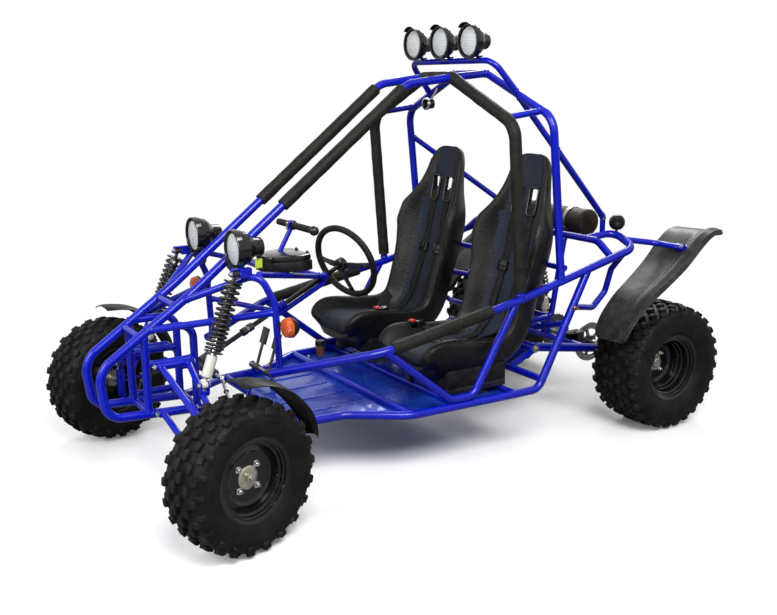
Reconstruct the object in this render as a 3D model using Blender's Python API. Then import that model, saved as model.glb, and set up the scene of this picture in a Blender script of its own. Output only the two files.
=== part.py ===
# Two-seat off-road kart: a tube frame with a roll cage, built piece by piece.
# Units are metres, +X points to the nose, +Y to the left-hand side and +Z up.
# Stations along the kart are measured forward from the rear axle; at() turns them into world places.

import math

import bmesh
import bpy
from mathutils import Matrix, Vector

# Wheels and axles
WHEELBASE = 1.963
FRONT_TRACK = 1.251
REAR_TRACK = 1.050
FRONT_TYRE_R = 0.250
FRONT_TYRE_W = 0.180
REAR_TYRE_R = 0.265
REAR_TYRE_W = 0.250
RIM_R = 0.132
FRONT_RIM_W = 0.150
REAR_RIM_W = 0.205
HUB_R = 0.040
HUB_DEPTH = 0.050
FACE_T = 0.008
FRONT_FACE = 0.024
REAR_FACE = 0.045
WHEEL_NUT_T = 0.014
AXLE_R = 0.0155
WHEEL_SEGMENTS = 16
STEER_REST = math.radians(15.5)

# Tubes and gaps
TUBE_R = 0.016
THIN_R = 0.0125
STAY_R = 0.0110
FOAM_R = 0.024
GAP = 0.0003
RUN_GAP = 0.0008
TUBE_SIDES = 6
THICK_TUBE_R = 0.0155
WELD = 0.00002
FOOT_RISE = 0.006

# Nose and roof tubes, as (station, height); they stand ROOF_Y off the middle at the top, NOSE_Y below
ROOF_Y = 0.098
NOSE_Y = 0.086
NOSE_X = 2.215
NOSE_TOP = (0.965, 1.425)
NOSE_KNEE = (1.860, 0.730)
NOSE_FRONT_Z = 0.490
NOSE_CHIN = (2.195, 0.320)
NOSE_FLOOR = (1.850, 0.298)

# Floor outline as (station, y), and its height
FLOOR_Z = 0.255
FLOOR_FRONT = (1.600, 0.325)
FLOOR_WAIST = (1.410, 0.340)
FLOOR_FLARE = (1.215, 0.480)
FLOOR_REAR = (0.630, 0.505)
RISER_X = 0.376
PAN_T = 0.003

# Side rails and cage, as (station, height)
RAIL_Y = 0.490
POST_Y = 0.310
RAIL_FOOT = (1.645, 0.452)
RAIL_BEND = (1.330, 0.513)
RAIL_SEAT = (0.714, 0.622)
RAIL_TAIL = (0.120, 0.762)
POST_CORNER = (1.705, 0.808)
POST_MIDDLE = (1.655, 0.700)
FRONT_HOOP_X = 0.760
FRONT_HOOP_TOP = 1.447
FRONT_HOOP_SHOULDER = 1.278
REAR_HOOP_X = 0.588
REAR_HOOP_FOOT_X = 0.514
REAR_HOOP_TOP = 1.462
REAR_HOOP_SHOULDER = 1.298
HOOP_Y = 0.487
HOOP_TOP_Y = 0.100
HARNESS_X = 0.495
HARNESS_Z = 0.720
LIGHT_BAR_X = 0.700
LIGHT_BAR_Z = 1.510
LIGHT_BAR_Y = 0.280
CROSS_TUBE_X = 0.240
CROSS_TUBE_Z = 0.792

# Front suspension: two equal arms pivot on the bulkhead and carry the upright
BULKHEAD_FRONT_X = 2.050
BULKHEAD_REAR_X = 1.872
BULKHEAD_TOP_Z = 0.612
PIVOT_Y = 0.130
UPPER_PIVOT_Z = 0.490
LOWER_PIVOT_Z = 0.320
ARM_DROP = 0.155
ARM_REACH = 0.375
ARM_FRONT_X = 2.012
ARM_REAR_X = 1.912
ARM_R = 0.0115
BUSH_R = 0.0145
BUSH_HALF = 0.015
BOLT_R = 0.0050
LUG_T = 0.004
LUG_HALF = 0.011
KINGPIN_Y = 0.543
KINGPIN_R = 0.0065
BARREL_HALF = 0.045
STEER_ARM = 0.100
RACK_X = 1.795
RACK_Z = 0.410
RACK_HALF = 0.160
RACK_R = 0.009
TIE_ROD_DROP = 0.013
TIE_BALL_HALF = 0.0108
SHOCK_TOP = (1.780, 0.275, 0.812)
SHOCK_BASE = (1.923, 0.300, 0.452)
SHOCK_BODY_R = 0.0160
SHOCK_LEG_R = 0.0188
SPRING_R = 0.0325
SPRING_WIRE_R = 0.0045
SPRING_TURNS = 7
POINTS_PER_TURN = 8
SPRING_LENGTH = 0.205

# Rear suspension, as (station, height)
SWING_PIVOT = (0.470, 0.345)
SWING_Y = 0.262
REAR_SHOCK_TOP = (0.225, 0.738)
REAR_SHOCK_BASE = (0.150, 0.390)
REAR_SPRING_TURNS = 4

# Seats, steering and controls
SEAT_Y = 0.285
SLOT_Y = 0.048
WHEEL_HUB = (1.045, -0.270, 0.690)
PINION = (1.795, -0.040, 0.434)
STEERING_WHEEL_R = 0.155
STEERING_GRIP_R = 0.0125
COLUMN_R = 0.010
BRAKE_PEDAL_Y = -0.150
THROTTLE_PEDAL_Y = -0.262
PEDAL_X = 1.480
PEDAL_Z = 0.300
BUCKLE = (0.954, 0.120, 0.492)
BUTTON_TRAVEL = 0.003

# Floor fittings
SEAT_RAIL_Z = FLOOR_Z
SEAT_RAIL_Y = FLOOR_REAR[1] - 0.012
PEDAL_MIDDLE_Y = (BRAKE_PEDAL_Y + THROTTLE_PEDAL_Y) / 2
PEDAL_BAR_HALF = 0.088
PEDAL_PIN_R = 0.0065
SWING_BOLT_R = 0.0080

# Engine bay, brake disc and running fits
CRADLE_Y = 0.205
CRADLE_Z = 0.440
MUFFLER_X = 0.145
MUFFLER_Z = 0.840
MUFFLER_R = 0.056
DISC_Y = 0.130
DISC_R = 0.090
SPINDLE_R = 0.0100
PISTON_R = 0.0065
SHOCK_PLAY = 0.0012
SHOCK_EYE_HALF = 0.0105
SHOCK_EYE_R = 0.0120
SHOCK_NECK_R = 0.0065

# Front fenders: across the tyre, and round it in degrees from straight ahead
FENDER_IN_Y = 0.560
FENDER_OUT_Y = 0.690
FENDER_START = 88
FENDER_END = 172
FENDER_STAY_AT = 120
FENDER_RADIUS = FRONT_TYRE_R + 0.046
FENDER_T = 0.0035
FENDER_EDGE = 0.002
FENDER_STAY_R = 0.0065
STAY_CLEARANCE = 0.0110

# Dash tube and grab handle
DASH_X = 1.500
DASH_Z = 0.739
HANDLE_X = 1.405
HANDLE_Z = 0.906
HANDLE_R = 0.0135
HANDLE_POST_R = 0.0095

# Lamps
HEADLAMP = (1.750, 0.187, 0.880)
HEADLAMP_R = 0.068
ROOF_LAMP_R = 0.066
ROOF_LAMP_X = 0.745
ROOF_LAMP_Z = 1.582
ROOF_LAMP_STEP = 0.190

# The kart reaches from the rear tyre to the right front tyre as steered; the origin is halfway between
TREAD_SHARE = 0.62
FRONT_END_X = (WHEELBASE + (FRONT_TRACK / 2 - KINGPIN_Y) * math.sin(STEER_REST)
               + FRONT_TYRE_R * math.cos(STEER_REST)
               + TREAD_SHARE * FRONT_TYRE_W / 2 * math.sin(STEER_REST))
MIDDLE_X = (max(FRONT_END_X, NOSE_X + TUBE_R) - REAR_TYRE_R) / 2.0


def at(station, y, z):
    """World place of a point given by its station forward of the rear axle."""
    return Vector((station - MIDDLE_X, y, z))


def clear_scene():
    for old in list(bpy.data.objects):
        bpy.data.objects.remove(old, do_unlink=True)


def paint(name, colour, roughness, metallic):
    """A plain finish for one kind of surface."""
    material = bpy.data.materials.new(name)
    material.use_nodes = True
    shader = material.node_tree.nodes["Principled BSDF"]
    shader.inputs["Base Color"].default_value = (*colour, 1.0)
    shader.inputs["Roughness"].default_value = roughness
    shader.inputs["Metallic"].default_value = metallic
    return material


FINISHES = {
    "blue_paint": ((0.010, 0.035, 0.62), 0.30, 0.1),
    "foam": ((0.035, 0.037, 0.030), 0.85, 0.0),
    "tyre": ((0.018, 0.018, 0.018), 0.80, 0.0),
    "black_steel": ((0.012, 0.012, 0.013), 0.35, 0.6),
    "steel": ((0.55, 0.55, 0.55), 0.35, 1.0),
    "cream_steel": ((0.62, 0.60, 0.53), 0.45, 0.0),
    "vinyl": ((0.025, 0.026, 0.030), 0.45, 0.0),
    "black_plastic": ((0.015, 0.015, 0.015), 0.40, 0.0),
    "fender_plastic": ((0.030, 0.031, 0.027), 0.50, 0.0),
    "engine": ((0.10, 0.10, 0.11), 0.45, 0.8),
    "red_plastic": ((0.55, 0.03, 0.02), 0.35, 0.0),
}
materials = {}


def add(name, mesh, finish, location):
    """One named object; its origin is its location, on the joint axis of a moving piece."""
    mesh.materials.clear()
    mesh.materials.append(materials[finish])
    mesh.shade_smooth()
    mesh.set_sharp_from_angle(angle=math.radians(40))
    piece = bpy.data.objects.new(name, mesh)
    piece.location = location
    bpy.context.scene.collection.objects.link(piece)
    return piece


# Geometry helpers

def to_mesh(verts, faces):
    mesh = bpy.data.meshes.new("piece")
    mesh.from_pydata([tuple(v) for v in verts], [], faces)
    shape = bmesh.new()
    shape.from_mesh(mesh)
    bmesh.ops.recalc_face_normals(shape, faces=shape.faces)
    if shape.calc_volume(signed=True) < 0:
        bmesh.ops.reverse_faces(shape, faces=shape.faces)
    shape.to_mesh(mesh)
    shape.free()
    return mesh


def rounded(points, radii, steps=2):
    """The path with each inner corner replaced by an arc of its radius."""
    if not hasattr(radii, "__len__"):
        radii = [radii] * (len(points) - 2)
    path = [Vector(points[0])]
    for i in range(1, len(points) - 1):
        before, corner, after = (Vector(points[i + k]) for k in (-1, 0, 1))
        back = (before - corner).normalized()
        ahead = (after - corner).normalized()
        turn = math.pi - back.angle(ahead)
        radius = radii[i - 1]
        if radius <= 0 or turn < 0.02:
            path.append(corner)
            continue
        reach = radius * math.tan(turn / 2)
        centre = corner + (back + ahead).normalized() * (radius / math.cos(turn / 2))
        start = corner + back * reach
        axis = (corner - before).cross(after - corner).normalized()
        for k in range(steps + 1):
            swing = Matrix.Rotation(turn * k / steps, 3, axis)
            path.append(centre + swing @ (start - centre))
    path.append(Vector(points[-1]))
    return path


def frames(path, closed=False):
    """Two directions square to the path at each point, carried along without twist."""
    count = len(path)
    tangents = []
    for i in range(count):
        step = Vector((0, 0, 0))
        if closed or i > 0:
            step += (path[i] - path[i - 1]).normalized()
        if closed or i < count - 1:
            step += (path[(i + 1) % count] - path[i]).normalized()
        tangents.append(step.normalized())
    side = tangents[0].orthogonal().normalized()
    result = []
    for i in range(count):
        if i:
            side = tangents[i - 1].rotation_difference(tangents[i]) @ side
        side = (side - tangents[i] * side.dot(tangents[i])).normalized()
        result.append((side, tangents[i].cross(side)))
    return result


def with_points_at(path, distances):
    """The path with extra points at the given distances along it."""
    result = [path[0]]
    run = 0.0
    for a, b in zip(path, path[1:]):
        length = (b - a).length
        for distance in distances:
            if run + WELD < distance < run + length - WELD:
                result.append(a.lerp(b, (distance - run) / length))
        result.append(b)
        run += length
    return result


def sides_of(radius):
    return TUBE_SIDES if radius > THICK_TUBE_R else TUBE_SIDES - 1


def tube(path, radius, sides=0, bore=0.0, stretch=None, phase=0.5):
    """A capped tube along a path; with a bore it is a sleeve, and a stretch keeps only part of it."""
    sides = sides or sides_of(radius)
    if stretch:
        path = with_points_at(path, stretch)
    directions = frames(path)
    if stretch:
        run = 0.0
        kept = []
        for i in range(len(path)):
            run += (path[i] - path[i - 1]).length if i else 0.0
            if stretch[0] - WELD < run < stretch[1] + WELD:
                kept.append(i)
        path = [path[i] for i in kept]
        directions = [directions[i] for i in kept]
    verts = []
    faces = []
    turn = phase * 2 * math.pi / sides
    skins = [radius, bore] if bore else [radius]
    for skin in skins:
        for point, (u, v) in zip(path, directions):
            for k in range(sides):
                a = turn + 2 * math.pi * k / sides
                verts.append(point + u * (skin * math.cos(a)) + v * (skin * math.sin(a)))
    last = len(path) - 1
    skin_size = len(path) * sides
    for s in range(len(skins)):
        for i in range(last):
            for k in range(sides):
                a = s * skin_size + i * sides + k
                b = s * skin_size + i * sides + (k + 1) % sides
                faces.append((a, b, b + sides, a + sides))
    if bore:
        for row in (0, last):
            for k in range(sides):
                a = row * sides + k
                b = row * sides + (k + 1) % sides
                faces.append((a, b, b + skin_size, a + skin_size))
    else:
        faces.append(tuple(range(sides)))
        faces.append(tuple(last * sides + k for k in range(sides)))
    return to_mesh(verts, faces)


def rod(start, end, radius, sides=0):
    return tube([Vector(start), Vector(end)], radius, sides)


def pin_bore(start, end, radius, sides=6, clearance=GAP):
    """Cutter for a hole that a pin of this radius turns or slides in: its flats face the pin's corners."""
    return tube([Vector(start), Vector(end)], (radius + clearance) / math.cos(math.pi / sides), sides, phase=0)


def grown(path, radius, sides=0):
    """Cutter for what meets a tube: the tube widened by the gap and run on past both ends by as much."""
    path = list(path)
    first = path[0] + (path[0] - path[1]).normalized() * GAP
    last = path[-1] + (path[-1] - path[-2]).normalized() * GAP
    return tube([first] + path[1:-1] + [last], radius + GAP, sides or sides_of(radius))


def box(low, high):
    corners = [(x, y, z) for x in (low[0], high[0]) for y in (low[1], high[1]) for z in (low[2], high[2])]
    faces = [(0, 1, 3, 2), (4, 6, 7, 5), (0, 4, 5, 1), (2, 3, 7, 6), (0, 2, 6, 4), (1, 5, 7, 3)]
    return to_mesh(corners, faces)


def slab(outline, low, high):
    """A flat plate from a plan outline of (x, y) points, between two heights."""
    count = len(outline)
    verts = [(x, y, z) for z in (low, high) for x, y in outline]
    faces = [tuple(range(count)), tuple(range(count, 2 * count))]
    for k in range(count):
        n = (k + 1) % count
        faces.append((k, n, n + count, k + count))
    return to_mesh(verts, faces)


def side_plate(outline, y, thickness):
    """An upright plate from a side outline of (station, height) points, centred on y."""
    count = len(outline)
    verts = [at(x, y + side * thickness / 2, z) for side in (-1, 1) for x, z in outline]
    faces = [tuple(range(count)), tuple(range(count, 2 * count))]
    for k in range(count):
        n = (k + 1) % count
        faces.append((k, n, n + count, k + count))
    return to_mesh(verts, faces)


def turned(profile, axis_turn, segments, ring=False):
    """A profile of (along, radius) spun about an axis; a ring profile closes on itself."""
    verts = []
    faces = []
    count = len(profile)
    for s in range(segments):
        a = 2 * math.pi * (s + 0.5) / segments
        for along, radius in profile:
            verts.append(axis_turn @ Vector((radius * math.cos(a), radius * math.sin(a), along)))
    for s in range(segments):
        n = (s + 1) % segments
        for k in range(count if ring else count - 1):
            m = (k + 1) % count
            faces.append((s * count + k, s * count + m, n * count + m, n * count + k))
    if not ring:
        faces.append(tuple(s * count for s in range(segments)))
        faces.append(tuple(s * count + count - 1 for s in range(segments)))
    return to_mesh(verts, faces)


TURN_Z = Matrix.Identity(3)
TURN_Y = Matrix.Rotation(-math.pi / 2, 3, "X")
TURN_X = Matrix.Rotation(math.pi / 2, 3, "Y")


def moved(mesh, offset):
    mesh.transform(Matrix.Translation(Vector(offset)))
    return mesh


def mirrored(mesh):
    """The same shape on the other side of the kart."""
    copy = mesh.copy()
    copy.transform(Matrix.Scale(-1, 4, (0, 1, 0)))
    copy.flip_normals()
    return copy


def combine(base, others, operation):
    """Boolean of one mesh with each of the others in turn."""
    work = bpy.data.objects.new("work", base)
    bpy.context.scene.collection.objects.link(work)
    tools = []
    for other in others:
        operand = bpy.data.objects.new("operand", other)
        operand.hide_render = True
        operand.display_type = "WIRE"
        bpy.context.scene.collection.objects.link(operand)
        step = work.modifiers.new("step", "BOOLEAN")
        step.operation = operation
        step.solver = "EXACT"
        step.object = operand
        tools.append(operand)
    depsgraph = bpy.context.evaluated_depsgraph_get()
    result = bpy.data.meshes.new_from_object(work.evaluated_get(depsgraph))
    for used in [work] + tools:
        bpy.data.objects.remove(used, do_unlink=True)
    shape = bmesh.new()
    shape.from_mesh(result)
    bmesh.ops.remove_doubles(shape, verts=shape.verts, dist=WELD)
    bmesh.ops.dissolve_degenerate(shape, dist=WELD, edges=shape.edges)
    shape.to_mesh(result)
    shape.free()
    return result


def fuse(*pieces):
    return combine(pieces[0], pieces[1:], "UNION")


def cut(base, *cutters):
    return combine(base, cutters, "DIFFERENCE")


def both_sides(pieces):
    """The pieces and their mirror images, in one list."""
    return pieces + [mirrored(piece) for piece in pieces]


# Frame routes, shared by the tubes and by whatever fits against them

def nose_route():
    """Left nose tube, from the front hoop over the roof bend, down the nose and back to the floor."""
    corners = [
        at(FRONT_HOOP_X, ROOF_Y + 0.004, FRONT_HOOP_TOP),
        at(NOSE_TOP[0], ROOF_Y, NOSE_TOP[1]),
        at(NOSE_KNEE[0], NOSE_Y + 0.006, NOSE_KNEE[1]),
        at(NOSE_X, NOSE_Y, NOSE_FRONT_Z),
        at(NOSE_CHIN[0], NOSE_Y, NOSE_CHIN[1]),
        at(NOSE_FLOOR[0], NOSE_Y, NOSE_FLOOR[1]),
        at(FLOOR_FRONT[0] + 0.001, FLOOR_FRONT[1], FLOOR_Z),
    ]
    return rounded(corners, [0.10, 0.50, 0.090, 0.060, 0.12])


def floor_route():
    corners = [
        at(FLOOR_FRONT[0], FLOOR_FRONT[1], FLOOR_Z),
        at(FLOOR_WAIST[0], FLOOR_WAIST[1], FLOOR_Z),
        at(FLOOR_FLARE[0], FLOOR_FLARE[1], FLOOR_Z),
        at(FLOOR_REAR[0], FLOOR_REAR[1], FLOOR_Z),
        rail_point(RISER_X) - Vector((0, 0, FOOT_RISE)),
    ]
    return rounded(corners, [0.12, 0.12, 0.060])


def riser_point(z):
    """Centre of the left floor rail at a height on its rise to the side rail."""
    low = at(FLOOR_REAR[0], FLOOR_REAR[1], FLOOR_Z)
    high = rail_point(RISER_X)
    return low.lerp(high, (z - low.z) / (high.z - low.z))


def rail_route():
    """Left side rail, from the foot of the cowl post past the seat to the tail and in to the middle."""
    corners = [
        at(RAIL_FOOT[0] + 0.030, POST_Y - 0.017, RAIL_FOOT[1] - 0.005),
        at(RAIL_BEND[0], RAIL_Y, RAIL_BEND[1]),
        at(RAIL_SEAT[0], RAIL_Y, RAIL_SEAT[1]),
        at(RAIL_TAIL[0], RAIL_Y, RAIL_TAIL[1]),
        at(RAIL_TAIL[0] - 0.025, 0.345, 0.808),
        at(CROSS_TUBE_X, 0.335, CROSS_TUBE_Z),
    ]
    return rounded(corners, [0.18, 0, 0.060, 0.050])


def rail_point(station):
    """Centre of the left side rail at a station between its bend and its tail."""
    low, high = (RAIL_TAIL, RAIL_SEAT) if station < RAIL_SEAT[0] else (RAIL_SEAT, RAIL_BEND)
    share = (station - low[0]) / (high[0] - low[0])
    return at(station, RAIL_Y, low[1] + share * (high[1] - low[1]))


def between(marks, station):
    """Point of a broken line of world points at a station."""
    for a, b in zip(marks, marks[1:]):
        low, high = sorted((a.x, b.x))
        if low <= station - MIDDLE_X <= high:
            return a.lerp(b, (station - MIDDLE_X - a.x) / (b.x - a.x))
    return marks[-1].copy()


def nose_point(station):
    """Centre of the left nose tube's sloping run at a station."""
    return between([at(NOSE_TOP[0], ROOF_Y, NOSE_TOP[1]), at(NOSE_KNEE[0], NOSE_Y + 0.006, NOSE_KNEE[1]),
                    at(NOSE_X, NOSE_Y, NOSE_FRONT_Z)], station)


def chin_point(station):
    """Centre of the left nose tube's lower run at a station."""
    return between([at(NOSE_CHIN[0], NOSE_Y, NOSE_CHIN[1]), at(NOSE_FLOOR[0], NOSE_Y, NOSE_FLOOR[1]),
                    at(FLOOR_FRONT[0], FLOOR_FRONT[1], FLOOR_Z)], station)


def full_width(corners):
    """Left-hand corners from foot to top, followed by their mirror images down to the other foot."""
    return corners + [Vector((c.x, -c.y, c.z)) for c in reversed(corners)]


def front_hoop_route():
    foot = at(RAIL_SEAT[0], RAIL_Y, RAIL_SEAT[1] + FOOT_RISE)
    shoulder = at(FRONT_HOOP_X, RAIL_Y, FRONT_HOOP_SHOULDER)
    top = at(FRONT_HOOP_X, HOOP_TOP_Y, FRONT_HOOP_TOP)
    return rounded(full_width([foot, shoulder, top]), [0.085, 0.07, 0.07, 0.085])


def rear_hoop_route():
    foot = rail_point(REAR_HOOP_FOOT_X) + Vector((0, 0, FOOT_RISE))
    shoulder = at(REAR_HOOP_X - 0.014, HOOP_Y, REAR_HOOP_SHOULDER)
    top = at(REAR_HOOP_X, HOOP_TOP_Y, REAR_HOOP_TOP)
    return rounded(full_width([foot, shoulder, top]), [0.085, 0.07, 0.07, 0.085])


def cross_tube_route():
    end = rail_point(CROSS_TUBE_X) - Vector((0, FOOT_RISE, 0))
    return rounded(full_width([end, at(CROSS_TUBE_X, 0.400, CROSS_TUBE_Z)]), 0.08, 1)


def rail_cutters():
    """Both side rails, grown by the gap, for shaping the ends of the tubes that meet them."""
    return both_sides([grown(rail_route(), TUBE_R)])


# Frame pieces

def clevis(centre, root, half):
    """Two lug plates from a tube at root to a bolt along X through centre."""
    pieces = []
    centre = Vector(centre)
    root = Vector(root)
    reach = BOLT_R + 0.006
    low = Vector((0, min(centre.y, root.y) - reach, min(centre.z, root.z) - reach))
    high = Vector((0, max(centre.y, root.y) + reach, max(centre.z, root.z) + reach))
    for side in (-1, 1):
        near = centre.x + side * (half + GAP)
        far = near + side * LUG_T
        low.x = min(near, far)
        high.x = max(near, far)
        pieces.append(box(low, high))
    bolt_reach = Vector((half + GAP + LUG_T / 2, 0, 0))
    pieces.append(rod(centre - bolt_reach, centre + bolt_reach, BOLT_R))
    return pieces


def shock_bracket(on_cowl):
    """Inverted channel over the shock's top eye, carried back to a point on the cowl hoop."""
    eye = at(*SHOCK_TOP)
    half = SHOCK_EYE_HALF + LUG_T
    top = eye.z + SHOCK_EYE_R + RUN_GAP
    pieces = [box((on_cowl.x, eye.y - LUG_HALF, top), (eye.x + half, eye.y + LUG_HALF, top + LUG_T))]
    for side in (-1, 1):
        near, far = sorted((side * (SHOCK_EYE_HALF + GAP), side * half))
        pieces.append(box((eye.x + near, eye.y - LUG_HALF, eye.z - 0.008), (eye.x + far, eye.y + LUG_HALF, top + 0.001)))
    pieces.append(box((on_cowl.x - 0.004, eye.y - LUG_HALF, on_cowl.z), (eye.x - half + 0.001, eye.y + LUG_HALF, top + 0.001)))
    reach = Vector((half - LUG_T / 2, 0, 0))
    pieces.append(rod(eye - reach, eye + reach, BOLT_R))
    return pieces


def column_points():
    """Steering wheel hub, the two bearings on its column and the pinion, from top to bottom."""
    hub = at(*WHEEL_HUB)
    pinion = at(*PINION)
    axis = (pinion - hub).normalized()
    return hub, hub + axis * 0.150, hub + axis * 0.400, pinion, axis


def column_stay(side):
    """Ends of the stay from a corner of the cowl hoop to the upper column bearing."""
    upper = column_points()[1]
    corner = at(POST_CORNER[0] - 0.002, side * (POST_Y - 0.020), POST_CORNER[1] - 0.006)
    return corner, upper + Vector((0, side * 0.010, 0.006))


def handle_post():
    return at(DASH_X, -0.045, DASH_Z), at(HANDLE_X, -0.045, HANDLE_Z)


def nose_frame():
    left = [tube(nose_route(), TUBE_R)]
    # Bulkhead: a front upright, and a hoop whose rear leg comes down behind the arm pivots
    left.append(rod(nose_point(BULKHEAD_FRONT_X), chin_point(BULKHEAD_FRONT_X), TUBE_R - 0.002))
    hoop_top = nose_point(BULKHEAD_FRONT_X)
    hoop_foot = chin_point(BULKHEAD_REAR_X)
    hoop_top.z = BULKHEAD_TOP_Z
    hoop = [hoop_top, at(BULKHEAD_REAR_X, NOSE_Y, BULKHEAD_TOP_Z), hoop_foot]
    left.append(tube(rounded(hoop, 0.050, 1), TUBE_R - 0.002))
    front = at(BULKHEAD_FRONT_X, NOSE_Y + 0.002, UPPER_PIVOT_Z)
    left.append(rod(front, at(BULKHEAD_REAR_X, NOSE_Y + 0.001, UPPER_PIVOT_Z), THIN_R))
    for z in (UPPER_PIVOT_Z, LOWER_PIVOT_Z):
        middle = (ARM_FRONT_X + ARM_REAR_X) / 2
        half = (ARM_FRONT_X - ARM_REAR_X) / 2 + BUSH_HALF
        left += clevis(at(middle, PIVOT_Y, z), at(middle, NOSE_Y + 0.006, z), half)
    # Cowl hoop, its brace, and the bracket that holds the top of the shock
    cowl = [nose_point(1.905), at(POST_CORNER[0], POST_Y - 0.012, POST_CORNER[1]),
            at(POST_MIDDLE[0], POST_Y, POST_MIDDLE[1]), at(RAIL_FOOT[0], POST_Y, RAIL_FOOT[1])]
    left.append(tube(rounded(cowl, [0.050, 0.08], 1), THIN_R))
    left.append(rod(nose_point(2.035), at(POST_MIDDLE[0] - 0.006, POST_Y, 0.668), THIN_R))
    cowl_share = (SHOCK_TOP[1] - cowl[0].y) / (cowl[1].y - cowl[0].y)
    left += shock_bracket(cowl[0].lerp(cowl[1], cowl_share))
    # Turn signal on its stalk
    left.append(rod(at(1.650, POST_Y, 0.630), at(1.650, 0.400, 0.636), 0.0070))
    left.append(moved(turned([(-0.028, 0.016), (-0.006, 0.036), (0.030, 0.034)],
                             TURN_X, 8), at(1.652, 0.420, 0.638)))
    # Headlamp stem
    stem_foot = nose_point(1.740)
    stem_top = at(HEADLAMP[0] - 0.036, HEADLAMP[1], HEADLAMP[2] - HEADLAMP_R + 0.018)
    left.append(rod(stem_foot, stem_top, 0.009))
    pieces = both_sides(left)
    # Cross members between the two nose tubes
    for station in (1.930, 2.065):
        point = nose_point(station)
        pieces.append(rod(Vector((point.x, -point.y, point.z)), point, THIN_R))
    for station in (2.045, NOSE_FLOOR[0] + 0.012):
        point = chin_point(station)
        pieces.append(rod(Vector((point.x, -point.y, point.z)), point, THIN_R))
    # Column bearings, the bar between them and the stays that carry it
    hub, upper, lower, pinion, axis = column_points()
    drop = Vector((0.0, 0.0, -0.026))
    for bearing in (upper, lower):
        pieces.append(rod(bearing - axis * 0.018, bearing + axis * 0.018, COLUMN_R + 0.0085, 6))
    pieces.append(rod(upper + drop - axis * 0.012, lower + drop + axis * 0.012, STAY_R))
    for side in (-1, 1):
        pieces.append(rod(*column_stay(side), STAY_R))
    post = at(POST_MIDDLE[0] - 0.010, -POST_Y, 0.600)
    pieces.append(rod(post, lower + drop, STAY_R))
    # Dash cross tube, the grab handle post on it and the tray under the instrument pod
    pieces.append(rod(at(DASH_X, -0.288, DASH_Z), at(DASH_X, 0.078, DASH_Z), STAY_R))
    pieces.append(rod(*handle_post(), HANDLE_POST_R))
    # Rack housing, gearbox and the two arms that hold them
    pieces.append(rod(at(RACK_X, -0.078, RACK_Z), at(RACK_X, 0.078, RACK_Z), RACK_R + 0.009, 6))
    leg_share = (BULKHEAD_TOP_Z - RACK_Z) / (BULKHEAD_TOP_Z - hoop_foot.z)
    leg_y = NOSE_Y + leg_share * (hoop_foot.y - NOSE_Y)
    for side in (-1, 1):
        pieces.append(rod(at(RACK_X, side * 0.060, RACK_Z), at(BULKHEAD_REAR_X, side * leg_y, RACK_Z), 0.009))
    pieces.append(rod(pinion - axis * 0.045, pinion + axis * 0.006, COLUMN_R + 0.009, 6))
    body = fuse(*pieces)
    rack_bore = pin_bore(at(RACK_X, -0.2, RACK_Z), at(RACK_X, 0.2, RACK_Z), RACK_R)
    column_bore = pin_bore(hub - axis * 0.1, pinion - axis * 0.004, COLUMN_R)
    handle_cutter = grown([at(HANDLE_X, -0.3, HANDLE_Z), at(HANDLE_X, 0.3, HANDLE_Z)], HANDLE_R, 8)
    hoop_cutter = grown(front_hoop_route(), TUBE_R)
    lamps = both_sides([headlamp(GAP)])
    return cut(body, rack_bore, column_bore, handle_cutter, hoop_cutter, *rail_cutters(), *lamps)


def floor_frame():
    rails = both_sides([tube(floor_route(), TUBE_R)])
    pan_top = FLOOR_Z - TUBE_R + 0.006
    edge = [FLOOR_FRONT, FLOOR_WAIST, FLOOR_FLARE, (0.700, FLOOR_REAR[1])]
    left = [(x - MIDDLE_X, y - 0.003) for x, y in edge]
    outline = left + [(x, -y) for x, y in reversed(left)]
    pieces = rails + [slab(outline, pan_top - PAN_T, pan_top)]
    # Cross members on the pan, the seat rails and the pedal bar
    for station, y in ((1.590, 0.331), (1.205, 0.482)):
        pieces.append(rod(at(station, -y, FLOOR_Z), at(station, y, FLOOR_Z), TUBE_R - 0.001))
    for station, z in ((1.000, SEAT_RAIL_Z), (0.740, SEAT_RAIL_Z)):
        pieces.append(rod(at(station, -SEAT_RAIL_Y, z), at(station, SEAT_RAIL_Y, z), THIN_R))
    for side in (-1, 1):
        y = PEDAL_MIDDLE_Y + side * PEDAL_BAR_HALF
        pieces.append(rod(at(PEDAL_X, y, pan_top - 0.002), at(PEDAL_X, y, PEDAL_Z), 0.008))
    low = at(PEDAL_X, PEDAL_MIDDLE_Y - PEDAL_BAR_HALF - 0.006, PEDAL_Z)
    high = at(PEDAL_X, PEDAL_MIDDLE_Y + PEDAL_BAR_HALF + 0.006, PEDAL_Z)
    pieces.append(rod(low, high, PEDAL_PIN_R, 6))
    # Brackets for the swing arm and a rear cross tube under the engine
    pivot_x, pivot_z = SWING_PIVOT
    pieces.append(rod(at(0.606, -0.507, 0.290), at(0.606, 0.507, 0.290), TUBE_R - 0.001))
    for side in (-1, 1):
        for offset in (-0.034, 0.034):
            y = side * (SWING_Y + offset)
            outline = [(pivot_x - 0.016, pivot_z - 0.016), (pivot_x - 0.016, pivot_z + 0.016),
                       (pivot_x + 0.018, pivot_z + 0.016), (0.606, 0.298), (0.606, 0.280)]
            pieces.append(side_plate(outline, y, 0.004))
        start = at(pivot_x, side * (SWING_Y - 0.042), pivot_z)
        end = at(pivot_x, side * (SWING_Y + 0.042), pivot_z)
        pieces.append(rod(start, end, SWING_BOLT_R))
    body = fuse(*pieces)
    nose_cutters = both_sides([grown(nose_route(), TUBE_R)])
    return cut(body, *nose_cutters, *rail_cutters())


REAR_FENDER_PATH = [(0.345, 0.430), (0.300, 0.500), (0.215, 0.575), (0.110, 0.640), (0.020, 0.700),
                    (-0.060, 0.770), (-0.125, 0.815), (-0.190, 0.822), (-0.225, 0.800)]
FENDER_LIFT = 0.002


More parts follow.
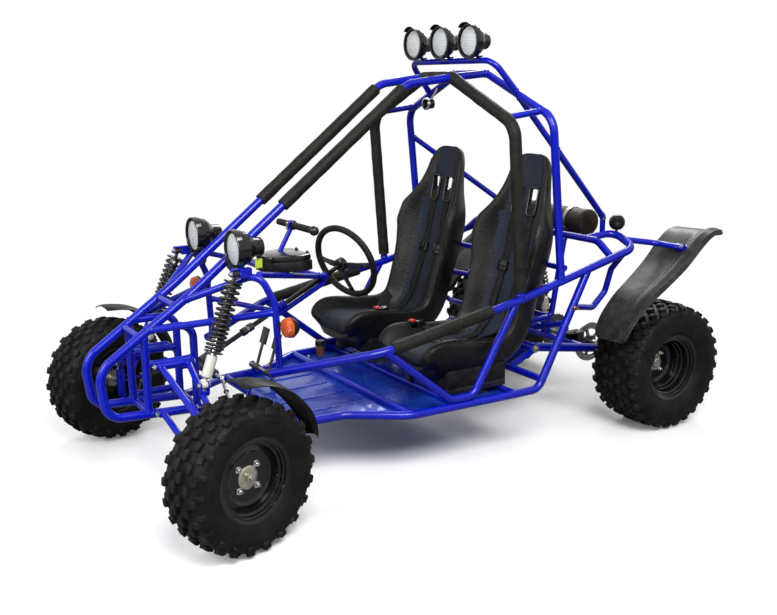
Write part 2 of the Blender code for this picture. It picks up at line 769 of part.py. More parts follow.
def fender_rest():
    """End of the fender stay, lying on top of the rear fender."""
    low = at(REAR_FENDER_PATH[4][0], 0, REAR_FENDER_PATH[4][1])
    high = at(REAR_FENDER_PATH[5][0], 0, REAR_FENDER_PATH[5][1])
    along = (high - low).normalized()
    normal = Vector((along.z, 0, -along.x))
    point = low.lerp(high, 0.75) + normal * (FENDER_LIFT + THIN_R * 0.75)
    point.y = REAR_TRACK / 2 + 0.070
    return point


def side_frame():
    """Left side: rail, V strut, tail strut and the stays for the fender and the rear lamp."""
    pieces = [tube(rail_route(), TUBE_R)]
    base = FLOOR_Z + 2 * TUBE_R - 0.002
    strut = [rail_point(1.322), at(1.040, FLOOR_REAR[1] - 0.016, base), at(0.940, FLOOR_REAR[1] - 0.010, base),
             rail_point(0.735)]
    pieces.append(tube(rounded(strut, 0.060, 1), TUBE_R - 0.001))
    tail = [rail_point(0.178), at(0.184, 0.428, 0.672), at(0.192, 0.406, 0.575), at(0.262, 0.408, 0.515),
            riser_point(0.562)]
    pieces.append(tube(tail, THIN_R))
    # Fender stay, and the rear lamp on its stalk
    on_fender = fender_rest()
    elbow = Vector((on_fender.x, 0.470, on_fender.z))
    pieces.append(tube(rounded([at(0.107, 0.415, 0.786), elbow, on_fender], 0.05, 1), THIN_R))
    pieces.append(rod(at(0.112, 0.380, 0.795), at(0.102, 0.367, 0.830), 0.0060))
    ball = [(-0.028, 0.016), (0.0, 0.034), (0.030, 0.014)]
    pieces.append(moved(turned(ball, TURN_Z, 8), at(0.100, 0.367, 0.850)))
    body = fuse(*pieces)
    return cut(body, grown(floor_route(), TUBE_R), rear_fender(GAP))


def roof_links():
    """Ends and radius of each tube between the front and the rear hoop."""
    share = (0.435 - HOOP_TOP_Y) / (RAIL_Y - HOOP_TOP_Y)
    front_z = FRONT_HOOP_TOP + share * (FRONT_HOOP_SHOULDER - FRONT_HOOP_TOP)
    rear_z = REAR_HOOP_TOP + share * (REAR_HOOP_SHOULDER - REAR_HOOP_TOP)
    links = []
    for side in (-1, 1):
        links.append((at(FRONT_HOOP_X, side * 0.090, FRONT_HOOP_TOP), at(REAR_HOOP_X, side * 0.108, REAR_HOOP_TOP),
                      TUBE_R - 0.001))
        links.append((at(FRONT_HOOP_X, side * 0.432, front_z), at(REAR_HOOP_X, side * 0.426, rear_z), THIN_R))
    return links


def roll_cage():
    """Front and rear hoops, the links between them, the light bar and the rear braces."""
    pieces = [tube(front_hoop_route(), TUBE_R), tube(rear_hoop_route(), TUBE_R)]
    pieces += [rod(start, end, radius) for start, end, radius in roof_links()]
    share = (0.295 - HOOP_TOP_Y) / (HOOP_Y - HOOP_TOP_Y)
    slope_z = REAR_HOOP_TOP + share * (REAR_HOOP_SHOULDER - REAR_HOOP_TOP)
    brace_foot = at(0.156, 0.340, 0.876)
    left = [rod(at(0.562, HOOP_Y, 1.190), brace_foot, THIN_R)]
    left.append(box(brace_foot - Vector((0.012, 0.005, 0.076)), brace_foot + Vector((0.012, 0.005, 0.010))))
    pieces += both_sides(left)
    pieces.append(rod(at(REAR_HOOP_X, 0.295, slope_z), brace_foot, THIN_R))
    # Light bar with its two bent legs
    leg_foot = at(REAR_HOOP_X, 0.300, slope_z)
    bar = full_width([leg_foot, at(LIGHT_BAR_X, LIGHT_BAR_Y, LIGHT_BAR_Z)])
    pieces.append(tube(rounded(bar, 0.055, 1), THIN_R))
    # Seat harness bar between the legs of the rear hoop
    bar = [at(HARNESS_X, side * RAIL_Y, HARNESS_Z) for side in (-1, 1)]
    pieces.append(rod(*bar, THIN_R))
    body = fuse(*pieces)
    return cut(body, *rail_cutters())


def rear_frame():
    """Cross tube behind the seats, the engine cradle hung from it and the muffler hanger."""
    pieces = [tube(cross_tube_route(), TUBE_R - 0.001)]
    top_x, top_z = REAR_SHOCK_TOP
    for side in (-1, 1):
        near = side * (0.012 + GAP)
        far = side * (0.012 + GAP + LUG_T)
        low = at(top_x - 0.013, min(near, far), top_z - 0.013)
        high = at(CROSS_TUBE_X + 0.008, max(near, far), CROSS_TUBE_Z)
        pieces.append(box(low, high))
    pieces.append(rod(at(top_x, -0.022, top_z), at(top_x, 0.022, top_z), BOLT_R))
    # Cradle: two bent hangers from the cross tube, a bar behind and a full-width bar ahead
    for side in (-1, 1):
        y = side * CRADLE_Y
        hanger = [at(CROSS_TUBE_X, y, CROSS_TUBE_Z), at(0.305, y, CRADLE_Z), at(0.474, y, CRADLE_Z)]
        pieces.append(tube(rounded(hanger, 0.03, 1), THIN_R))
    pieces.append(rod(at(0.312, -CRADLE_Y, CRADLE_Z), at(0.312, CRADLE_Y, CRADLE_Z), THIN_R))
    pieces.append(tube(full_width([riser_point(0.500), at(0.470, 0.300, CRADLE_Z)]), THIN_R))
    for side in (-1, 1):
        y = side * 0.150
        pieces.append(box(at(MUFFLER_X - 0.016, y - 0.003, 0.770), at(CROSS_TUBE_X, y + 0.003, 0.798)))
    body = fuse(*pieces)
    muffler_cutter = rod(at(MUFFLER_X, -0.3, MUFFLER_Z), at(MUFFLER_X, 0.3, MUFFLER_Z),
                         (MUFFLER_R + GAP) / math.cos(math.pi / 12), 12)
    floor_cutters = both_sides([grown(floor_route(), TUBE_R)])
    return cut(body, muffler_cutter, *rail_cutters(), *floor_cutters)


# Foam sleeves, slid over the tubes

def sleeve(path, start, end):
    """A foam sleeve round a stretch of a frame tube."""
    return tube(path, FOAM_R, TUBE_SIDES, TUBE_R + GAP, (start, end))


def length_to(path, station):
    """Distance along a path at which it first crosses a station."""
    run = 0.0
    x = station - MIDDLE_X
    for a, b in zip(path, path[1:]):
        if (a.x - x) * (b.x - x) <= 0 and a.x != b.x:
            return run + (b - a).length * (x - a.x) / (b.x - a.x)
        run += (b - a).length
    return run


def path_length(path):
    return sum((b - a).length for a, b in zip(path, path[1:]))


def hoop_sleeve(hoop, length):
    """Foam over the whole front hoop, cut away where the roof and shoulder tubes join it."""
    foam = sleeve(hoop, 0.030, length - 0.030)
    joints = roof_links()
    links = [grown([start, end], radius) for start, end, radius in joints]
    noses = both_sides([grown(nose_route(), TUBE_R)])
    return cut(foam, *links, *noses)


# Wheels

def tyre(radius, width, rim_w):
    """A closed ring of rubber; its bead sits on the rim and a flat of its tread on the ground."""
    half = width / 2
    bead = RIM_R + GAP
    lip = rim_w / 2 - 0.006
    side = (radius + bead) / 2
    crown = radius / math.cos(math.pi / WHEEL_SEGMENTS)
    right = [(half * TREAD_SHARE, crown), (half, radius - 0.045), (half, side), (lip, bead),
             (half * TREAD_SHARE, radius - 0.024)]
    left = [(-along, r) for along, r in reversed(right)]
    return turned(right + left, TURN_Y, WHEEL_SEGMENTS, ring=True)


def rim(width, face, hub_bore):
    """Drop-centre rim: a barrel with two lips, a dished disc at `face` and a hub with an axle bore."""
    half = width / 2
    wall = 0.004
    lip = RIM_R + 0.010
    drop = RIM_R - 0.020
    inner = drop - wall
    outside = [(-half, lip), (-half + 0.006, RIM_R), (-half + 0.040, drop), (half - 0.040, drop),
               (half - 0.006, RIM_R), (half, lip)]
    inside = [(half, lip - wall), (half - 0.016, inner), (face + FACE_T, 0.060), (face + FACE_T, hub_bore),
              (face - HUB_DEPTH, hub_bore), (face - HUB_DEPTH, HUB_R), (face, HUB_R), (half - 0.026, inner),
              (-half + 0.016, inner), (-half, lip - wall)]
    return turned(outside + inside, TURN_Y, WHEEL_SEGMENTS, ring=True)


# Front suspension and steering

def arm(pivot_z):
    """A-arm: two bushes on the bulkhead, two tubes and a fork that holds the upright's eye."""
    outer_z = pivot_z - ARM_DROP
    outer_y = PIVOT_Y + ARM_REACH
    slope = -ARM_DROP / ARM_REACH
    neck_y = outer_y - 0.034
    neck_z = outer_z - 0.034 * slope
    pieces = []
    for station, shift in ((ARM_FRONT_X, 0.016), (ARM_REAR_X, -0.016)):
        centre = at(station, PIVOT_Y, pivot_z)
        end = at(WHEELBASE + shift, neck_y, neck_z)
        pieces.append(rod(centre, end, ARM_R))
    start = at(ARM_REAR_X - BUSH_HALF, PIVOT_Y, pivot_z)
    pieces.append(rod(start, at(ARM_FRONT_X + BUSH_HALF, PIVOT_Y, pivot_z), BUSH_R, 6))
    neck = at(WHEELBASE, neck_y, neck_z)
    pieces.append(rod(neck - Vector((0.022, 0, 0)), neck + Vector((0.022, 0, 0)), ARM_R))
    eye = at(WHEELBASE, outer_y, outer_z)
    for side in (-1, 1):
        near = side * (BUSH_HALF + GAP)
        far = side * (BUSH_HALF + GAP + LUG_T)
        low = Vector((eye.x + min(near, far), neck.y - 0.004, eye.z - 0.011))
        high = Vector((eye.x + max(near, far), eye.y + 0.011, neck.z + 0.009))
        pieces.append(box(low, high))
    bolt = Vector((BUSH_HALF + GAP + LUG_T / 2, 0, 0))
    pieces.append(rod(eye - bolt, eye + bolt, BOLT_R))
    if pivot_z == UPPER_PIVOT_Z:
        base = at(*SHOCK_BASE)
        share = (base.y - PIVOT_Y) / (neck.y - PIVOT_Y)
        on_tube = at(ARM_REAR_X, PIVOT_Y, pivot_z).lerp(at(WHEELBASE - 0.016, neck_y, neck_z), share)
        for side in (-1, 1):
            near = side * (SHOCK_EYE_HALF + SHOCK_PLAY)
            far = near + side * LUG_T
            low = Vector((base.x + min(near, far), base.y - 0.012, on_tube.z + 0.002))
            high = Vector((base.x + max(near, far), base.y + 0.012, base.z + 0.010))
            pieces.append(box(low, high))
        reach = SHOCK_EYE_HALF + SHOCK_PLAY + LUG_T / 2
        low = Vector((base.x - reach, base.y - 0.011, on_tube.z - 0.004))
        pieces.append(box(low, Vector((base.x + reach, base.y + 0.011, on_tube.z + ARM_R))))
    body = fuse(*pieces)
    return cut(body, pin_bore(at(ARM_REAR_X - 0.05, PIVOT_Y, pivot_z), at(ARM_FRONT_X + 0.05, PIVOT_Y, pivot_z), BOLT_R))


def upright():
    """Carrier between the two arms: an eye at each end and two lugs with the kingpin."""
    y = PIVOT_Y + ARM_REACH
    top = UPPER_PIVOT_Z - ARM_DROP
    bottom = LOWER_PIVOT_Z - ARM_DROP
    middle = (top + bottom) / 2
    half = Vector((BUSH_HALF - GAP, 0, 0))
    pieces = [box(at(WHEELBASE - 0.010, y + 0.007, bottom), at(WHEELBASE + 0.010, y + 0.019, top))]
    for z in (bottom, top):
        eye = at(WHEELBASE, y, z)
        pieces.append(rod(eye - half, eye + half, 0.0125, 6))
    for side in (-1, 1):
        near = middle + side * (BARREL_HALF + GAP * 2)
        far = near + side * 0.007
        low = at(WHEELBASE - 0.014, y + 0.009, min(near, far))
        high = at(WHEELBASE + 0.014, KINGPIN_Y + 0.014, max(near, far))
        pieces.append(box(low, high))
    reach = BARREL_HALF + 0.014
    pieces.append(rod(at(WHEELBASE, KINGPIN_Y, middle - reach), at(WHEELBASE, KINGPIN_Y, middle + reach), KINGPIN_R, 6))
    body = fuse(*pieces)
    bores = []
    for z in (bottom, top):
        start = at(WHEELBASE - 0.03, y, z)
        end = at(WHEELBASE + 0.03, y, z)
        bores.append(pin_bore(start, end, BOLT_R))
    return cut(body, *bores)


def knuckle():
    """Left knuckle, wheel straight ahead: barrel on the kingpin, spindle, steering arm and fender stay."""
    y = KINGPIN_Y
    z = FRONT_TYRE_R
    nut = FRONT_TRACK / 2 + FRONT_FACE + FACE_T + GAP
    pieces = [
        rod(at(WHEELBASE, y, z - BARREL_HALF), at(WHEELBASE, y, z + BARREL_HALF), 0.0145, 6),
        rod(at(WHEELBASE, y + 0.008, z), at(WHEELBASE, nut + WHEEL_NUT_T + 0.004, z), SPINDLE_R, 6),
        rod(at(WHEELBASE, nut, z), at(WHEELBASE, nut + WHEEL_NUT_T, z), 0.0140, 6),
        rod(at(WHEELBASE - 0.008, y, z), at(WHEELBASE - STEER_ARM, y, z), 0.0060, 6),
        rod(at(WHEELBASE - STEER_ARM, y, z - 0.006), at(WHEELBASE - STEER_ARM, y, z + 0.006), 0.0100, 6),
    ]
    # Stay that passes between tyre and arms, and the tab at its end under the fender's inner edge
    turn = math.radians(FENDER_STAY_AT)
    out = Vector((math.cos(turn), 0, math.sin(turn)))
    hub = at(WHEELBASE, 0, z)
    inboard = Vector((0, FRONT_TRACK / 2 - FRONT_TYRE_W / 2 - STAY_CLEARANCE, 0))
    under = FENDER_RADIUS - FENDER_T - FENDER_EDGE - 0.0055
    foot = at(WHEELBASE - 0.008, y, z + 0.010)
    elbow = hub + inboard + Vector((-0.060, 0, 0.045))
    shoulder = hub + inboard + out * (FRONT_TYRE_R + STAY_CLEARANCE + 0.006)
    top = hub + Vector((0, FENDER_IN_Y - 0.010, 0)) + out * under
    pieces.append(tube([foot, elbow, shoulder, top], FENDER_STAY_R))
    tab_end = hub + Vector((0, FENDER_IN_Y + 0.045, 0)) + out * (under + 0.0065)
    around = Vector((-out.z, 0, out.x))
    pieces.append(plank(top, tab_end, around, 0.011, 0.0016))
    body = fuse(*pieces)
    bore = pin_bore(at(WHEELBASE, y, z - 0.1), at(WHEELBASE, y, z + 0.1), KINGPIN_R)
    return cut(body, bore)


def steered(mesh, side):
    """A piece of one front corner, turned about its kingpin to the angle in the photograph."""
    if side < 0:
        mesh = mirrored(mesh)
    pivot = at(WHEELBASE, side * KINGPIN_Y, 0)
    mesh.transform(Matrix.Translation(pivot) @ Matrix.Rotation(STEER_REST, 4, "Z") @ Matrix.Translation(-pivot))
    return mesh


def front_fender():
    """Left front fender over the back of the tyre, wheel straight ahead."""
    radius = FENDER_RADIUS
    verts = []
    faces = []
    rows = 7
    profile = [(0.0, -FENDER_EDGE), (0.030, 0.0), (0.5, 0.008), (0.970, 0.0), (1.0, -FENDER_EDGE)]
    under = [(a, lift - FENDER_T) for a, lift in reversed(profile)]
    section = profile + under
    for i in range(rows + 1):
        share = i / rows
        turn = math.radians(FENDER_START + share * (FENDER_END - FENDER_START))
        taper = 1.0 - 0.55 * max(0.0, (share - 0.55) / 0.45) ** 2 - 0.10 * (1 - share)
        middle = (FENDER_IN_Y + FENDER_OUT_Y) / 2
        half = (FENDER_OUT_Y - FENDER_IN_Y) / 2 * taper
        for across, lift in section:
            r = radius + lift + 0.035 * max(0.0, share - 0.6)
            y = middle + (2 * across - 1) * half
            verts.append(at(WHEELBASE + r * math.cos(turn), y, FRONT_TYRE_R + r * math.sin(turn)))
    count = len(section)
    for i in range(rows):
        for k in range(count):
            n = (k + 1) % count
            faces.append((i * count + k, i * count + n, (i + 1) * count + n, (i + 1) * count + k))
    faces.append(tuple(range(count)))
    faces.append(tuple(rows * count + k for k in range(count)))
    return to_mesh(verts, faces)


def shock_axis():
    top = at(*SHOCK_TOP)
    base = at(*SHOCK_BASE)
    return top, base, (base - top).normalized()


def shock_body(top, base, eye_half, spring_len):
    """Upper half of a shock: eye, spring seat and the bored damper tube."""
    axis = (base - top).normalized()
    half = Vector((eye_half, 0, 0)) if abs(axis.y) > 0.01 else Vector((0, eye_half, 0))
    seat = top + axis * 0.026
    pieces = [
        rod(top - half, top + half, SHOCK_EYE_R, 6),
        rod(top + axis * 0.006, seat + axis * 0.004, SHOCK_NECK_R, 6),
        rod(seat, seat + axis * 0.006, SPRING_R, 8),
        rod(seat + axis * 0.004, top + axis * (spring_len - 0.010), SHOCK_BODY_R, 6),
    ]
    body = fuse(*pieces)
    bolt = pin_bore(top - half * 2, top + half * 2, BOLT_R)
    bore = pin_bore(seat + axis * 0.030, top + axis * (spring_len + 0.05), PISTON_R)
    return cut(body, bolt, bore)


def shock_rod(top, base, eye_half, leg_len, piston_len):
    """Lower half: piston rod, thick leg and the eye on the arm."""
    axis = (base - top).normalized()
    half = Vector((eye_half, 0, 0)) if abs(axis.y) > 0.01 else Vector((0, eye_half, 0))
    pieces = [
        rod(base - half, base + half, SHOCK_EYE_R, 6),
        rod(base - axis * 0.006, base - axis * 0.030, SHOCK_NECK_R, 6),
        rod(base - axis * 0.022, base - axis * leg_len, SHOCK_LEG_R, 8),
        rod(base - axis * (leg_len - 0.004), base - axis * piston_len, PISTON_R, 6),
    ]
    return fuse(*pieces)


def spring(start, axis, length, turns):
    """One unbroken helix whose two ends run straight and square to the seats."""
    mean = SPRING_R - SPRING_WIRE_R
    lead = 2 * SPRING_WIRE_R
    side = axis.orthogonal().normalized()
    other = axis.cross(side)
    count = turns * POINTS_PER_TURN
    coil = [start + side * mean]
    for i in range(count + 1):
        angle = 2 * math.pi * i / POINTS_PER_TURN
        along = lead + (length - 2 * lead) * i / count
        coil.append(start + axis * along + side * (mean * math.cos(angle)) + other * (mean * math.sin(angle)))
    coil.append(start + axis * length + side * mean)
    pitch = (length - 2 * lead) / turns
    print("least gap between the turns of a spring", round(pitch - 2 * SPRING_WIRE_R, 5))
    return tube(coil, SPRING_WIRE_R, 5)


def rack():
    ends = RACK_HALF
    shift = -STEER_ARM * math.sin(STEER_REST)
    bar = rod(at(RACK_X, shift - ends, RACK_Z), at(RACK_X, shift + ends, RACK_Z), RACK_R, 6)
    return bar


def tie_rod(side):
    """From the rack's end ball to just under the steering arm's end."""
    shift = -STEER_ARM * math.sin(STEER_REST)
    inner = at(RACK_X, shift + side * (RACK_HALF + TIE_BALL_HALF + GAP), RACK_Z)
    end = Vector((-STEER_ARM * math.cos(STEER_REST), shift, 0))
    outer = at(WHEELBASE, side * KINGPIN_Y, FRONT_TYRE_R - TIE_ROD_DROP - 0.005) + end
    ball = [(-TIE_BALL_HALF, 0.003), (-0.005, 0.0100), (0.005, 0.0100), (TIE_BALL_HALF, 0.003)]
    pieces = [
        moved(turned(ball, TURN_Y, 6), inner),
        rod(inner, outer, 0.0062, 6),
        rod(outer - Vector((0, 0, 0.005)), outer + Vector((0, 0, 0.005)), 0.0105, 6),
    ]
    return fuse(*pieces), inner


def steering_wheel():
    hub, upper, lower, pinion, axis = column_points()
    side = axis.cross(Vector((0, 0, 1))).normalized()
    up = side.cross(axis).normalized()
    ring = []
    for i in range(14):
        a = 2 * math.pi * i / 14
        ring.append(hub + (side * math.cos(a) + up * math.sin(a)) * STEERING_WHEEL_R)
    pieces = [closed_tube(ring, STEERING_GRIP_R, 5)]
    boss = hub + axis * 0.034
    pieces.append(rod(hub + axis * 0.012, boss + axis * 0.012, 0.030, 8))
    for degrees in (0, 180, 270):
        a = math.radians(degrees)
        direction = side * math.cos(a) + up * math.sin(a)
        across = axis.cross(direction).normalized()
        pieces.append(plank(boss, hub + direction * (STEERING_WHEEL_R - 0.004), across, 0.016, 0.0022))
    pieces.append(rod(boss, pinion - axis * 0.006, COLUMN_R, 6))
    return fuse(*pieces), hub


def closed_tube(points, radius, sides):
    """A ring of tube through the points."""
    directions = frames(points, closed=True)
    verts = []
    faces = []
    for point, (u, v) in zip(points, directions):
        for k in range(sides):
            a = 2 * math.pi * k / sides
            verts.append(point + u * (radius * math.cos(a)) + v * (radius * math.sin(a)))
    count = len(points)
    for i in range(count):
        n = (i + 1) % count
        for k in range(sides):
            m = (k + 1) % sides
            faces.append((i * sides + k, i * sides + m, n * sides + m, n * sides + k))
    return to_mesh(verts, faces)


def plank(start, end, across, half_width, half_thick):
    """A flat bar between two points."""
    along = (end - start).normalized()
    normal = along.cross(across).normalized()
    verts = []
    for point in (start, end):
        for a, b in ((-1, -1), (1, -1), (1, 1), (-1, 1)):
            verts.append(point + across * (a * half_width) + normal * (b * half_thick))
    faces = [(0, 1, 2, 3), (4, 5, 6, 7), (0, 1, 5, 4), (1, 2, 6, 5), (2, 3, 7, 6), (3, 0, 4, 7)]
    return to_mesh(verts, faces)


def pedal(y):
    """A floor pedal: sleeve on the pedal bar, lever and pad."""
    pivot = at(PEDAL_X, y, PEDAL_Z)
    half = Vector((0, 0.017, 0))
    pad = at(PEDAL_X - 0.042, y, PEDAL_Z + 0.125)
    lean = Vector((-0.042, 0, 0.125)).normalized()
    pieces = [
        rod(pivot - half, pivot + half, 0.0130, 8),
        rod(pivot + lean * 0.008, pad - lean * 0.004, 0.0065, 6),
        plank(pad - lean * 0.034, pad + lean * 0.034, Vector((0, 1, 0)), 0.026, 0.0045),
    ]
    body = fuse(*pieces)
    bore = pin_bore(pivot - half * 2, pivot + half * 2, PEDAL_PIN_R)
    return cut(body, bore), pivot


# Seats

def seat():
    """Left bucket seat: cushion, back with raised sides and two harness slots, and the buckle."""
    # Side view of the padded face as (station, height), with half width, bolster height and thickness
    stations = [
        (1.118, 0.405, 0.168, 0.010, 0.070),
        (1.122, 0.440, 0.185, 0.022, 0.085),
        (1.085, 0.462, 0.183, 0.035, 0.090),
        (0.960, 0.440, 0.183, 0.052, 0.090),
        (0.820, 0.408, 0.183, 0.066, 0.085),
        (0.715, 0.412, 0.183, 0.075, 0.085),
        (0.655, 0.480, 0.183, 0.078, 0.080),
        (0.620, 0.590, 0.183, 0.080, 0.070),
        (0.585, 0.700, 0.196, 0.096, 0.065),
        (0.560, 0.800, 0.216, 0.118, 0.060),
        (0.545, 0.880, 0.208, 0.098, 0.055),
        (0.530, 0.950, 0.160, 0.040, 0.050),
        (0.515, 1.020, 0.132, 0.020, 0.050),
        (0.500, 1.085, 0.118, 0.014, 0.048),
        (0.487, 1.130, 0.095, 0.008, 0.042),
        (0.478, 1.150, 0.055, 0.004, 0.030),
    ]
    across = [-1.0, -0.88, -0.60, 0.0, 0.60, 0.88, 1.0]
    rise = [0.68, 1.0, 0.22, 0.0, 0.22, 1.0, 0.68]
    rows = []
    for i, (x, z, half, bolster, thick) in enumerate(stations):
        before = stations[max(i - 1, 0)]
        after = stations[min(i + 1, len(stations) - 1)]
        along = Vector((after[0] - before[0], 0, after[1] - before[1])).normalized()
        normal = Vector((-along.z, 0, along.x))
        if normal.x < 0 and normal.z < 0.2:
            normal = -normal
        normal = Vector((abs(normal.x), 0, normal.z)) if i > 4 else Vector((normal.x, 0, abs(normal.z)))
        row = []
        for a, lift in zip(across, rise):
            row.append(at(x, SEAT_Y + a * half, z) + normal * (bolster * lift))
        back_half = half * 0.80
        for a in (0.98, 0.55, -0.55, -0.98):
            curve = 1.0 if abs(a) < 0.9 else 0.45
            row.append(at(x, SEAT_Y + a * back_half, z) - normal * (thick * curve))
        rows.append(row)
    count = len(rows[0])
    verts = [v for row in rows for v in row]
    faces = []
    for i in range(len(rows) - 1):
        for k in range(count):
            n = (k + 1) % count
            faces.append((i * count + k, i * count + n, (i + 1) * count + n, (i + 1) * count + k))
    faces.append(tuple(range(count)))
    last = (len(rows) - 1) * count
    faces.append(tuple(last + k for k in range(count)))
    shell = to_mesh(verts, faces)
    base_z = SEAT_RAIL_Z + THIN_R + GAP
    base = box(at(0.725, SEAT_Y - 0.150, base_z), at(1.020, SEAT_Y + 0.150, 0.372))
    x, y, z = BUCKLE
    inner = SEAT_Y - y * 1.25
    buckle = box(at(x - 0.034, inner - 0.016, z - 0.060), at(x + 0.034, inner + 0.016, z + 0.012))
    body = fuse(shell, base, buckle)
    slots = []
    for side in (-1, 1):
        low = at(0.36, SEAT_Y + side * SLOT_Y - 0.017, 0.925)
        high = at(0.70, SEAT_Y + side * SLOT_Y + 0.017, 1.005)
        slots.append(box(low, high))
    pocket = box(at(x + 0.012, inner - 0.0115, z + 0.004), at(x + 0.031, inner + 0.0115, z + 0.020))
    return cut(body, pocket, *slots), at(x + 0.0215, inner, z + 0.004)


def buckle_button(seat_pocket):
    """Red release button in the buckle's pocket."""
    low = seat_pocket + Vector((-0.0092, -0.0112, BUTTON_TRAVEL + GAP))
    return box(low, seat_pocket + Vector((0.0092, 0.0112, 0.0145)))


# Rear axle, swing arm, engine and the rest

def swing_arm():
    pivot_x, pivot_z = SWING_PIVOT
    pieces = []
    for side in (-1, 1):
        y = side * SWING_Y
        pieces.append(rod(at(pivot_x, y, pivot_z), at(0, y, REAR_TYRE_R), 0.019))
        pieces.append(rod(at(pivot_x, y - 0.030, pivot_z), at(pivot_x, y + 0.030, pivot_z), 0.020, 6))
        pieces.append(rod(at(0, y - 0.026, REAR_TYRE_R), at(0, y + 0.026, REAR_TYRE_R), 0.038, 8))
    share = 0.150 / pivot_x
    cross_z = REAR_TYRE_R + share * (pivot_z - REAR_TYRE_R)
    pieces.append(rod(at(0.150, -SWING_Y, cross_z), at(0.150, SWING_Y, cross_z), TUBE_R, 6))
    base_x, base_z = REAR_SHOCK_BASE
    for side in (-1, 1):
        near = side * (0.012 + SHOCK_PLAY)
        far = near + side * LUG_T
        pieces.append(box(at(base_x - 0.014, min(near, far), cross_z), at(base_x + 0.014, max(near, far), base_z + 0.010)))
    # Brake caliper on the left tube, chain guard on the right
    pieces.append(box(at(0.105, 0.105, 0.262), at(0.150, 0.160, 0.330)))
    pieces.append(box(at(0.128, 0.115, 0.268), at(0.160, 0.150, cross_z + 0.004)))
    body = fuse(*pieces)
    disc_slot = rod(at(0, DISC_Y - 0.0045, REAR_TYRE_R), at(0, DISC_Y + 0.0045, REAR_TYRE_R), DISC_R + 0.006, 16)
    pivot_bore = pin_bore(at(pivot_x, -0.5, pivot_z), at(pivot_x, 0.5, pivot_z), SWING_BOLT_R)
    axle_bore = pin_bore(at(0, -0.5, REAR_TYRE_R), at(0, 0.5, REAR_TYRE_R), AXLE_R)
    return cut(body, disc_slot, pivot_bore, axle_bore)


def rear_axle():
    """Live axle with its hubs, brake disc, sprocket and the two end nuts."""
    z = REAR_TYRE_R
    nut = REAR_TRACK / 2 + REAR_FACE + FACE_T + GAP
    reach = nut + WHEEL_NUT_T + 0.004
    pieces = [rod(at(0, -reach, z), at(0, reach, z), AXLE_R, 6)]
    pieces.append(rod(at(0, DISC_Y - 0.0022, z), at(0, DISC_Y + 0.0022, z), DISC_R, 12))
    pieces.append(rod(at(0, DISC_Y - 0.012, z), at(0, DISC_Y + 0.012, z), 0.030, 6))
    pieces.append(rod(at(0, -0.105, z), at(0, -0.097, z), 0.085, 12))
    pieces.append(rod(at(0, -0.113, z), at(0, -0.089, z), 0.032, 6))
    for side in (-1, 1):
        pieces.append(rod(at(0, side * nut, z), at(0, side * (nut + WHEEL_NUT_T), z), 0.024, 6))
        start = at(0, side * (SWING_Y + 0.028), z)
        pieces.append(rod(start, at(0, side * (SWING_Y + 0.040), z), 0.024, 6))
    return fuse(*pieces)


def engine():
    """Engine block with finned cylinder, crankcase, belt cover, carburettor and the exhaust to the muffler."""
    base = CRADLE_Z + THIN_R + GAP
    pieces = [
        box(at(0.312, -0.140, base), at(0.486, 0.130, base + 0.120)),
        rod(at(0.350, -0.185, base + 0.070), at(0.350, 0.155, base + 0.070), 0.066, 10),
        rod(at(0.455, -0.165, base + 0.070), at(0.455, 0.120, base + 0.070), 0.052, 8),
        box(at(0.345, -0.052, base + 0.115), at(0.455, 0.052, base + 0.215)),
    ]
    for i in range(2):
        low = base + 0.140 + i * 0.034
        pieces.append(box(at(0.332, -0.066, low), at(0.468, 0.066, low + 0.008)))
    pieces.append(box(at(0.368, 0.045, base + 0.150), at(0.420, 0.130, base + 0.190)))
    pieces.append(rod(at(0.394, 0.120, base + 0.170), at(0.394, 0.205, base + 0.170), 0.040, 8))
    pipe = [at(0.345, -0.020, base + 0.175), at(0.290, -0.040, base + 0.195), at(MUFFLER_X + 0.045, -0.205, 0.700),
            at(MUFFLER_X, -0.205, 0.735), at(MUFFLER_X, -0.205, MUFFLER_Z)]
    pieces.append(tube(rounded(pipe, [0.03, 0.06, 0.03], 1), 0.0150, 6))
    profile = [(-0.255, MUFFLER_R - 0.012), (-0.245, MUFFLER_R), (0.245, MUFFLER_R), (0.255, MUFFLER_R - 0.012)]
    pieces.append(moved(turned(profile, TURN_Y, 12), at(MUFFLER_X, 0, MUFFLER_Z)))
    pieces.append(rod(at(MUFFLER_X - 0.010, -0.240, MUFFLER_Z), at(MUFFLER_X - 0.010, -0.285, MUFFLER_Z - 0.004), 0.0140, 6))
    return fuse(*pieces)


def rear_fender(margin=0.0):
    """Left rear fender, a blade over the tyre that curls at its top; with a margin, the cutter for its stay."""
    path = [at(x, 0, z) for x, z in REAR_FENDER_PATH]
    halves = [0.108, 0.119, 0.121, 0.121, 0.123, 0.120, 0.108, 0.080, 0.040]
    across = [-1.0, -0.92, 0.35, 0.60, 0.92, 1.0]
    lift = [-0.016, -0.004, FENDER_LIFT, 0.014, 0.010, -0.004]
    verts = []
    for i, (point, half) in enumerate(zip(path, halves)):
        along = (path[min(i + 1, len(path) - 1)] - path[max(i - 1, 0)]).normalized()
        normal = Vector((along.z, 0, -along.x))
        middle = REAR_TRACK / 2 + 0.030
        for a, rise in zip(across, lift):
            verts.append(point + Vector((0, middle + a * half, 0)) + normal * (rise + margin))
        for a, rise in zip(reversed(across), reversed(lift)):
            verts.append(point + Vector((0, middle + a * half, 0)) + normal * (rise - 0.004 - margin))
    count = 2 * len(across)
    faces = []
    for i in range(len(path) - 1):
        for k in range(count):
            n = (k + 1) % count
            faces.append((i * count + k, i * count + n, (i + 1) * count + n, (i + 1) * count + k))
    faces.append(tuple(range(count)))
    last = (len(path) - 1) * count
    faces.append(tuple(last + k for k in range(count)))
    return to_mesh(verts, faces)


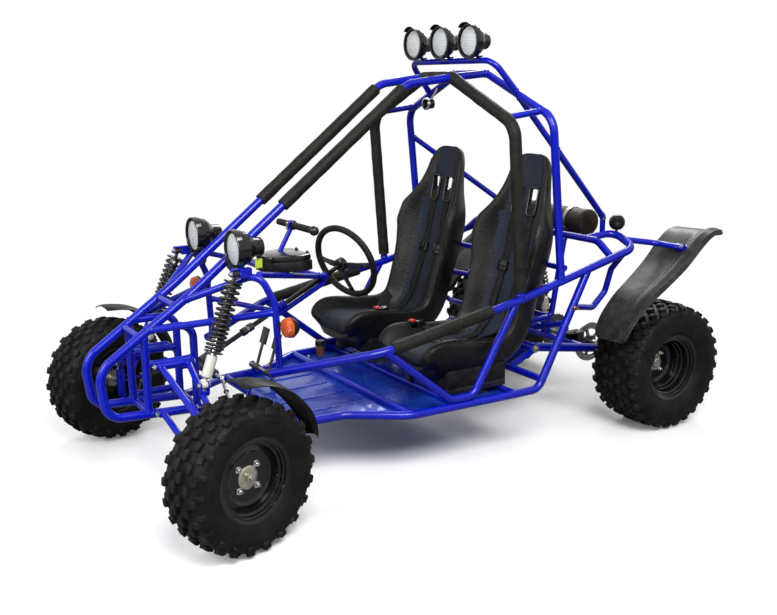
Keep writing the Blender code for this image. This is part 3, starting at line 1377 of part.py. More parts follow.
def headlamp(margin=0.0):
    """Left headlamp; with a margin it is the cutter for its stem."""
    profile = [(0.004, HEADLAMP_R), (-0.014, HEADLAMP_R), (-0.020, HEADLAMP_R - 0.012),
               (-0.056, HEADLAMP_R - 0.018), (-0.074, 0.026), (-0.108, 0.022)]
    profile = [(along, r + margin) for along, r in profile]
    return moved(turned(profile, TURN_X, 8), at(*HEADLAMP))


def roof_lamp(y):
    profile = [(0.010, ROOF_LAMP_R), (-0.006, ROOF_LAMP_R), (-0.040, 0.044), (-0.085, 0.022)]
    lamp = moved(turned(profile, TURN_X, 8), at(ROOF_LAMP_X, y, ROOF_LAMP_Z))
    stem_top = at(ROOF_LAMP_X - 0.020, y, ROOF_LAMP_Z - 0.046)
    foot_z = LIGHT_BAR_Z + THIN_R + GAP
    stem = rod(stem_top, at(LIGHT_BAR_X, y, foot_z + 0.003), 0.007, 6)
    pad = box(at(LIGHT_BAR_X - 0.012, y - 0.014, foot_z), at(LIGHT_BAR_X + 0.012, y + 0.014, foot_z + 0.006))
    return fuse(lamp, stem, pad)


def dash_pod():
    """Instrument pod on the dash tube, slotted over the handle post and the column stay."""
    base = DASH_Z + STAY_R + GAP
    outline = [(1.545, -0.075), (1.565, -0.040), (1.565, 0.040), (1.545, 0.075), (1.430, 0.100), (1.385, 0.080),
               (1.385, -0.080), (1.430, -0.100)]
    outline = [(x - MIDDLE_X, y) for x, y in outline]
    low = slab(outline, base, base + 0.045)
    lid = slab([(x, y * 0.94) for x, y in outline], base + 0.040, base + 0.062)
    return cut(fuse(low, lid), grown(handle_post(), HANDLE_POST_R), grown(column_stay(1), STAY_R))


def grab_handle():
    """Cross grip for the passenger, with a ball at its left end."""
    ball = [(-0.018, 0.010), (-0.008, 0.019), (0.008, 0.019), (0.018, 0.010)]
    grip = rod(at(HANDLE_X, -0.158, HANDLE_Z), at(HANDLE_X, 0.128, HANDLE_Z), HANDLE_R, 8)
    return fuse(grip, moved(turned(ball, TURN_Y, 8), at(HANDLE_X, 0.136, HANDLE_Z)))


def place(name, mesh, finish, pivot=(0, 0, 0)):
    """Name a piece and put its origin on its joint axis."""
    pivot = Vector(pivot)
    mesh.transform(Matrix.Translation(-pivot))
    return add(name, mesh, finish, pivot)


def place_pair(name, mesh, finish, pivot=(0, 0, 0)):
    twin = mirrored(mesh)
    pivot = Vector(pivot)
    place(name + "_left", mesh, finish, pivot)
    place(name + "_right", twin, finish, (pivot.x, -pivot.y, pivot.z))


def build():
    place("nose_frame", nose_frame(), "blue_paint")
    place("floor_frame", floor_frame(), "blue_paint")
    place_pair("side_frame", side_frame(), "blue_paint")
    place("roll_cage", roll_cage(), "blue_paint")
    place("rear_frame", rear_frame(), "blue_paint")

    nose = nose_route()
    place_pair("nose_sleeve", sleeve(nose, length_to(nose, 0.990), length_to(nose, 1.508)), "foam")
    rail = rail_route()
    place_pair("rail_sleeve", sleeve(rail, length_to(rail, 1.284), length_to(rail, 0.863)), "foam")

    hoop = front_hoop_route()
    sleeved = path_length(hoop)
    place("hoop_sleeve", hoop_sleeve(hoop, sleeved), "foam")

    round_off = math.cos(math.pi / WHEEL_SEGMENTS)
    front = tyre(FRONT_TYRE_R, FRONT_TYRE_W, FRONT_RIM_W)
    front_rim = rim(FRONT_RIM_W, FRONT_FACE, (SPINDLE_R + RUN_GAP) / round_off)
    rear = tyre(REAR_TYRE_R, REAR_TYRE_W, REAR_RIM_W)
    rear_rim = rim(REAR_RIM_W, REAR_FACE, (AXLE_R + GAP) / round_off)
    for side, word in ((1, "left"), (-1, "right")):
        hub = at(WHEELBASE, FRONT_TRACK / 2, FRONT_TYRE_R)
        pivot = at(WHEELBASE, side * KINGPIN_Y, FRONT_TYRE_R)
        centre = pivot + Matrix.Rotation(STEER_REST, 3, "Z") @ Vector((0, side * (FRONT_TRACK / 2 - KINGPIN_Y), 0))
        for name, shape, finish in (("tyre", front, "tyre"), ("rim", front_rim, "black_steel")):
            place("front_" + word + "_" + name, steered(moved(shape.copy(), hub), side), finish, centre)
        place("knuckle_" + word, steered(knuckle(), side), "blue_paint", pivot)
        place("front_fender_" + word, steered(front_fender(), side), "fender_plastic", pivot)
        hub = at(0, REAR_TRACK / 2, REAR_TYRE_R)
        for name, shape, finish in (("tyre", rear, "tyre"), ("rim", rear_rim, "black_steel")):
            mesh = moved(shape.copy(), hub)
            mesh = mesh if side > 0 else mirrored(mesh)
            place("rear_" + word + "_" + name, mesh, finish, (hub.x, side * hub.y, hub.z))
        rod_mesh, inner = tie_rod(side)
        place("tie_rod_" + word, rod_mesh, "steel", inner)

    place_pair("upper_arm", arm(UPPER_PIVOT_Z), "blue_paint", at(WHEELBASE, PIVOT_Y, UPPER_PIVOT_Z))
    place_pair("lower_arm", arm(LOWER_PIVOT_Z), "blue_paint", at(WHEELBASE, PIVOT_Y, LOWER_PIVOT_Z))
    place_pair("upright", upright(), "blue_paint", at(WHEELBASE, PIVOT_Y + ARM_REACH, LOWER_PIVOT_Z - ARM_DROP))

    top, base, axis = shock_axis()
    length = (base - top).length
    place_pair("front_shock_body", shock_body(top, base, SHOCK_EYE_HALF - RUN_GAP, 0.200), "black_steel", top)
    place_pair("front_shock_rod", shock_rod(top, base, SHOCK_EYE_HALF - GAP, 0.150, 0.255), "cream_steel", top)
    spring_start = top + axis * (0.032 + GAP)
    place_pair("front_spring", spring(spring_start, axis, SPRING_LENGTH, SPRING_TURNS), "black_steel", top)

    top = at(REAR_SHOCK_TOP[0], 0, REAR_SHOCK_TOP[1])
    base = at(REAR_SHOCK_BASE[0], 0, REAR_SHOCK_BASE[1])
    axis = (base - top).normalized()
    place("rear_shock_body", shock_body(top, base, 0.0115, 0.190), "black_steel", top)
    place("rear_shock_rod", shock_rod(top, base, 0.0115, 0.135, 0.240), "cream_steel", top)
    place("rear_spring", spring(top + axis * (0.032 + GAP), axis, 0.195, REAR_SPRING_TURNS), "black_steel", top)

    wheel, hub = steering_wheel()
    place("steering_wheel", wheel, "black_plastic", hub)
    place("steering_rack", rack(), "steel", at(RACK_X, 0, RACK_Z))
    for name, y in (("brake_pedal", BRAKE_PEDAL_Y), ("throttle_pedal", THROTTLE_PEDAL_Y)):
        mesh, pivot = pedal(y)
        place(name, mesh, "black_steel", pivot)

    seat_mesh, pocket = seat()
    place_pair("buckle_button", buckle_button(pocket), "red_plastic", pocket)
    place_pair("seat", seat_mesh, "vinyl")
    place("swing_arm", swing_arm(), "black_steel", at(SWING_PIVOT[0], 0, SWING_PIVOT[1]))
    place("rear_axle", rear_axle(), "steel", at(0, 0, REAR_TYRE_R))
    place("engine", engine(), "engine")
    place_pair("rear_fender", rear_fender(), "fender_plastic")
    place_pair("headlamp", headlamp(), "black_plastic")
    for name, y in (("left", ROOF_LAMP_STEP), ("middle", 0.0), ("right", -ROOF_LAMP_STEP)):
        place("roof_lamp_" + name, roof_lamp(y), "black_plastic")
    place("dash_pod", dash_pod(), "black_plastic")
    place("grab_handle", grab_handle(), "black_plastic")


def main():
    clear_scene()
    for name, (colour, roughness, metallic) in FINISHES.items():
        materials[name] = paint(name, colour, roughness, metallic)
    build()


main()
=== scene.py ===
# Looks of the two-seat off-road kart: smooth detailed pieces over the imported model, in its own frame.
# Units are metres, +X points to the nose, +Y to the left-hand side and +Z up.

import math

import bmesh
import bpy
from mathutils import Matrix, Quaternion, Vector


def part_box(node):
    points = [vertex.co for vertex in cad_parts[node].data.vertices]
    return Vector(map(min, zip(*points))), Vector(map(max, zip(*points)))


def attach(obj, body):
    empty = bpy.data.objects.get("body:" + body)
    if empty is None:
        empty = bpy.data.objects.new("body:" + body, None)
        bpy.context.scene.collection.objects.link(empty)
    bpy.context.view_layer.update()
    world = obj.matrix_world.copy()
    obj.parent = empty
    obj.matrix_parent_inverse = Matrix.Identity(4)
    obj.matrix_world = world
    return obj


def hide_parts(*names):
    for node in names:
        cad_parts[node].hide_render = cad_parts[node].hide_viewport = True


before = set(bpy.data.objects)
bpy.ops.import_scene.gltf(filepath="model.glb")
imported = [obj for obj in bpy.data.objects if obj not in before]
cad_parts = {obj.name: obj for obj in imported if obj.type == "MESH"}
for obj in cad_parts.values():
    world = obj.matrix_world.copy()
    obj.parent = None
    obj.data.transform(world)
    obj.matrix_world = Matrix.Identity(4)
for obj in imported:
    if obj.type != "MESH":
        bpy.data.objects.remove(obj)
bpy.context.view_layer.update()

# Photograph and camera, in pixels, metres and degrees
PHOTO_WIDTH = 777
FOCAL_PIXELS = 964.0
SENSOR_MM = 36.0
CAMERA_PLACE = (2.047, 3.247, 1.453)
CAMERA_YAW = 237.94
CAMERA_PITCH = -13.47
CAMERA_ROLL = -0.61

# Sizes, most of them shared with the CAD model. Where a size has two or three numbers and no comment
# of its own, the first is a station forward of the rear axle.

# Wheels
WHEELBASE = 1.963
FRONT_TRACK = 1.251
REAR_TRACK = 1.050
FRONT_TYRE_R = 0.250
FRONT_TYRE_W = 0.180
REAR_TYRE_R = 0.265
REAR_TYRE_W = 0.250
RIM_R = 0.132
RIM_WALL = 0.0035
WHEEL_NUT_CIRCLE = 0.050
FRONT_RIM_W = 0.150
REAR_RIM_W = 0.205
HUB_R = 0.040
HUB_DEPTH = 0.050
FACE_T = 0.008
FRONT_FACE = 0.024
REAR_FACE = -0.012
WHEEL_NUT_T = 0.014
AXLE_R = 0.0155
STEER_REST = math.radians(15.5)

# Tubes and foam
TUBE_R = 0.016
THIN_R = 0.0125
STAY_R = 0.0110
FOAM_R = 0.024
FOAM_STEP = 0.012
# Stations where the nose's foam starts and ends, and the bare length at each end of the hoop
NOSE_FOAM = (0.990, 1.508)
HOOP_BARE = 0.030

# Station of the frame's own zero
MIDDLE_X = -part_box("rear_left_tyre")[0].x - REAR_TYRE_R

# Nose tubes: stations and heights
ROOF_Y = 0.098
NOSE_Y = 0.086
NOSE_X = 2.215
NOSE_TOP = (0.965, 1.425)
NOSE_KNEE = (1.860, 0.730)
NOSE_FRONT_Z = 0.490
NOSE_CHIN = (2.195, 0.320)
NOSE_FLOOR = (1.850, 0.298)

# Floor tubes: stations and half widths
FLOOR_Z = 0.255
FLOOR_FRONT = (1.600, 0.325)
FLOOR_WAIST = (1.410, 0.340)
FLOOR_FLARE = (1.215, 0.480)
FLOOR_REAR = (0.630, 0.505)
PAN_TOP = FLOOR_Z - TUBE_R + 0.006
PAN_REAR_X = 0.700
REAR_CROSS_X = 0.606

# Side rails and cowl: stations and heights
RISER_X = 0.376
RAIL_Y = 0.490
POST_Y = 0.310
RAIL_FOOT = (1.645, 0.452)
RAIL_BEND = (1.330, 0.513)
RAIL_SEAT = (0.714, 0.622)
RAIL_TAIL = (0.120, 0.762)
POST_CORNER = (1.705, 0.808)
POST_MIDDLE = (1.655, 0.700)

# Roll cage, harness bar, light bar and rear cross tube
FRONT_HOOP_X = 0.760
FRONT_HOOP_TOP = 1.447
FRONT_HOOP_SHOULDER = 1.278
REAR_HOOP_X = 0.588
REAR_HOOP_FOOT_X = 0.514
REAR_HOOP_TOP = 1.462
REAR_HOOP_SHOULDER = 1.298
HOOP_Y = 0.487
HOOP_TOP_Y = 0.100
HOOP_BENDS = (0.085, 0.07, 0.07, 0.085)
HARNESS_X = 0.495
HARNESS_Z = 0.720
LIGHT_BAR_X = 0.700
LIGHT_BAR_Z = 1.510
LIGHT_BAR_Y = 0.280
CROSS_TUBE_X = 0.240
CROSS_TUBE_Z = 0.792

# Bulkhead, front arms and steering
BULKHEAD_FRONT_X = 2.050
BULKHEAD_REAR_X = 1.872
BULKHEAD_TOP_Z = 0.612
PIVOT_Y = 0.130
UPPER_PIVOT_Z = 0.490
LOWER_PIVOT_Z = 0.320
ARM_DROP = 0.155
ARM_REACH = 0.375
ARM_FRONT_X = 2.012
ARM_REAR_X = 1.912
ARM_R = 0.0115
BUSH_R = 0.0145
BUSH_HALF = 0.015
KINGPIN_Y = 0.543
STEER_ARM = 0.100
RACK_SHIFT = -STEER_ARM * math.sin(STEER_REST)
RACK_X = 1.795
RACK_Z = 0.410
RACK_HALF = 0.160
RACK_R = 0.009
TIE_ROD_DROP = 0.013
TIE_BALL_HALF = 0.0108

# Shocks, springs and swing arm
SHOCK_TOP = (1.780, 0.275, 0.812)
SHOCK_BASE = (1.923, 0.300, 0.452)
SPRING_R = 0.0325
SPRING_WIRE_R = 0.0045
SWING_PIVOT = (0.470, 0.345)
SWING_Y = 0.262
REAR_SHOCK_TOP = (0.225, 0.738)
REAR_SHOCK_BASE = (0.150, 0.390)
# For each kind of shock: half width of its eyes, length of its body, of its leg and of its rod
FRONT_SHOCK = (0.0103, 0.237, 0.105, 0.250)
REAR_SHOCK = (0.0115, 0.215, 0.080, 0.230)
SPRING_START = 0.0325
SPRING_BORE = 0.0194
FRONT_SPRING_LEN = 0.238
FRONT_SPRING_TURNS = 14
REAR_SPRING_TURNS = 9
PERCH_T = 0.006

# Seats, steering wheel, pedals and buckle
SEAT_Y = 0.285
SLOT_Y = 0.048
WHEEL_HUB = (1.045, -0.270, 0.690)
PINION = (1.795, -0.040, 0.434)
STEERING_WHEEL_R = 0.155
STEERING_GRIP_R = 0.0125
WHEEL_STEPS = 72
COLUMN_R = 0.010
# Distances of the two column bearings from the hub
BEARING_RUNS = (0.150, 0.400)
BRAKE_PEDAL_Y = -0.150
THROTTLE_PEDAL_Y = -0.262
PEDAL_X = 1.480
PEDAL_Z = 0.300
PEDAL_LEAN = 0.042
PEDAL_RISE = 0.125
PEDAL_POST_Y = 0.088
BUCKLE = (0.954, 0.120, 0.492)
BUCKLE_Y = SEAT_Y - BUCKLE[1] * 1.25

# Engine cradle, muffler and brake disc
CRADLE_Y = 0.205
CRADLE_Z = 0.440
ENGINE_BASE = CRADLE_Z + THIN_R + 0.0006
MUFFLER_X = 0.145
MUFFLER_Z = 0.840
MUFFLER_R = 0.056
DISC_Y = 0.130
SPROCKET_Y = -0.101
DISC_R = 0.090

# Front fenders, with angles in degrees round the wheel
FENDER_IN_Y = 0.560
FENDER_OUT_Y = 0.690
FENDER_START = 88
FENDER_END = 172
FENDER_STAY_AT = 120
FENDER_RADIUS = FRONT_TYRE_R + 0.046

# Dash pod, grab handle and lamps
DASH_X = 1.500
DASH_Z = 0.739
HANDLE_X = 1.405
HANDLE_Z = 0.906
HANDLE_R = 0.0135
HEADLAMP = (1.750, 0.187, 0.880)
HEADLAMP_R = 0.068
ROOF_LAMP_R = 0.066
ROOF_LAMP_X = 0.745
ROOF_LAMP_Z = 1.582
ROOF_LAMP_STEP = 0.190

# Rear fender from front to back: stations and heights
REAR_FENDER_PATH = [(0.345, 0.430), (0.300, 0.500), (0.215, 0.575), (0.110, 0.640), (0.020, 0.700),
                    (-0.060, 0.770), (-0.125, 0.815), (-0.190, 0.822), (-0.225, 0.800)]
# At each of its points: half width, and shift outward
REAR_FENDER_HALVES = [0.088, 0.098, 0.106, 0.112, 0.119, 0.124, 0.124, 0.118, 0.104]
REAR_FENDER_SHIFTS = [0.030, 0.022, 0.015, 0.009, 0.004, 0.0, 0.0, 0.0, 0.0]
# Its section from the inner edge to the outer one: share of the half width, and height
REAR_FENDER_LIFT = [(-1.0, -0.016), (-0.92, -0.004), (0.35, 0.001), (0.60, 0.013), (0.92, 0.009),
                    (1.0, -0.004)]

ACROSS = Vector((0, 1, 0))
UP = Vector((0, 0, 1))
FORWARD = Vector((1, 0, 0))


def at(station, y, z):
    """World place of a point given by its station forward of the rear axle."""
    return Vector((station - MIDDLE_X, y, z))


# Materials

def add_node(tree, kind, **values):
    """A node with its settings and the values of its open inputs."""
    node = tree.nodes.new(kind)
    for key, value in values.items():
        if hasattr(node, key):
            setattr(node, key, value)
        else:
            node.inputs[key.replace("_", " ")].default_value = value
    return node


class Nodes:
    """Short calls for the nodes of one material."""

    def __init__(self, name):
        self.material = bpy.data.materials.new(name)
        self.material.use_nodes = True
        self.tree = self.material.node_tree
        self.shader = self.tree.nodes["Principled BSDF"]
        self.place = self.new("ShaderNodeTexCoord").outputs["Object"]

    def new(self, kind, **values):
        return add_node(self.tree, kind, **values)

    def link(self, source, target):
        self.tree.links.new(source, target)

    def pattern(self, kind, output, **values):
        """A texture laid out in the piece's own coordinates."""
        node = self.new(kind, **values)
        self.link(self.place, node.inputs["Vector"])
        return node.outputs[output]

    def noise(self, scale, detail=3.0, roughness=0.55):
        return self.pattern("ShaderNodeTexNoise", "Fac", Scale=scale, Detail=detail, Roughness=roughness)

    def cells(self, scale, feature="F1"):
        return self.pattern("ShaderNodeTexVoronoi", "Distance", feature=feature, Scale=scale)

    def waves(self, direction, **values):
        return self.pattern("ShaderNodeTexWave", "Fac", bands_direction=direction, **values)

    def ramp(self, source, stops):
        """Colour from a value, through stops of (position, colour)."""
        node = self.new("ShaderNodeValToRGB")
        elements = node.color_ramp.elements
        while len(elements) < len(stops):
            elements.new(0.5)
        for element, (position, colour) in zip(elements, stops):
            element.position = position
            element.color = (*colour, 1.0)
        self.link(source, node.inputs["Fac"])
        return node.outputs["Color"]

    def span(self, source, low, high, from_low=0.0, from_high=1.0):
        """Stretch a value from one range to another."""
        node = self.new("ShaderNodeMapRange", From_Min=from_low, From_Max=from_high, To_Min=low,
                        To_Max=high)
        self.link(source, node.inputs["Value"])
        return node.outputs["Result"]

    def mask(self, source, low, high):
        """Zero below the low value and one above the high value."""
        return self.span(source, 0.0, 1.0, low, high)

    def math(self, operation, first, second):
        """One step of arithmetic on two values or numbers."""
        node = self.new("ShaderNodeMath", operation=operation)
        for slot, value in zip(node.inputs, (first, second)):
            if isinstance(value, (int, float)):
                slot.default_value = value
            else:
                self.link(value, slot)
        return node.outputs["Value"]

    def mix(self, factor, first, second):
        """Blend of two colours by a factor."""
        node = self.new("ShaderNodeMix", data_type="RGBA")
        if isinstance(factor, (int, float)):
            node.inputs["Factor"].default_value = factor
        else:
            self.link(factor, node.inputs["Factor"])
        for name, value in (("A", first), ("B", second)):
            socket = [s for s in node.inputs if s.name == name and s.type == "RGBA"][0]
            if isinstance(value, tuple):
                socket.default_value = (*value, 1.0)
            else:
                self.link(value, socket)
        return [s for s in node.outputs if s.type == "RGBA"][0]

    def edges(self, low, high):
        """Where the surface is sharp, from pointiness."""
        geometry = self.new("ShaderNodeNewGeometry")
        return self.mask(geometry.outputs["Pointiness"], low, high)

    def colour(self, source):
        if isinstance(source, tuple):
            self.shader.inputs["Base Color"].default_value = (*source, 1.0)
        else:
            self.link(source, self.shader.inputs["Base Color"])

    def set(self, **values):
        for key, value in values.items():
            self.shader.inputs[key.replace("_", " ")].default_value = value

    def rough(self, scale, detail, low, high):
        """Roughness that wanders between two values."""
        wander = self.span(self.noise(scale, detail), low, high, 0.3, 0.7)
        self.link(wander, self.shader.inputs["Roughness"])

    def bump(self, height, strength, distance):
        """Raise the surface by a height in metres."""
        node = self.new("ShaderNodeBump", Strength=strength, Distance=distance)
        self.link(height, node.inputs["Height"])
        self.link(node.outputs["Normal"], self.shader.inputs["Normal"])


def painted(name, deep, bright, chip, metallic=0.0, low=0.22, high=0.36):
    """Glossy powder coat: two tones, orange peel, dust in the roughness and worn edges."""
    n = Nodes(name)
    tone = n.mix(n.mask(n.noise(3.5), 0.3, 0.7), deep, bright)
    worn = n.math("MULTIPLY", n.edges(0.60, 0.72), n.mask(n.noise(90.0, 4.0), 0.58, 0.70))
    n.colour(n.mix(n.math("MULTIPLY", worn, 0.5), tone, chip))
    n.rough(24.0, 5.0, low, high)
    n.set(Metallic=metallic, Coat_Weight=0.28, Coat_Roughness=0.05, Specular_IOR_Level=0.20)
    n.bump(n.noise(360.0, 2.0), 0.06, 0.0003)
    return n.material


def foam_finish():
    """Closed-cell foam: olive black, fine pores and soft dents."""
    n = Nodes("foam_sleeve")
    n.colour(n.ramp(n.noise(30.0, 4.0), [(0.25, (0.005, 0.0055, 0.0045)), (0.75, (0.016, 0.017, 0.013))]))
    n.rough(160.0, 3.0, 0.38, 0.60)
    n.set(Specular_IOR_Level=0.12)
    pores = n.cells(900.0)
    n.bump(n.math("ADD", n.math("MULTIPLY", pores, 0.5), n.noise(45.0, 2.0)), 0.5, 0.0012)
    return n.material


def rubber_finish(name, dark, dusty, reach):
    """Tyre rubber, dusty in patches and finely speckled."""
    n = Nodes(name)
    dust = n.math("MULTIPLY", n.mask(n.noise(16.0, 6.0), 0.38, 0.72), reach)
    n.colour(n.mix(dust, dark, dusty))
    n.rough(60.0, 4.0, 0.42, 0.70)
    n.set(Specular_IOR_Level=0.12)
    n.bump(n.noise(700.0, 3.0), 0.35, 0.0006)
    return n.material


def metal_finish(name, dark, light, low, high, scale=60.0, bump=0.15):
    """Bare or plated metal with smears and fine grain."""
    n = Nodes(name)
    n.colour(n.ramp(n.noise(scale, 5.0), [(0.25, dark), (0.75, light)]))
    n.rough(scale * 1.7, 4.0, low, high)
    n.set(Metallic=1.0)
    n.bump(n.noise(scale * 12, 2.0), bump, 0.0004)
    return n.material


def cast_finish(name, dark, light, metallic=0.6):
    """Sand-cast metal: grainy and oily."""
    n = Nodes(name)
    n.colour(n.ramp(n.noise(34.0, 6.0), [(0.3, dark), (0.7, light)]))
    n.rough(50.0, 4.0, 0.38, 0.68)
    n.set(Metallic=metallic)
    n.bump(n.math("ADD", n.noise(420.0, 4.0), n.math("MULTIPLY", n.cells(600.0), 0.4)), 0.4, 0.0008)
    return n.material


def plastic_finish(name, dark, light, low, high, grain=650.0, strength=0.25, coat=0.0):
    """Moulded plastic with a fine texture and scuffs."""
    n = Nodes(name)
    scuffs = n.mask(n.noise(28.0, 8.0, 0.7), 0.46, 0.72)
    n.colour(n.mix(scuffs, dark, light))
    n.rough(40.0, 5.0, low, high)
    n.set(Coat_Weight=coat, Coat_Roughness=0.08, Specular_IOR_Level=0.16)
    n.bump(n.cells(grain), strength, 0.0005)
    return n.material


def vinyl_finish():
    """Upholstery vinyl: pebble grain with pressed flecks and paler rubbed patches."""
    n = Nodes("seat_vinyl")
    rubbed = n.mask(n.noise(9.0, 4.0), 0.40, 0.70)
    n.colour(n.mix(rubbed, (0.003, 0.0032, 0.003), (0.010, 0.0105, 0.009)))
    n.rough(26.0, 4.0, 0.24, 0.40)
    n.set(Specular_IOR_Level=0.18)
    grain = n.cells(230.0, "SMOOTH_F1")
    flecks = n.cells(520.0)
    creases = n.noise(38.0, 3.0)
    height = n.math("ADD", n.math("MULTIPLY", grain, 1.2), n.math("MULTIPLY", flecks, 0.4))
    n.bump(n.math("ADD", height, n.math("MULTIPLY", creases, 0.8)), 0.55, 0.0016)
    return n.material


def fabric_finish():
    """Seat centre cloth: a slanted rib weave in blue-grey with paler worn places."""
    n = Nodes("seat_fabric")
    ribs = n.waves("DIAGONAL", Scale=62.0, Distortion=0.8, Detail=1.5)
    worn = n.mask(n.noise(11.0, 4.0), 0.35, 0.70)
    tone = n.mix(worn, (0.007, 0.009, 0.015), (0.016, 0.021, 0.034))
    n.colour(n.mix(n.span(ribs, 0.0, 0.5), tone, (0.030, 0.038, 0.055)))
    n.rough(60.0, 4.0, 0.45, 0.65)
    n.set(Specular_IOR_Level=0.12)
    n.bump(n.math("ADD", ribs, n.math("MULTIPLY", n.cells(420.0), 0.5)), 0.6, 0.0012)
    return n.material


def webbing_finish():
    """Harness webbing: a tight twill in two directions."""
    n = Nodes("webbing")
    warp, weft = (n.waves(direction, Scale=260.0, Distortion=0.6, Detail=1.0) for direction in ("X", "Z"))
    n.colour(n.ramp(n.noise(60.0, 3.0), [(0.3, (0.008, 0.008, 0.008)), (0.7, (0.020, 0.020, 0.019))]))
    n.rough(200.0, 3.0, 0.6, 0.85)
    n.set(Specular_IOR_Level=0.12)
    n.bump(n.math("MULTIPLY", warp, weft), 0.6, 0.0008)
    return n.material


def glass_finish(name, tint, roughness, ribs):
    """Lens plastic, clear or coloured, with moulded ribs of a scale; on the clear lens the pale tint is
    painted reflection.
    """
    n = Nodes(name)
    paler = tuple(min(1.0, c * 1.08 + 0.004) for c in tint)
    n.colour(n.mix(n.mask(n.noise(14.0), 0.3, 0.7), tint, paler))
    n.rough(80.0, 3.0, roughness, roughness + 0.05)
    n.set(Transmission_Weight=0.40, IOR=1.45)
    n.bump(n.waves("Z", Scale=ribs), 0.5, 0.0015)
    return n.material


def heat_finish():
    """Muffler shell: brown heat tint over dark paint."""
    n = Nodes("muffler_shell")
    tints = [(0.30, (0.008, 0.007, 0.006)), (0.55, (0.022, 0.011, 0.006)), (0.75, (0.060, 0.026, 0.010))]
    n.colour(n.ramp(n.noise(18.0, 7.0, 0.65), tints))
    n.rough(70.0, 5.0, 0.45, 0.8)
    n.set(Metallic=0.5)
    n.bump(n.noise(300.0, 5.0), 0.4, 0.0008)
    return n.material


MATERIALS = {
    "blue": painted("blue_frame", (0.0008, 0.0040, 0.26), (0.0012, 0.0080, 0.38), (0.05, 0.06, 0.10)),
    "pan": painted("blue_pan", (0.002, 0.014, 0.26), (0.010, 0.055, 0.42), (0.10, 0.12, 0.18), 0.25, 0.20,
                   0.40),
    "foam": foam_finish(),
    "tread": rubber_finish("tyre_tread", (0.004, 0.004, 0.004), (0.020, 0.020, 0.017), 0.6),
    "sidewall": rubber_finish("tyre_wall", (0.003, 0.003, 0.003), (0.013, 0.0125, 0.011), 0.6),
    "rim": painted("rim_enamel", (0.002, 0.002, 0.003), (0.005, 0.005, 0.006), (0.05, 0.05, 0.05), 0.0,
                   0.14, 0.26),
    "steel": metal_finish("zinc_steel", (0.26, 0.26, 0.26), (0.48, 0.48, 0.46), 0.26, 0.46),
    "hub": metal_finish("hub_zinc", (0.32, 0.30, 0.23), (0.56, 0.54, 0.45), 0.26, 0.46),
    "chrome": metal_finish("chrome", (0.55, 0.56, 0.58), (0.72, 0.73, 0.75), 0.06, 0.16, 30.0, 0.03),
    "dark_steel": metal_finish("dark_steel", (0.05, 0.05, 0.055), (0.12, 0.12, 0.125), 0.30, 0.50),
    "brass": metal_finish("brass", (0.42, 0.27, 0.08), (0.66, 0.46, 0.16), 0.25, 0.45),
    "cream": painted("cream_enamel", (0.46, 0.45, 0.41), (0.60, 0.59, 0.54), (0.20, 0.19, 0.18)),
    "spring": painted("black_spring", (0.008, 0.008, 0.009), (0.020, 0.020, 0.022), (0.10, 0.10, 0.10)),
    "vinyl": vinyl_finish(),
    "piping": plastic_finish("seat_piping", (0.014, 0.014, 0.016), (0.040, 0.041, 0.045), 0.32, 0.50,
                             900.0, 0.1),
    "webbing": webbing_finish(),
    "plastic": plastic_finish("black_plastic", (0.005, 0.005, 0.006), (0.016, 0.016, 0.016), 0.30, 0.50),
    "gloss": plastic_finish("gloss_black", (0.003, 0.003, 0.003), (0.009, 0.009, 0.009), 0.12, 0.28,
                            300.0, 0.03, 0.5),
    "fender": plastic_finish("fender_plastic", (0.012, 0.012, 0.011), (0.036, 0.036, 0.030), 0.30, 0.46,
                             420.0, 0.12),
    "dark_fender": plastic_finish("dark_fender_plastic", (0.0015, 0.0015, 0.0015), (0.006, 0.006, 0.005),
                                  0.34, 0.52, 420.0, 0.0),
    "rubber": plastic_finish("moulded_rubber", (0.006, 0.006, 0.006), (0.018, 0.018, 0.017), 0.42, 0.62,
                             500.0, 0.3),
    "engine": cast_finish("cast_alloy", (0.022, 0.022, 0.024), (0.070, 0.070, 0.073)),
    "black_cast": cast_finish("black_casting", (0.006, 0.006, 0.006), (0.020, 0.020, 0.020), 0.2),
    "muffler": heat_finish(),
    "red": plastic_finish("red_plastic", (0.48, 0.018, 0.010), (0.62, 0.050, 0.030), 0.25, 0.42, 500.0,
                          0.05, 0.3),
    "brown": plastic_finish("brown_plastic", (0.085, 0.030, 0.014), (0.15, 0.065, 0.035), 0.25, 0.45,
                            500.0, 0.05, 0.3),
    "lime": plastic_finish("lime_tag", (0.46, 0.52, 0.05), (0.60, 0.66, 0.14), 0.35, 0.55, 500.0, 0.05),
    "amber": glass_finish("amber_lens", (0.72, 0.10, 0.004), 0.06, 90.0),
    # The clear lens's pale colour is painted reflection: it stands in for the bright chrome bowl seen
    # through the lens.
    "lens": glass_finish("pale_lens_painted_reflection", (0.80, 0.83, 0.85), 0.05, 55.0),
    "seat_fabric": fabric_finish(),
}


# Geometry

def spoke(angle):
    """Direction square to the axles, turned up from the nose by an angle."""
    return Vector((math.cos(angle), 0, math.sin(angle)))


def spokes(count):
    """Spokes spread evenly round an axle."""
    return [spoke(2 * math.pi * k / count) for k in range(count)]


def beside(out):
    """Direction round the axle at a spoke."""
    return Vector((-out.z, 0, out.x))


def mirrored(point):
    """The same place on the kart's other side."""
    return Vector((point.x, -point.y, point.z))


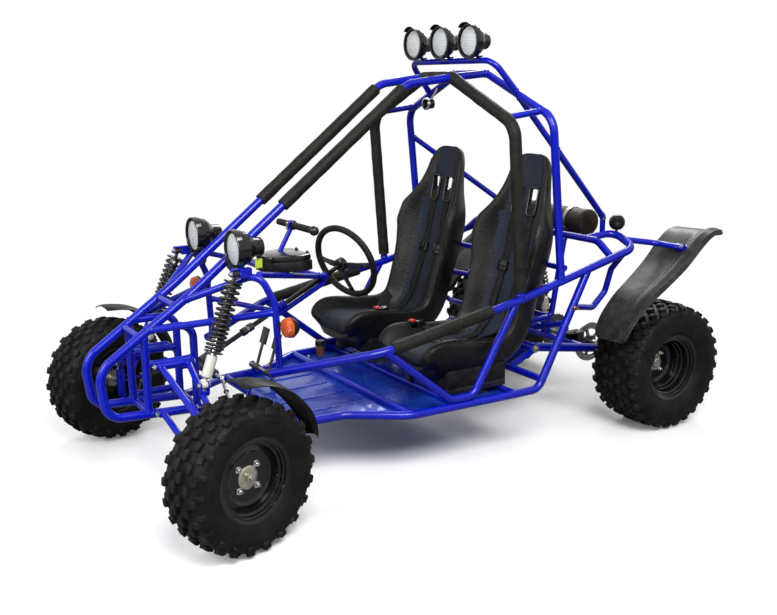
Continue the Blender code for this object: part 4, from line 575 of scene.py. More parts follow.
def arc_path(points, radii, steps=10):
    """The path with each inner corner turned into an arc of its radius."""
    if not hasattr(radii, "__len__"):
        radii = [radii] * (len(points) - 2)
    path = [Vector(points[0])]
    for i in range(1, len(points) - 1):
        before, corner, after = (Vector(points[i + k]) for k in (-1, 0, 1))
        back = (before - corner).normalized()
        ahead = (after - corner).normalized()
        turn = math.pi - back.angle(ahead)
        if radii[i - 1] <= 0 or turn < 0.02:
            path.append(corner)
            continue
        reach = min(radii[i - 1] * math.tan(turn / 2), 0.48 * (before - corner).length,
                    0.48 * (after - corner).length)
        radius = reach / math.tan(turn / 2)
        centre = corner + (back + ahead).normalized() * (radius / math.cos(turn / 2))
        first = corner + back * reach - centre
        normal = first.cross(corner + ahead * reach - centre).normalized()
        for step in range(steps + 1):
            path.append(centre + Quaternion(normal, turn * step / steps) @ first)
    path.append(Vector(points[-1]))
    return path


def cut_path(path, start, end):
    """The stretch of a path between two distances along it."""
    kept = []
    run = 0.0
    for a, b in zip(path, path[1:]):
        length = (b - a).length
        if length < 1e-9:
            continue
        for mark in (start, end):
            if run <= mark <= run + length:
                point = a.lerp(b, (mark - run) / length)
                if mark == start:
                    kept = [point]
                elif kept:
                    kept.append(point)
        run += length
        if kept and run < end:
            kept.append(b)
    return kept


def side_frames(path, closed=False):
    """A pair of directions square to the path at each point, without twist."""
    count = len(path)
    out = []
    last = None
    for i in range(count):
        if closed:
            along = (path[(i + 1) % count] - path[i - 1]).normalized()
        else:
            along = (path[min(i + 1, count - 1)] - path[max(i - 1, 0)]).normalized()
        if last is None:
            u = along.orthogonal().normalized()
        else:
            u = (last - along * last.dot(along)).normalized()
        last = u
        out.append((u, along.cross(u), along))
    return out


class Piece:
    """Geometry gathered for one object, each face with its own finish."""

    def __init__(self):
        self.verts = []
        self.faces = []
        self.finishes = []

    def take(self, verts, faces, finish):
        """Add points and the faces between them."""
        start = len(self.verts)
        self.verts += [Vector(v) for v in verts]
        self.faces += [tuple(start + k for k in face) for face in faces]
        self.finishes += [finish] * len(faces)

    def loft(self, rings, finish, closed=False, caps=True):
        """Skin over rings of equally many points."""
        sides = len(rings[0])
        verts = [v for ring in rings for v in ring]
        faces = []
        spans = len(rings) if closed else len(rings) - 1
        for i in range(spans):
            n = (i + 1) % len(rings)
            for k in range(sides):
                m = (k + 1) % sides
                faces.append((i * sides + k, i * sides + m, n * sides + m, n * sides + k))
        if caps and not closed:
            faces.append(tuple(reversed(range(sides))))
            faces.append(tuple((len(rings) - 1) * sides + k for k in range(sides)))
        self.take(verts, faces, finish)

    def pipe(self, path, radius, finish, sides=18, closed=False, dome=0.0):
        """Round tube; dome draws its ends in over that length."""
        rings = []
        directions = side_frames(path, closed)
        last = len(path) - 1
        for i, (point, (u, v, along)) in enumerate(zip(path, directions)):
            r = radius(i / max(last, 1)) if callable(radius) else radius
            angles = [2 * math.pi * k / sides for k in range(sides)]
            rings.append([point + u * (r * math.cos(a)) + v * (r * math.sin(a)) for a in angles])
        if dome and not closed:
            for end, sign in ((0, -1), (last, 1)):
                point, along = path[end], directions[end][2]
                extra = []
                # Once the first end has grown, this index lies three rings short of the second end
                for share, shrink in ((0.45, 0.93), (0.85, 0.70), (1.0, 0.40)):
                    extra.append([point + (q - point) * shrink + along * (sign * dome * share)
                                  for q in rings[end]])
                rings = list(reversed(extra)) + rings if sign < 0 else rings + extra
        self.loft(rings, finish, closed)

    def rod(self, start, end, radius, finish, sides=18):
        """Straight round bar between two points."""
        self.pipe([Vector(start), Vector(end)], radius, finish, sides)

    def lathe(self, profile, centre, axis, finish, sides=48, closed=False):
        """Profile of (along, radius) round an axis; a closed profile meets itself."""
        axis = Vector(axis).normalized()
        u = axis.orthogonal().normalized()
        v = axis.cross(u)
        centre = Vector(centre)
        rings = []
        for along, radius in profile:
            radius = max(radius, 0.00005)
            rings.append([centre + axis * along + (u * math.cos(a) + v * math.sin(a)) * radius
                          for a in (2 * math.pi * k / sides for k in range(sides))])
        self.loft(rings, finish, closed)

    def bush(self, half, bore, radius, centre, axis, finish, sides=28):
        """Plain tube about its centre, open from end to end."""
        profile = [(-half, bore), (-half, radius), (half, radius), (half, bore)]
        self.lathe(profile, centre, axis, finish, sides, True)

    def mesh(self, shape, finish):
        """Take the faces of a bmesh and free it."""
        shape.verts.index_update()
        self.take([v.co for v in shape.verts], [[v.index for v in f.verts] for f in shape.faces], finish)
        shape.free()

    def block(self, low, high, finish, bevel=0.002, turn=None):
        """Rounded block between two corners, turned by a matrix about its middle."""
        low, high = Vector(low), Vector(high)
        for k in range(3):
            if low[k] > high[k]:
                low[k], high[k] = high[k], low[k]
        middle, size = (low + high) / 2, high - low
        shape = bmesh.new()
        bmesh.ops.create_cube(shape, size=1.0)
        bmesh.ops.scale(shape, vec=size, verts=shape.verts)
        bevel = min(bevel, min(size) * 0.45)
        bmesh.ops.bevel(shape, geom=shape.edges[:], offset=bevel, segments=2, affect="EDGES", profile=0.6)
        if turn is not None:
            bmesh.ops.transform(shape, matrix=turn, verts=shape.verts)
        bmesh.ops.translate(shape, vec=middle, verts=shape.verts)
        self.mesh(shape, finish)

    def bar(self, start, end, across, half_width, half_thick, finish, bevel=0.001):
        """Flat bar between two points."""
        start, end = Vector(start), Vector(end)
        along = (end - start).normalized()
        across = (across - along * across.dot(along)).normalized()
        normal = along.cross(across)
        turn = Matrix((along, across, normal)).transposed().to_4x4()
        half = Vector(((end - start).length / 2, half_width, half_thick))
        middle = (start + end) / 2
        self.block(middle - half, middle + half, finish, bevel, turn)

    def slab(self, outline, low, high, finish, bevel=0.001, lift=None):
        """Plate with an outline of (x, y) world points between two heights."""
        shape = bmesh.new()
        verts = [shape.verts.new((x, y, low)) for x, y in outline]
        face = shape.faces.new(verts)
        made = bmesh.ops.extrude_face_region(shape, geom=[face])
        top = [v for v in made["geom"] if isinstance(v, bmesh.types.BMVert)]
        bmesh.ops.translate(shape, vec=(0, 0, high - low), verts=top)
        bmesh.ops.recalc_face_normals(shape, faces=shape.faces)
        if bevel:
            bmesh.ops.bevel(shape, geom=shape.edges[:], offset=bevel, segments=2, affect="EDGES",
                            profile=0.6)
        if lift is not None:
            bmesh.ops.transform(shape, matrix=lift, verts=shape.verts)
        self.mesh(shape, finish)

    def nut(self, centre, axis, across, thick, finish="steel"):
        """Hexagon nut with chamfers on a washer."""
        half = across / 2 / math.cos(math.pi / 6)
        self.lathe([(0, half * 1.25), (0.0012, half * 1.25), (0.0012, 0)], centre, axis, finish, 24)
        self.lathe([(0.0012, half), (thick - 0.0015, half), (thick, half * 0.84), (thick, 0)], centre,
                   axis, finish, 6)

    def bolt(self, start, end, radius, finish="steel"):
        """Bolt through two faces, its head at start and its nut at end."""
        start, end = Vector(start), Vector(end)
        axis = (end - start).normalized()
        self.rod(start, end + axis * (radius * 1.9), radius, finish, 12)
        self.nut(start, -axis, radius * 3.2, radius * 1.2, finish)
        self.nut(end, axis, radius * 3.2, radius * 1.4, finish)

    def weld(self, centre, axis, radius, finish="blue", bead=0.0022):
        """Rippled weld bead round a tube."""
        axis = Vector(axis).normalized()
        u = axis.orthogonal().normalized()
        v = axis.cross(u)
        centre = Vector(centre)
        rings = []
        steps = 40
        for i in range(steps):
            a = 2 * math.pi * i / steps
            out = u * math.cos(a) + v * math.sin(a)
            size = bead * (1.0 + 0.22 * (i % 2))
            rings.append([centre + out * (radius + size * 0.8 * math.cos(b))
                          + axis * (size * 1.3 * math.sin(b))
                          for b in (2 * math.pi * k / 6 for k in range(6))])
        self.loft(rings, finish, closed=True)

    def joint(self, start, end, radius, finish="blue", host=TUBE_R):
        """Tube between two centre lines, with a weld bead where it meets each host tube."""
        start, end = Vector(start), Vector(end)
        axis = (end - start).normalized()
        self.rod(start, end, radius, finish)
        self.weld(start + axis * host, axis, radius, finish)
        self.weld(end - axis * host, axis, radius, finish)

    def ribbon(self, path, across, width, thick, finish):
        """Flat strap along a path; across is its width's direction, one for all or one for each point."""
        rings = []
        count = len(path)
        for i, point in enumerate(path):
            along = (path[min(i + 1, count - 1)] - path[max(i - 1, 0)]).normalized()
            side = across[i] if isinstance(across, list) else across
            side = (side - along * side.dot(along)).normalized()
            normal = along.cross(side)
            ring = []
            for a, b in ((-1, -0.5), (-0.96, -1), (0.96, -1), (1, -0.5), (1, 0.5), (0.96, 1), (-0.96, 1),
                         (-1, 0.5)):
                ring.append(point + side * (a * width / 2) + normal * (b * thick / 2))
            rings.append(ring)
        self.loft(rings, finish)

    def shell(self, grid, thick, finish, rim=0.0):
        """Sheet over a grid of points, thickened inwards, its edge rolled to a bead where rim is set."""
        rows, columns = len(grid), len(grid[0])
        outer = [p for row in grid for p in row]
        inner = []
        for i in range(rows):
            for k in range(columns):
                along = grid[min(i + 1, rows - 1)][k] - grid[max(i - 1, 0)][k]
                side = grid[i][min(k + 1, columns - 1)] - grid[i][max(k - 1, 0)]
                inner.append(grid[i][k] - along.cross(side).normalized() * thick)
        size = rows * columns
        faces = []
        for i in range(rows - 1):
            for k in range(columns - 1):
                a = i * columns + k
                faces.append((a, a + 1, a + columns + 1, a + columns))
                faces.append((size + a, size + a + columns, size + a + columns + 1, size + a + 1))
        edge = list(range(columns)) + [i * columns + columns - 1 for i in range(1, rows)]
        edge += [(rows - 1) * columns + k for k in reversed(range(columns - 1))]
        edge += [i * columns for i in reversed(range(1, rows - 1))]
        for a, b in zip(edge, edge[1:] + edge[:1]):
            faces.append((a, size + a, size + b, b))
        self.take(outer + inner, faces, finish)
        if rim:
            border = [(outer[k] + inner[k]) / 2 for k in edge]
            self.pipe(border, rim, finish, 8, closed=True)

    def mirror_from(self, verts, faces):
        """Add the mirror image of everything taken since a mark, given as its counts."""
        start = len(self.verts)
        self.verts += [mirrored(v) for v in self.verts[verts:]]
        new = self.faces[faces:]
        self.faces += [tuple(k - verts + start for k in reversed(face)) for face in new]
        self.finishes += self.finishes[faces:]

    def mark(self):
        """Counts of what has been taken so far."""
        return len(self.verts), len(self.faces)

    def flipped(self):
        """A mirror image for the other side of the kart."""
        twin = Piece()
        twin.verts = [mirrored(v) for v in self.verts]
        twin.faces = [tuple(reversed(face)) for face in self.faces]
        twin.finishes = list(self.finishes)
        return twin

    def turned(self, matrix):
        """The same piece moved by a matrix."""
        self.verts = [matrix @ v for v in self.verts]
        return self

    def copy(self):
        """A second piece with the same faces."""
        twin = Piece()
        twin.verts = [v.copy() for v in self.verts]
        twin.faces = list(self.faces)
        twin.finishes = list(self.finishes)
        return twin

    def make(self, name, body, nodes=(), slot=None, angle=38):
        """The finished object, riding on its body in place of its nodes."""
        mesh = bpy.data.meshes.new(name)
        mesh.from_pydata([tuple(v) for v in self.verts], [], self.faces)
        names = list(dict.fromkeys(self.finishes))
        for finish in names:
            mesh.materials.append(MATERIALS[finish])
        mesh.polygons.foreach_set("material_index", [names.index(f) for f in self.finishes])
        shape = bmesh.new()
        shape.from_mesh(mesh)
        bmesh.ops.recalc_face_normals(shape, faces=shape.faces)
        shape.to_mesh(mesh)
        shape.free()
        mesh.shade_smooth()
        mesh.set_sharp_from_angle(angle=math.radians(angle))
        piece = bpy.data.objects.new(name, mesh)
        bpy.context.scene.collection.objects.link(piece)
        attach(piece, body)
        if nodes:
            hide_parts(*nodes)
        return piece


# Frame routes

def nose_route():
    """Left main tube of the nose, from the front hoop over the knee and chin to the floor."""
    corners = [
        at(FRONT_HOOP_X, ROOF_Y + 0.004, FRONT_HOOP_TOP),
        at(NOSE_TOP[0], ROOF_Y, NOSE_TOP[1]),
        at(NOSE_KNEE[0], NOSE_Y + 0.006, NOSE_KNEE[1]),
        at(NOSE_X, NOSE_Y, NOSE_FRONT_Z),
        at(NOSE_CHIN[0], NOSE_Y, NOSE_CHIN[1]),
        at(NOSE_FLOOR[0], NOSE_Y, NOSE_FLOOR[1]),
        at(FLOOR_FRONT[0] + 0.001, FLOOR_FRONT[1], FLOOR_Z),
    ]
    return arc_path(corners, [0.10, 0.50, 0.090, 0.060, 0.12])


def between(marks, station):
    """Point of a broken line of world points at a station."""
    for a, b in zip(marks, marks[1:]):
        low, high = sorted((a.x, b.x))
        if low <= station - MIDDLE_X <= high:
            return a.lerp(b, (station - MIDDLE_X - a.x) / (b.x - a.x))
    return marks[-1].copy()


def nose_point(station):
    """Point of the upper nose tube at a station."""
    return between([at(NOSE_TOP[0], ROOF_Y, NOSE_TOP[1]), at(NOSE_KNEE[0], NOSE_Y + 0.006, NOSE_KNEE[1]),
                    at(NOSE_X, NOSE_Y, NOSE_FRONT_Z)], station)


def chin_point(station):
    """Point of the lower nose tube at a station."""
    return between([at(NOSE_CHIN[0], NOSE_Y, NOSE_CHIN[1]), at(NOSE_FLOOR[0], NOSE_Y, NOSE_FLOOR[1]),
                    at(FLOOR_FRONT[0], FLOOR_FRONT[1], FLOOR_Z)], station)


def rail_point(station):
    """Point of the left side rail at a station."""
    low, high = (RAIL_TAIL, RAIL_SEAT) if station < RAIL_SEAT[0] else (RAIL_SEAT, RAIL_BEND)
    share = (station - low[0]) / (high[0] - low[0])
    return at(station, RAIL_Y, low[1] + share * (high[1] - low[1]))


def rail_route():
    """Left side rail from the cowl's foot back to the rear cross tube."""
    corners = [
        at(RAIL_FOOT[0] + 0.030, POST_Y - 0.017, RAIL_FOOT[1] - 0.005),
        at(RAIL_BEND[0], RAIL_Y, RAIL_BEND[1]),
        at(RAIL_SEAT[0], RAIL_Y, RAIL_SEAT[1]),
        at(RAIL_TAIL[0], RAIL_Y, RAIL_TAIL[1]),
        at(RAIL_TAIL[0] - 0.025, 0.345, 0.808),
        at(CROSS_TUBE_X, 0.335, CROSS_TUBE_Z),
    ]
    return arc_path(corners, [0.18, 0, 0.060, 0.050])


def riser_point(z):
    """Point of the left riser between the floor tube and the rail, at a height."""
    low = at(FLOOR_REAR[0], FLOOR_REAR[1], FLOOR_Z)
    return low.lerp(rail_point(RISER_X), (z - low.z) / (rail_point(RISER_X).z - low.z))


def full_width(corners):
    """Left-hand corners followed by their mirror images."""
    return corners + [mirrored(c) for c in reversed(corners)]


def front_hoop_route():
    """Front hoop from its left foot over the roof to its right foot."""
    foot = at(RAIL_SEAT[0], RAIL_Y, RAIL_SEAT[1] + 0.006)
    shoulder = at(FRONT_HOOP_X, RAIL_Y, FRONT_HOOP_SHOULDER)
    top = at(FRONT_HOOP_X, HOOP_TOP_Y, FRONT_HOOP_TOP)
    return arc_path(full_width([foot, shoulder, top]), HOOP_BENDS)


def rear_hoop_route():
    """Rear hoop from its left foot over the roof to its right foot."""
    foot = rail_point(REAR_HOOP_FOOT_X) + Vector((0, 0, 0.006))
    shoulder = at(REAR_HOOP_X - 0.014, HOOP_Y, REAR_HOOP_SHOULDER)
    top = at(REAR_HOOP_X, HOOP_TOP_Y, REAR_HOOP_TOP)
    return arc_path(full_width([foot, shoulder, top]), HOOP_BENDS)


def column_axis():
    """Both ends of the steering column, and its direction down to the pinion."""
    hub, pinion = at(*WHEEL_HUB), at(*PINION)
    return hub, pinion, (pinion - hub).normalized()


def length_to(path, station):
    """Distance along a path to the first place at a station."""
    run = 0.0
    x = station - MIDDLE_X
    for a, b in zip(path, path[1:]):
        if (a.x - x) * (b.x - x) <= 0 and a.x != b.x:
            return run + (b - a).length * (x - a.x) / (b.x - a.x)
        run += (b - a).length
    return run


def path_length(path):
    """Whole length of a path."""
    return sum((b - a).length for a, b in zip(path, path[1:]))


# Frame pieces

def lugs(p, centre, root, half):
    """Two rounded lug plates from a tube to a bolt along X."""
    centre, root = Vector(centre), Vector(root)
    for side in (-1, 1):
        x = side * (half + 0.0023)
        middle = Vector((centre.x + x, centre.y, centre.z))
        p.lathe([(-0.002, 0.011), (0.002, 0.011)], middle, FORWARD, "blue", 24)
        p.bar(middle, Vector((middle.x, root.y, root.z)), UP, 0.011, 0.002, "blue", 0.0006)
    p.bolt(centre - FORWARD * (half + 0.0045), centre + FORWARD * (half + 0.0045), 0.005)


def signal_lamp(p, centre):
    """Front turn signal: black cup, ribbed amber lens and a sealing ring."""
    p.lathe([(-0.028, 0.002), (-0.028, 0.014), (-0.020, 0.024), (-0.006, 0.034), (-0.002, 0.0355),
             (0.0, 0.0355), (0.0, 0.030)], centre, FORWARD, "plastic", 40)
    p.lathe([(0.0, 0.0345), (0.010, 0.0345), (0.022, 0.031), (0.028, 0.022), (0.030, 0.008), (0.030, 0)],
            centre, FORWARD, "amber", 40)
    p.lathe([(-0.002, 0.0358), (0.002, 0.0358), (0.002, 0.034), (-0.002, 0.034)], centre, FORWARD,
            "rubber", 40, True)


def bulkhead(p):
    """Left half of the bulkhead, with the lugs of the arms."""
    p.joint(nose_point(BULKHEAD_FRONT_X), chin_point(BULKHEAD_FRONT_X), TUBE_R - 0.002)
    hoop_top = nose_point(BULKHEAD_FRONT_X)
    hoop_top.z = BULKHEAD_TOP_Z
    hoop_foot = chin_point(BULKHEAD_REAR_X)
    p.pipe(arc_path([hoop_top, at(BULKHEAD_REAR_X, NOSE_Y, BULKHEAD_TOP_Z), hoop_foot], 0.050),
           TUBE_R - 0.002, "blue")
    p.weld(hoop_foot + UP * 0.017, UP, TUBE_R - 0.002)
    front = at(BULKHEAD_FRONT_X, NOSE_Y + 0.002, UPPER_PIVOT_Z)
    p.joint(front, at(BULKHEAD_REAR_X, NOSE_Y + 0.001, UPPER_PIVOT_Z), THIN_R)
    middle = (ARM_FRONT_X + ARM_REAR_X) / 2
    half = (ARM_FRONT_X - ARM_REAR_X) / 2 + BUSH_HALF
    for z in (UPPER_PIVOT_Z, LOWER_PIVOT_Z):
        lugs(p, at(middle, PIVOT_Y, z), at(middle, NOSE_Y + 0.006, z), half)


def cowl(p):
    """Left cowl tube, its brace and the bracket of the shock."""
    tube = [nose_point(1.905), at(POST_CORNER[0], POST_Y - 0.012, POST_CORNER[1]),
            at(POST_MIDDLE[0], POST_Y, POST_MIDDLE[1]), at(RAIL_FOOT[0], POST_Y, RAIL_FOOT[1])]
    p.pipe(arc_path(tube, [0.050, 0.08]), THIN_R, "blue")
    p.weld(tube[0].lerp(tube[1], 0.06), tube[1] - tube[0], THIN_R)
    p.weld(tube[3] + UP * 0.014, UP, THIN_R)
    p.joint(nose_point(2.035), at(POST_MIDDLE[0] - 0.006, POST_Y, 0.668), THIN_R)
    share = (SHOCK_TOP[1] - tube[0].y) / (tube[1].y - tube[0].y)
    on_cowl = tube[0].lerp(tube[1], share)
    eye = at(*SHOCK_TOP)
    roof = eye.z + 0.0148
    p.block((on_cowl.x, eye.y - 0.011, roof - 0.002), (eye.x + 0.0145, eye.y + 0.011, roof + 0.002),
            "blue", 0.001)
    for side in (-1, 1):
        near, far = side * 0.0110, side * 0.0145
        p.block((eye.x + near, eye.y - 0.011, eye.z - 0.008), (eye.x + far, eye.y + 0.011, roof + 0.001),
                "blue", 0.001)
    p.block((on_cowl.x - 0.004, eye.y - 0.011, on_cowl.z), (eye.x - 0.0135, eye.y + 0.011, roof + 0.001),
            "blue", 0.001)
    p.bolt(eye - FORWARD * 0.0150, eye + FORWARD * 0.0150, 0.005)


def lamp_stems(p):
    """Left turn signal on its stalk, and the headlamp's stem."""
    p.rod(at(1.650, POST_Y, 0.630), at(1.650, 0.400, 0.636), 0.0070, "plastic", 14)
    signal_lamp(p, at(1.652, 0.420, 0.638))
    stem = arc_path([nose_point(1.740), at(1.722, HEADLAMP[1] - 0.02, HEADLAMP[2] - 0.110),
                     at(HEADLAMP[0] - 0.036, HEADLAMP[1], HEADLAMP[2] - HEADLAMP_R + 0.018)], 0.02)
    p.pipe(stem, 0.009, "plastic", 14)
    p.nut(stem[0].lerp(stem[-1], 0.2), stem[-1] - stem[0], 0.022, 0.008, "dark_steel")


def column_carrier(p):
    """Bearings of the steering column, the tubes that hold them and the clamp under the grab handle."""
    hub, _, axis = column_axis()
    upper, lower = (hub + axis * run for run in BEARING_RUNS)
    drop = Vector((0.0, 0.0, -0.026))
    for bearing in (upper, lower):
        p.bush(0.018, 0.0110, 0.0185, bearing, axis, "blue")
        p.lathe([(-0.020, 0.0105), (-0.020, 0.0150), (-0.017, 0.0150), (-0.017, 0.0105)], bearing, axis,
                "steel", 28, True)
    p.rod(upper + drop - axis * 0.012, lower + drop + axis * 0.012, STAY_R, "blue")
    for side in (-1, 1):
        corner = at(POST_CORNER[0] - 0.002, side * (POST_Y - 0.020), POST_CORNER[1] - 0.006)
        p.joint(corner, upper + Vector((0, side * 0.010, 0.006)), STAY_R, "blue", THIN_R)
    p.joint(at(POST_MIDDLE[0] - 0.010, -POST_Y, 0.600), lower + drop, STAY_R, "blue", THIN_R)
    p.rod(at(DASH_X, -0.288, DASH_Z), at(DASH_X, 0.078, DASH_Z), STAY_R, "blue")
    p.joint(at(DASH_X, -0.045, DASH_Z), at(HANDLE_X, -0.045, HANDLE_Z) - UP * 0.004, 0.0095, "blue",
            STAY_R)
    # Clamp under the grab handle
    grip = at(HANDLE_X, -0.045, HANDLE_Z)
    p.bush(0.013, 0.0142, 0.0185, grip, ACROSS, "blue")
    p.bolt(grip + Vector((0.020, 0, -0.012)), grip + Vector((0.020, 0, 0.008)), 0.003)


def rack_housing(p):
    """Rack tube with its arms, and the gearbox of the pinion."""
    _, pinion, axis = column_axis()
    hoop_foot = chin_point(BULKHEAD_REAR_X)
    p.lathe([(-0.078, 0.0095), (-0.078, 0.0165), (-0.070, 0.0185), (0.070, 0.0185), (0.078, 0.0165),
             (0.078, 0.0095)], at(RACK_X, 0, RACK_Z), ACROSS, "engine", 32, True)
    leg_share = (BULKHEAD_TOP_Z - RACK_Z) / (BULKHEAD_TOP_Z - hoop_foot.z)
    leg_y = NOSE_Y + leg_share * (hoop_foot.y - NOSE_Y)
    for side in (-1, 1):
        p.joint(at(RACK_X, side * 0.060, RACK_Z), at(BULKHEAD_REAR_X, side * leg_y, RACK_Z), 0.009)
        for x in (-0.007, 0.007):
            p.nut(at(RACK_X + x, side * 0.074, RACK_Z + 0.012), UP, 0.007, 0.004)
    p.lathe([(-0.050, 0.0110), (-0.045, 0.0190), (0.004, 0.0190), (0.008, 0.0150), (0.008, 0)], pinion,
            axis, "engine", 28)
    for k in range(5):
        p.weld(pinion - axis * (0.050 + 0.008 * k), axis, 0.0125 - 0.0002 * k, "rubber", 0.0034)


def hanging_tag(p):
    """Plain tag under the left headlamp, on a loop of cord."""
    tag = at(1.655, HEADLAMP[1] + 0.002, HEADLAMP[2] - 0.052)
    p.block(tag + Vector((-0.014, -0.001, -0.024)), tag + Vector((0.014, 0.001, 0.010)), "lime", 0.0009)
    p.pipe([tag + Vector((0, 0, 0.004)), tag + Vector((0.004, 0.003, 0.012)),
            tag + Vector((0, 0, 0.020))], 0.0010, "plastic", 8)


def nose_frame():
    """Nose tubes with the bulkhead, the cowl and what is welded or hung there."""
    p = Piece()
    mark = p.mark()
    p.pipe(nose_route(), TUBE_R, "blue", 20)
    bulkhead(p)
    cowl(p)
    lamp_stems(p)
    p.mirror_from(*mark)
    for point in (nose_point(1.930), nose_point(2.065), chin_point(2.045),
                  chin_point(NOSE_FLOOR[0] + 0.012)):
        p.joint(mirrored(point), point, THIN_R)
    column_carrier(p)
    rack_housing(p)
    hanging_tag(p)
    return p


def pan(p):
    """Floor pan with stiffening ribs pressed into it."""
    edge = [FLOOR_FRONT, FLOOR_WAIST, FLOOR_FLARE, (PAN_REAR_X, FLOOR_REAR[1])]
    left = [(x - MIDDLE_X, y - 0.003) for x, y in edge]
    p.slab(left + [(x, -y) for x, y in reversed(left)], PAN_TOP - 0.003, PAN_TOP, "pan", 0.0006)
    for y in (-0.21, -0.07, 0.07, 0.21):
        p.block(at(1.260, y - 0.010, PAN_TOP - 0.001), at(1.540, y + 0.010, PAN_TOP + 0.003), "pan",
                0.0035)


def pan_bolts(p):
    """Nuts of the bolts that hold the pan."""
    for station, y in ((1.56, 0.27), (1.42, 0.30), (1.15, 0.44), (0.90, 0.46)):
        for side in (-1, 1):
            p.nut(at(station, side * y, PAN_TOP), UP, 0.012, 0.005)


def pedal_posts(p):
    """Two posts and the pin that the pedals turn on."""
    middle = (BRAKE_PEDAL_Y + THROTTLE_PEDAL_Y) / 2
    for side in (-1, 1):
        y = middle + side * PEDAL_POST_Y
        p.rod(at(PEDAL_X, y, PAN_TOP - 0.002), at(PEDAL_X, y, PEDAL_Z), 0.008, "blue")
        p.weld(at(PEDAL_X, y, PAN_TOP + 0.001), UP, 0.008)
    p.bolt(at(PEDAL_X, middle - 0.100, PEDAL_Z), at(PEDAL_X, middle + 0.100, PEDAL_Z), 0.0062)


def swing_brackets(p):
    """Rear cross tube with the brackets and bolts of the swing arm."""
    pivot_x, pivot_z = SWING_PIVOT
    p.joint(at(REAR_CROSS_X, -0.507, 0.290), at(REAR_CROSS_X, 0.507, 0.290), TUBE_R - 0.001)
    for side in (-1, 1):
        for offset in (-0.034, 0.034):
            y = side * (SWING_Y + offset)
            p.bar(at(REAR_CROSS_X, y, 0.289), at(pivot_x, y, pivot_z), UP, 0.016, 0.002, "blue", 0.0006)
            p.lathe([(-0.002, 0.0175), (0.002, 0.0175)], at(pivot_x, y, pivot_z), ACROSS, "blue", 28)
        p.bolt(at(pivot_x, side * (SWING_Y - 0.038), pivot_z),
               at(pivot_x, side * (SWING_Y + 0.038), pivot_z), 0.0075)


def reservoir(p):
    """Fluid reservoir beside the driver's seat: brown body and black cap."""
    cap = at(1.110, -0.400, 0.300)
    p.lathe([(-0.045, 0), (-0.045, 0.018), (0.0, 0.020), (0.004, 0.018)], cap, UP, "brown", 32)
    p.lathe([(0.0, 0.0225), (0.018, 0.0225), (0.022, 0.019), (0.022, 0)], cap, UP, "plastic", 16)


def floor_frame():
    """Floor tubes with the pan, the pedal posts and the swing arm's brackets."""
    p = Piece()
    mark = p.mark()
    corners = [at(FLOOR_FRONT[0], FLOOR_FRONT[1], FLOOR_Z), at(FLOOR_WAIST[0], FLOOR_WAIST[1], FLOOR_Z),
               at(FLOOR_FLARE[0], FLOOR_FLARE[1], FLOOR_Z), at(FLOOR_REAR[0], FLOOR_REAR[1], FLOOR_Z),
               rail_point(RISER_X) - UP * 0.006]
    p.pipe(arc_path(corners, [0.12, 0.12, 0.060]), TUBE_R, "blue", 20)
    rise = (rail_point(RISER_X) - corners[3]).normalized()
    p.weld(rail_point(RISER_X) - rise * TUBE_R, rise, TUBE_R)
    p.mirror_from(*mark)
    pan(p)
    for station, y in ((1.590, 0.331), (1.205, 0.482)):
        p.joint(at(station, -y, FLOOR_Z), at(station, y, FLOOR_Z), TUBE_R - 0.001)
    for station in (1.000, 0.740):
        p.joint(at(station, 0.012 - FLOOR_REAR[1], FLOOR_Z), at(station, FLOOR_REAR[1] - 0.012, FLOOR_Z),
                THIN_R)
    pan_bolts(p)
    pedal_posts(p)
    swing_brackets(p)
    reservoir(p)
    return p


def fender_rest():
    """Where the stay of the left rear fender meets it, with its directions out and along."""
    low = at(REAR_FENDER_PATH[4][0], 0, REAR_FENDER_PATH[4][1])
    high = at(REAR_FENDER_PATH[5][0], 0, REAR_FENDER_PATH[5][1])
    along = (high - low).normalized()
    normal = Vector((along.z, 0, -along.x))
    point = low.lerp(high, 0.75) + normal * (0.003 + THIN_R)
    point.y = REAR_TRACK / 2 + 0.070
    return point, normal, along


def tail_lamp(p):
    """Ribbed black ball on a stalk."""
    p.rod(at(0.112, 0.380, 0.795), at(0.102, 0.367, 0.830), 0.0060, "plastic", 14)
    profile = []
    for k in range(19):
        along_z = -0.028 + 0.058 * k / 18
        bulge = 0.034 * math.sqrt(max(0.05, 1 - ((along_z - 0.001) / 0.034) ** 2))
        profile.append((along_z, bulge - (0.0016 if k % 2 else 0.0)))
    p.lathe([(-0.029, 0)] + profile + [(0.031, 0)], at(0.100, 0.367, 0.850), UP, "plastic", 40)


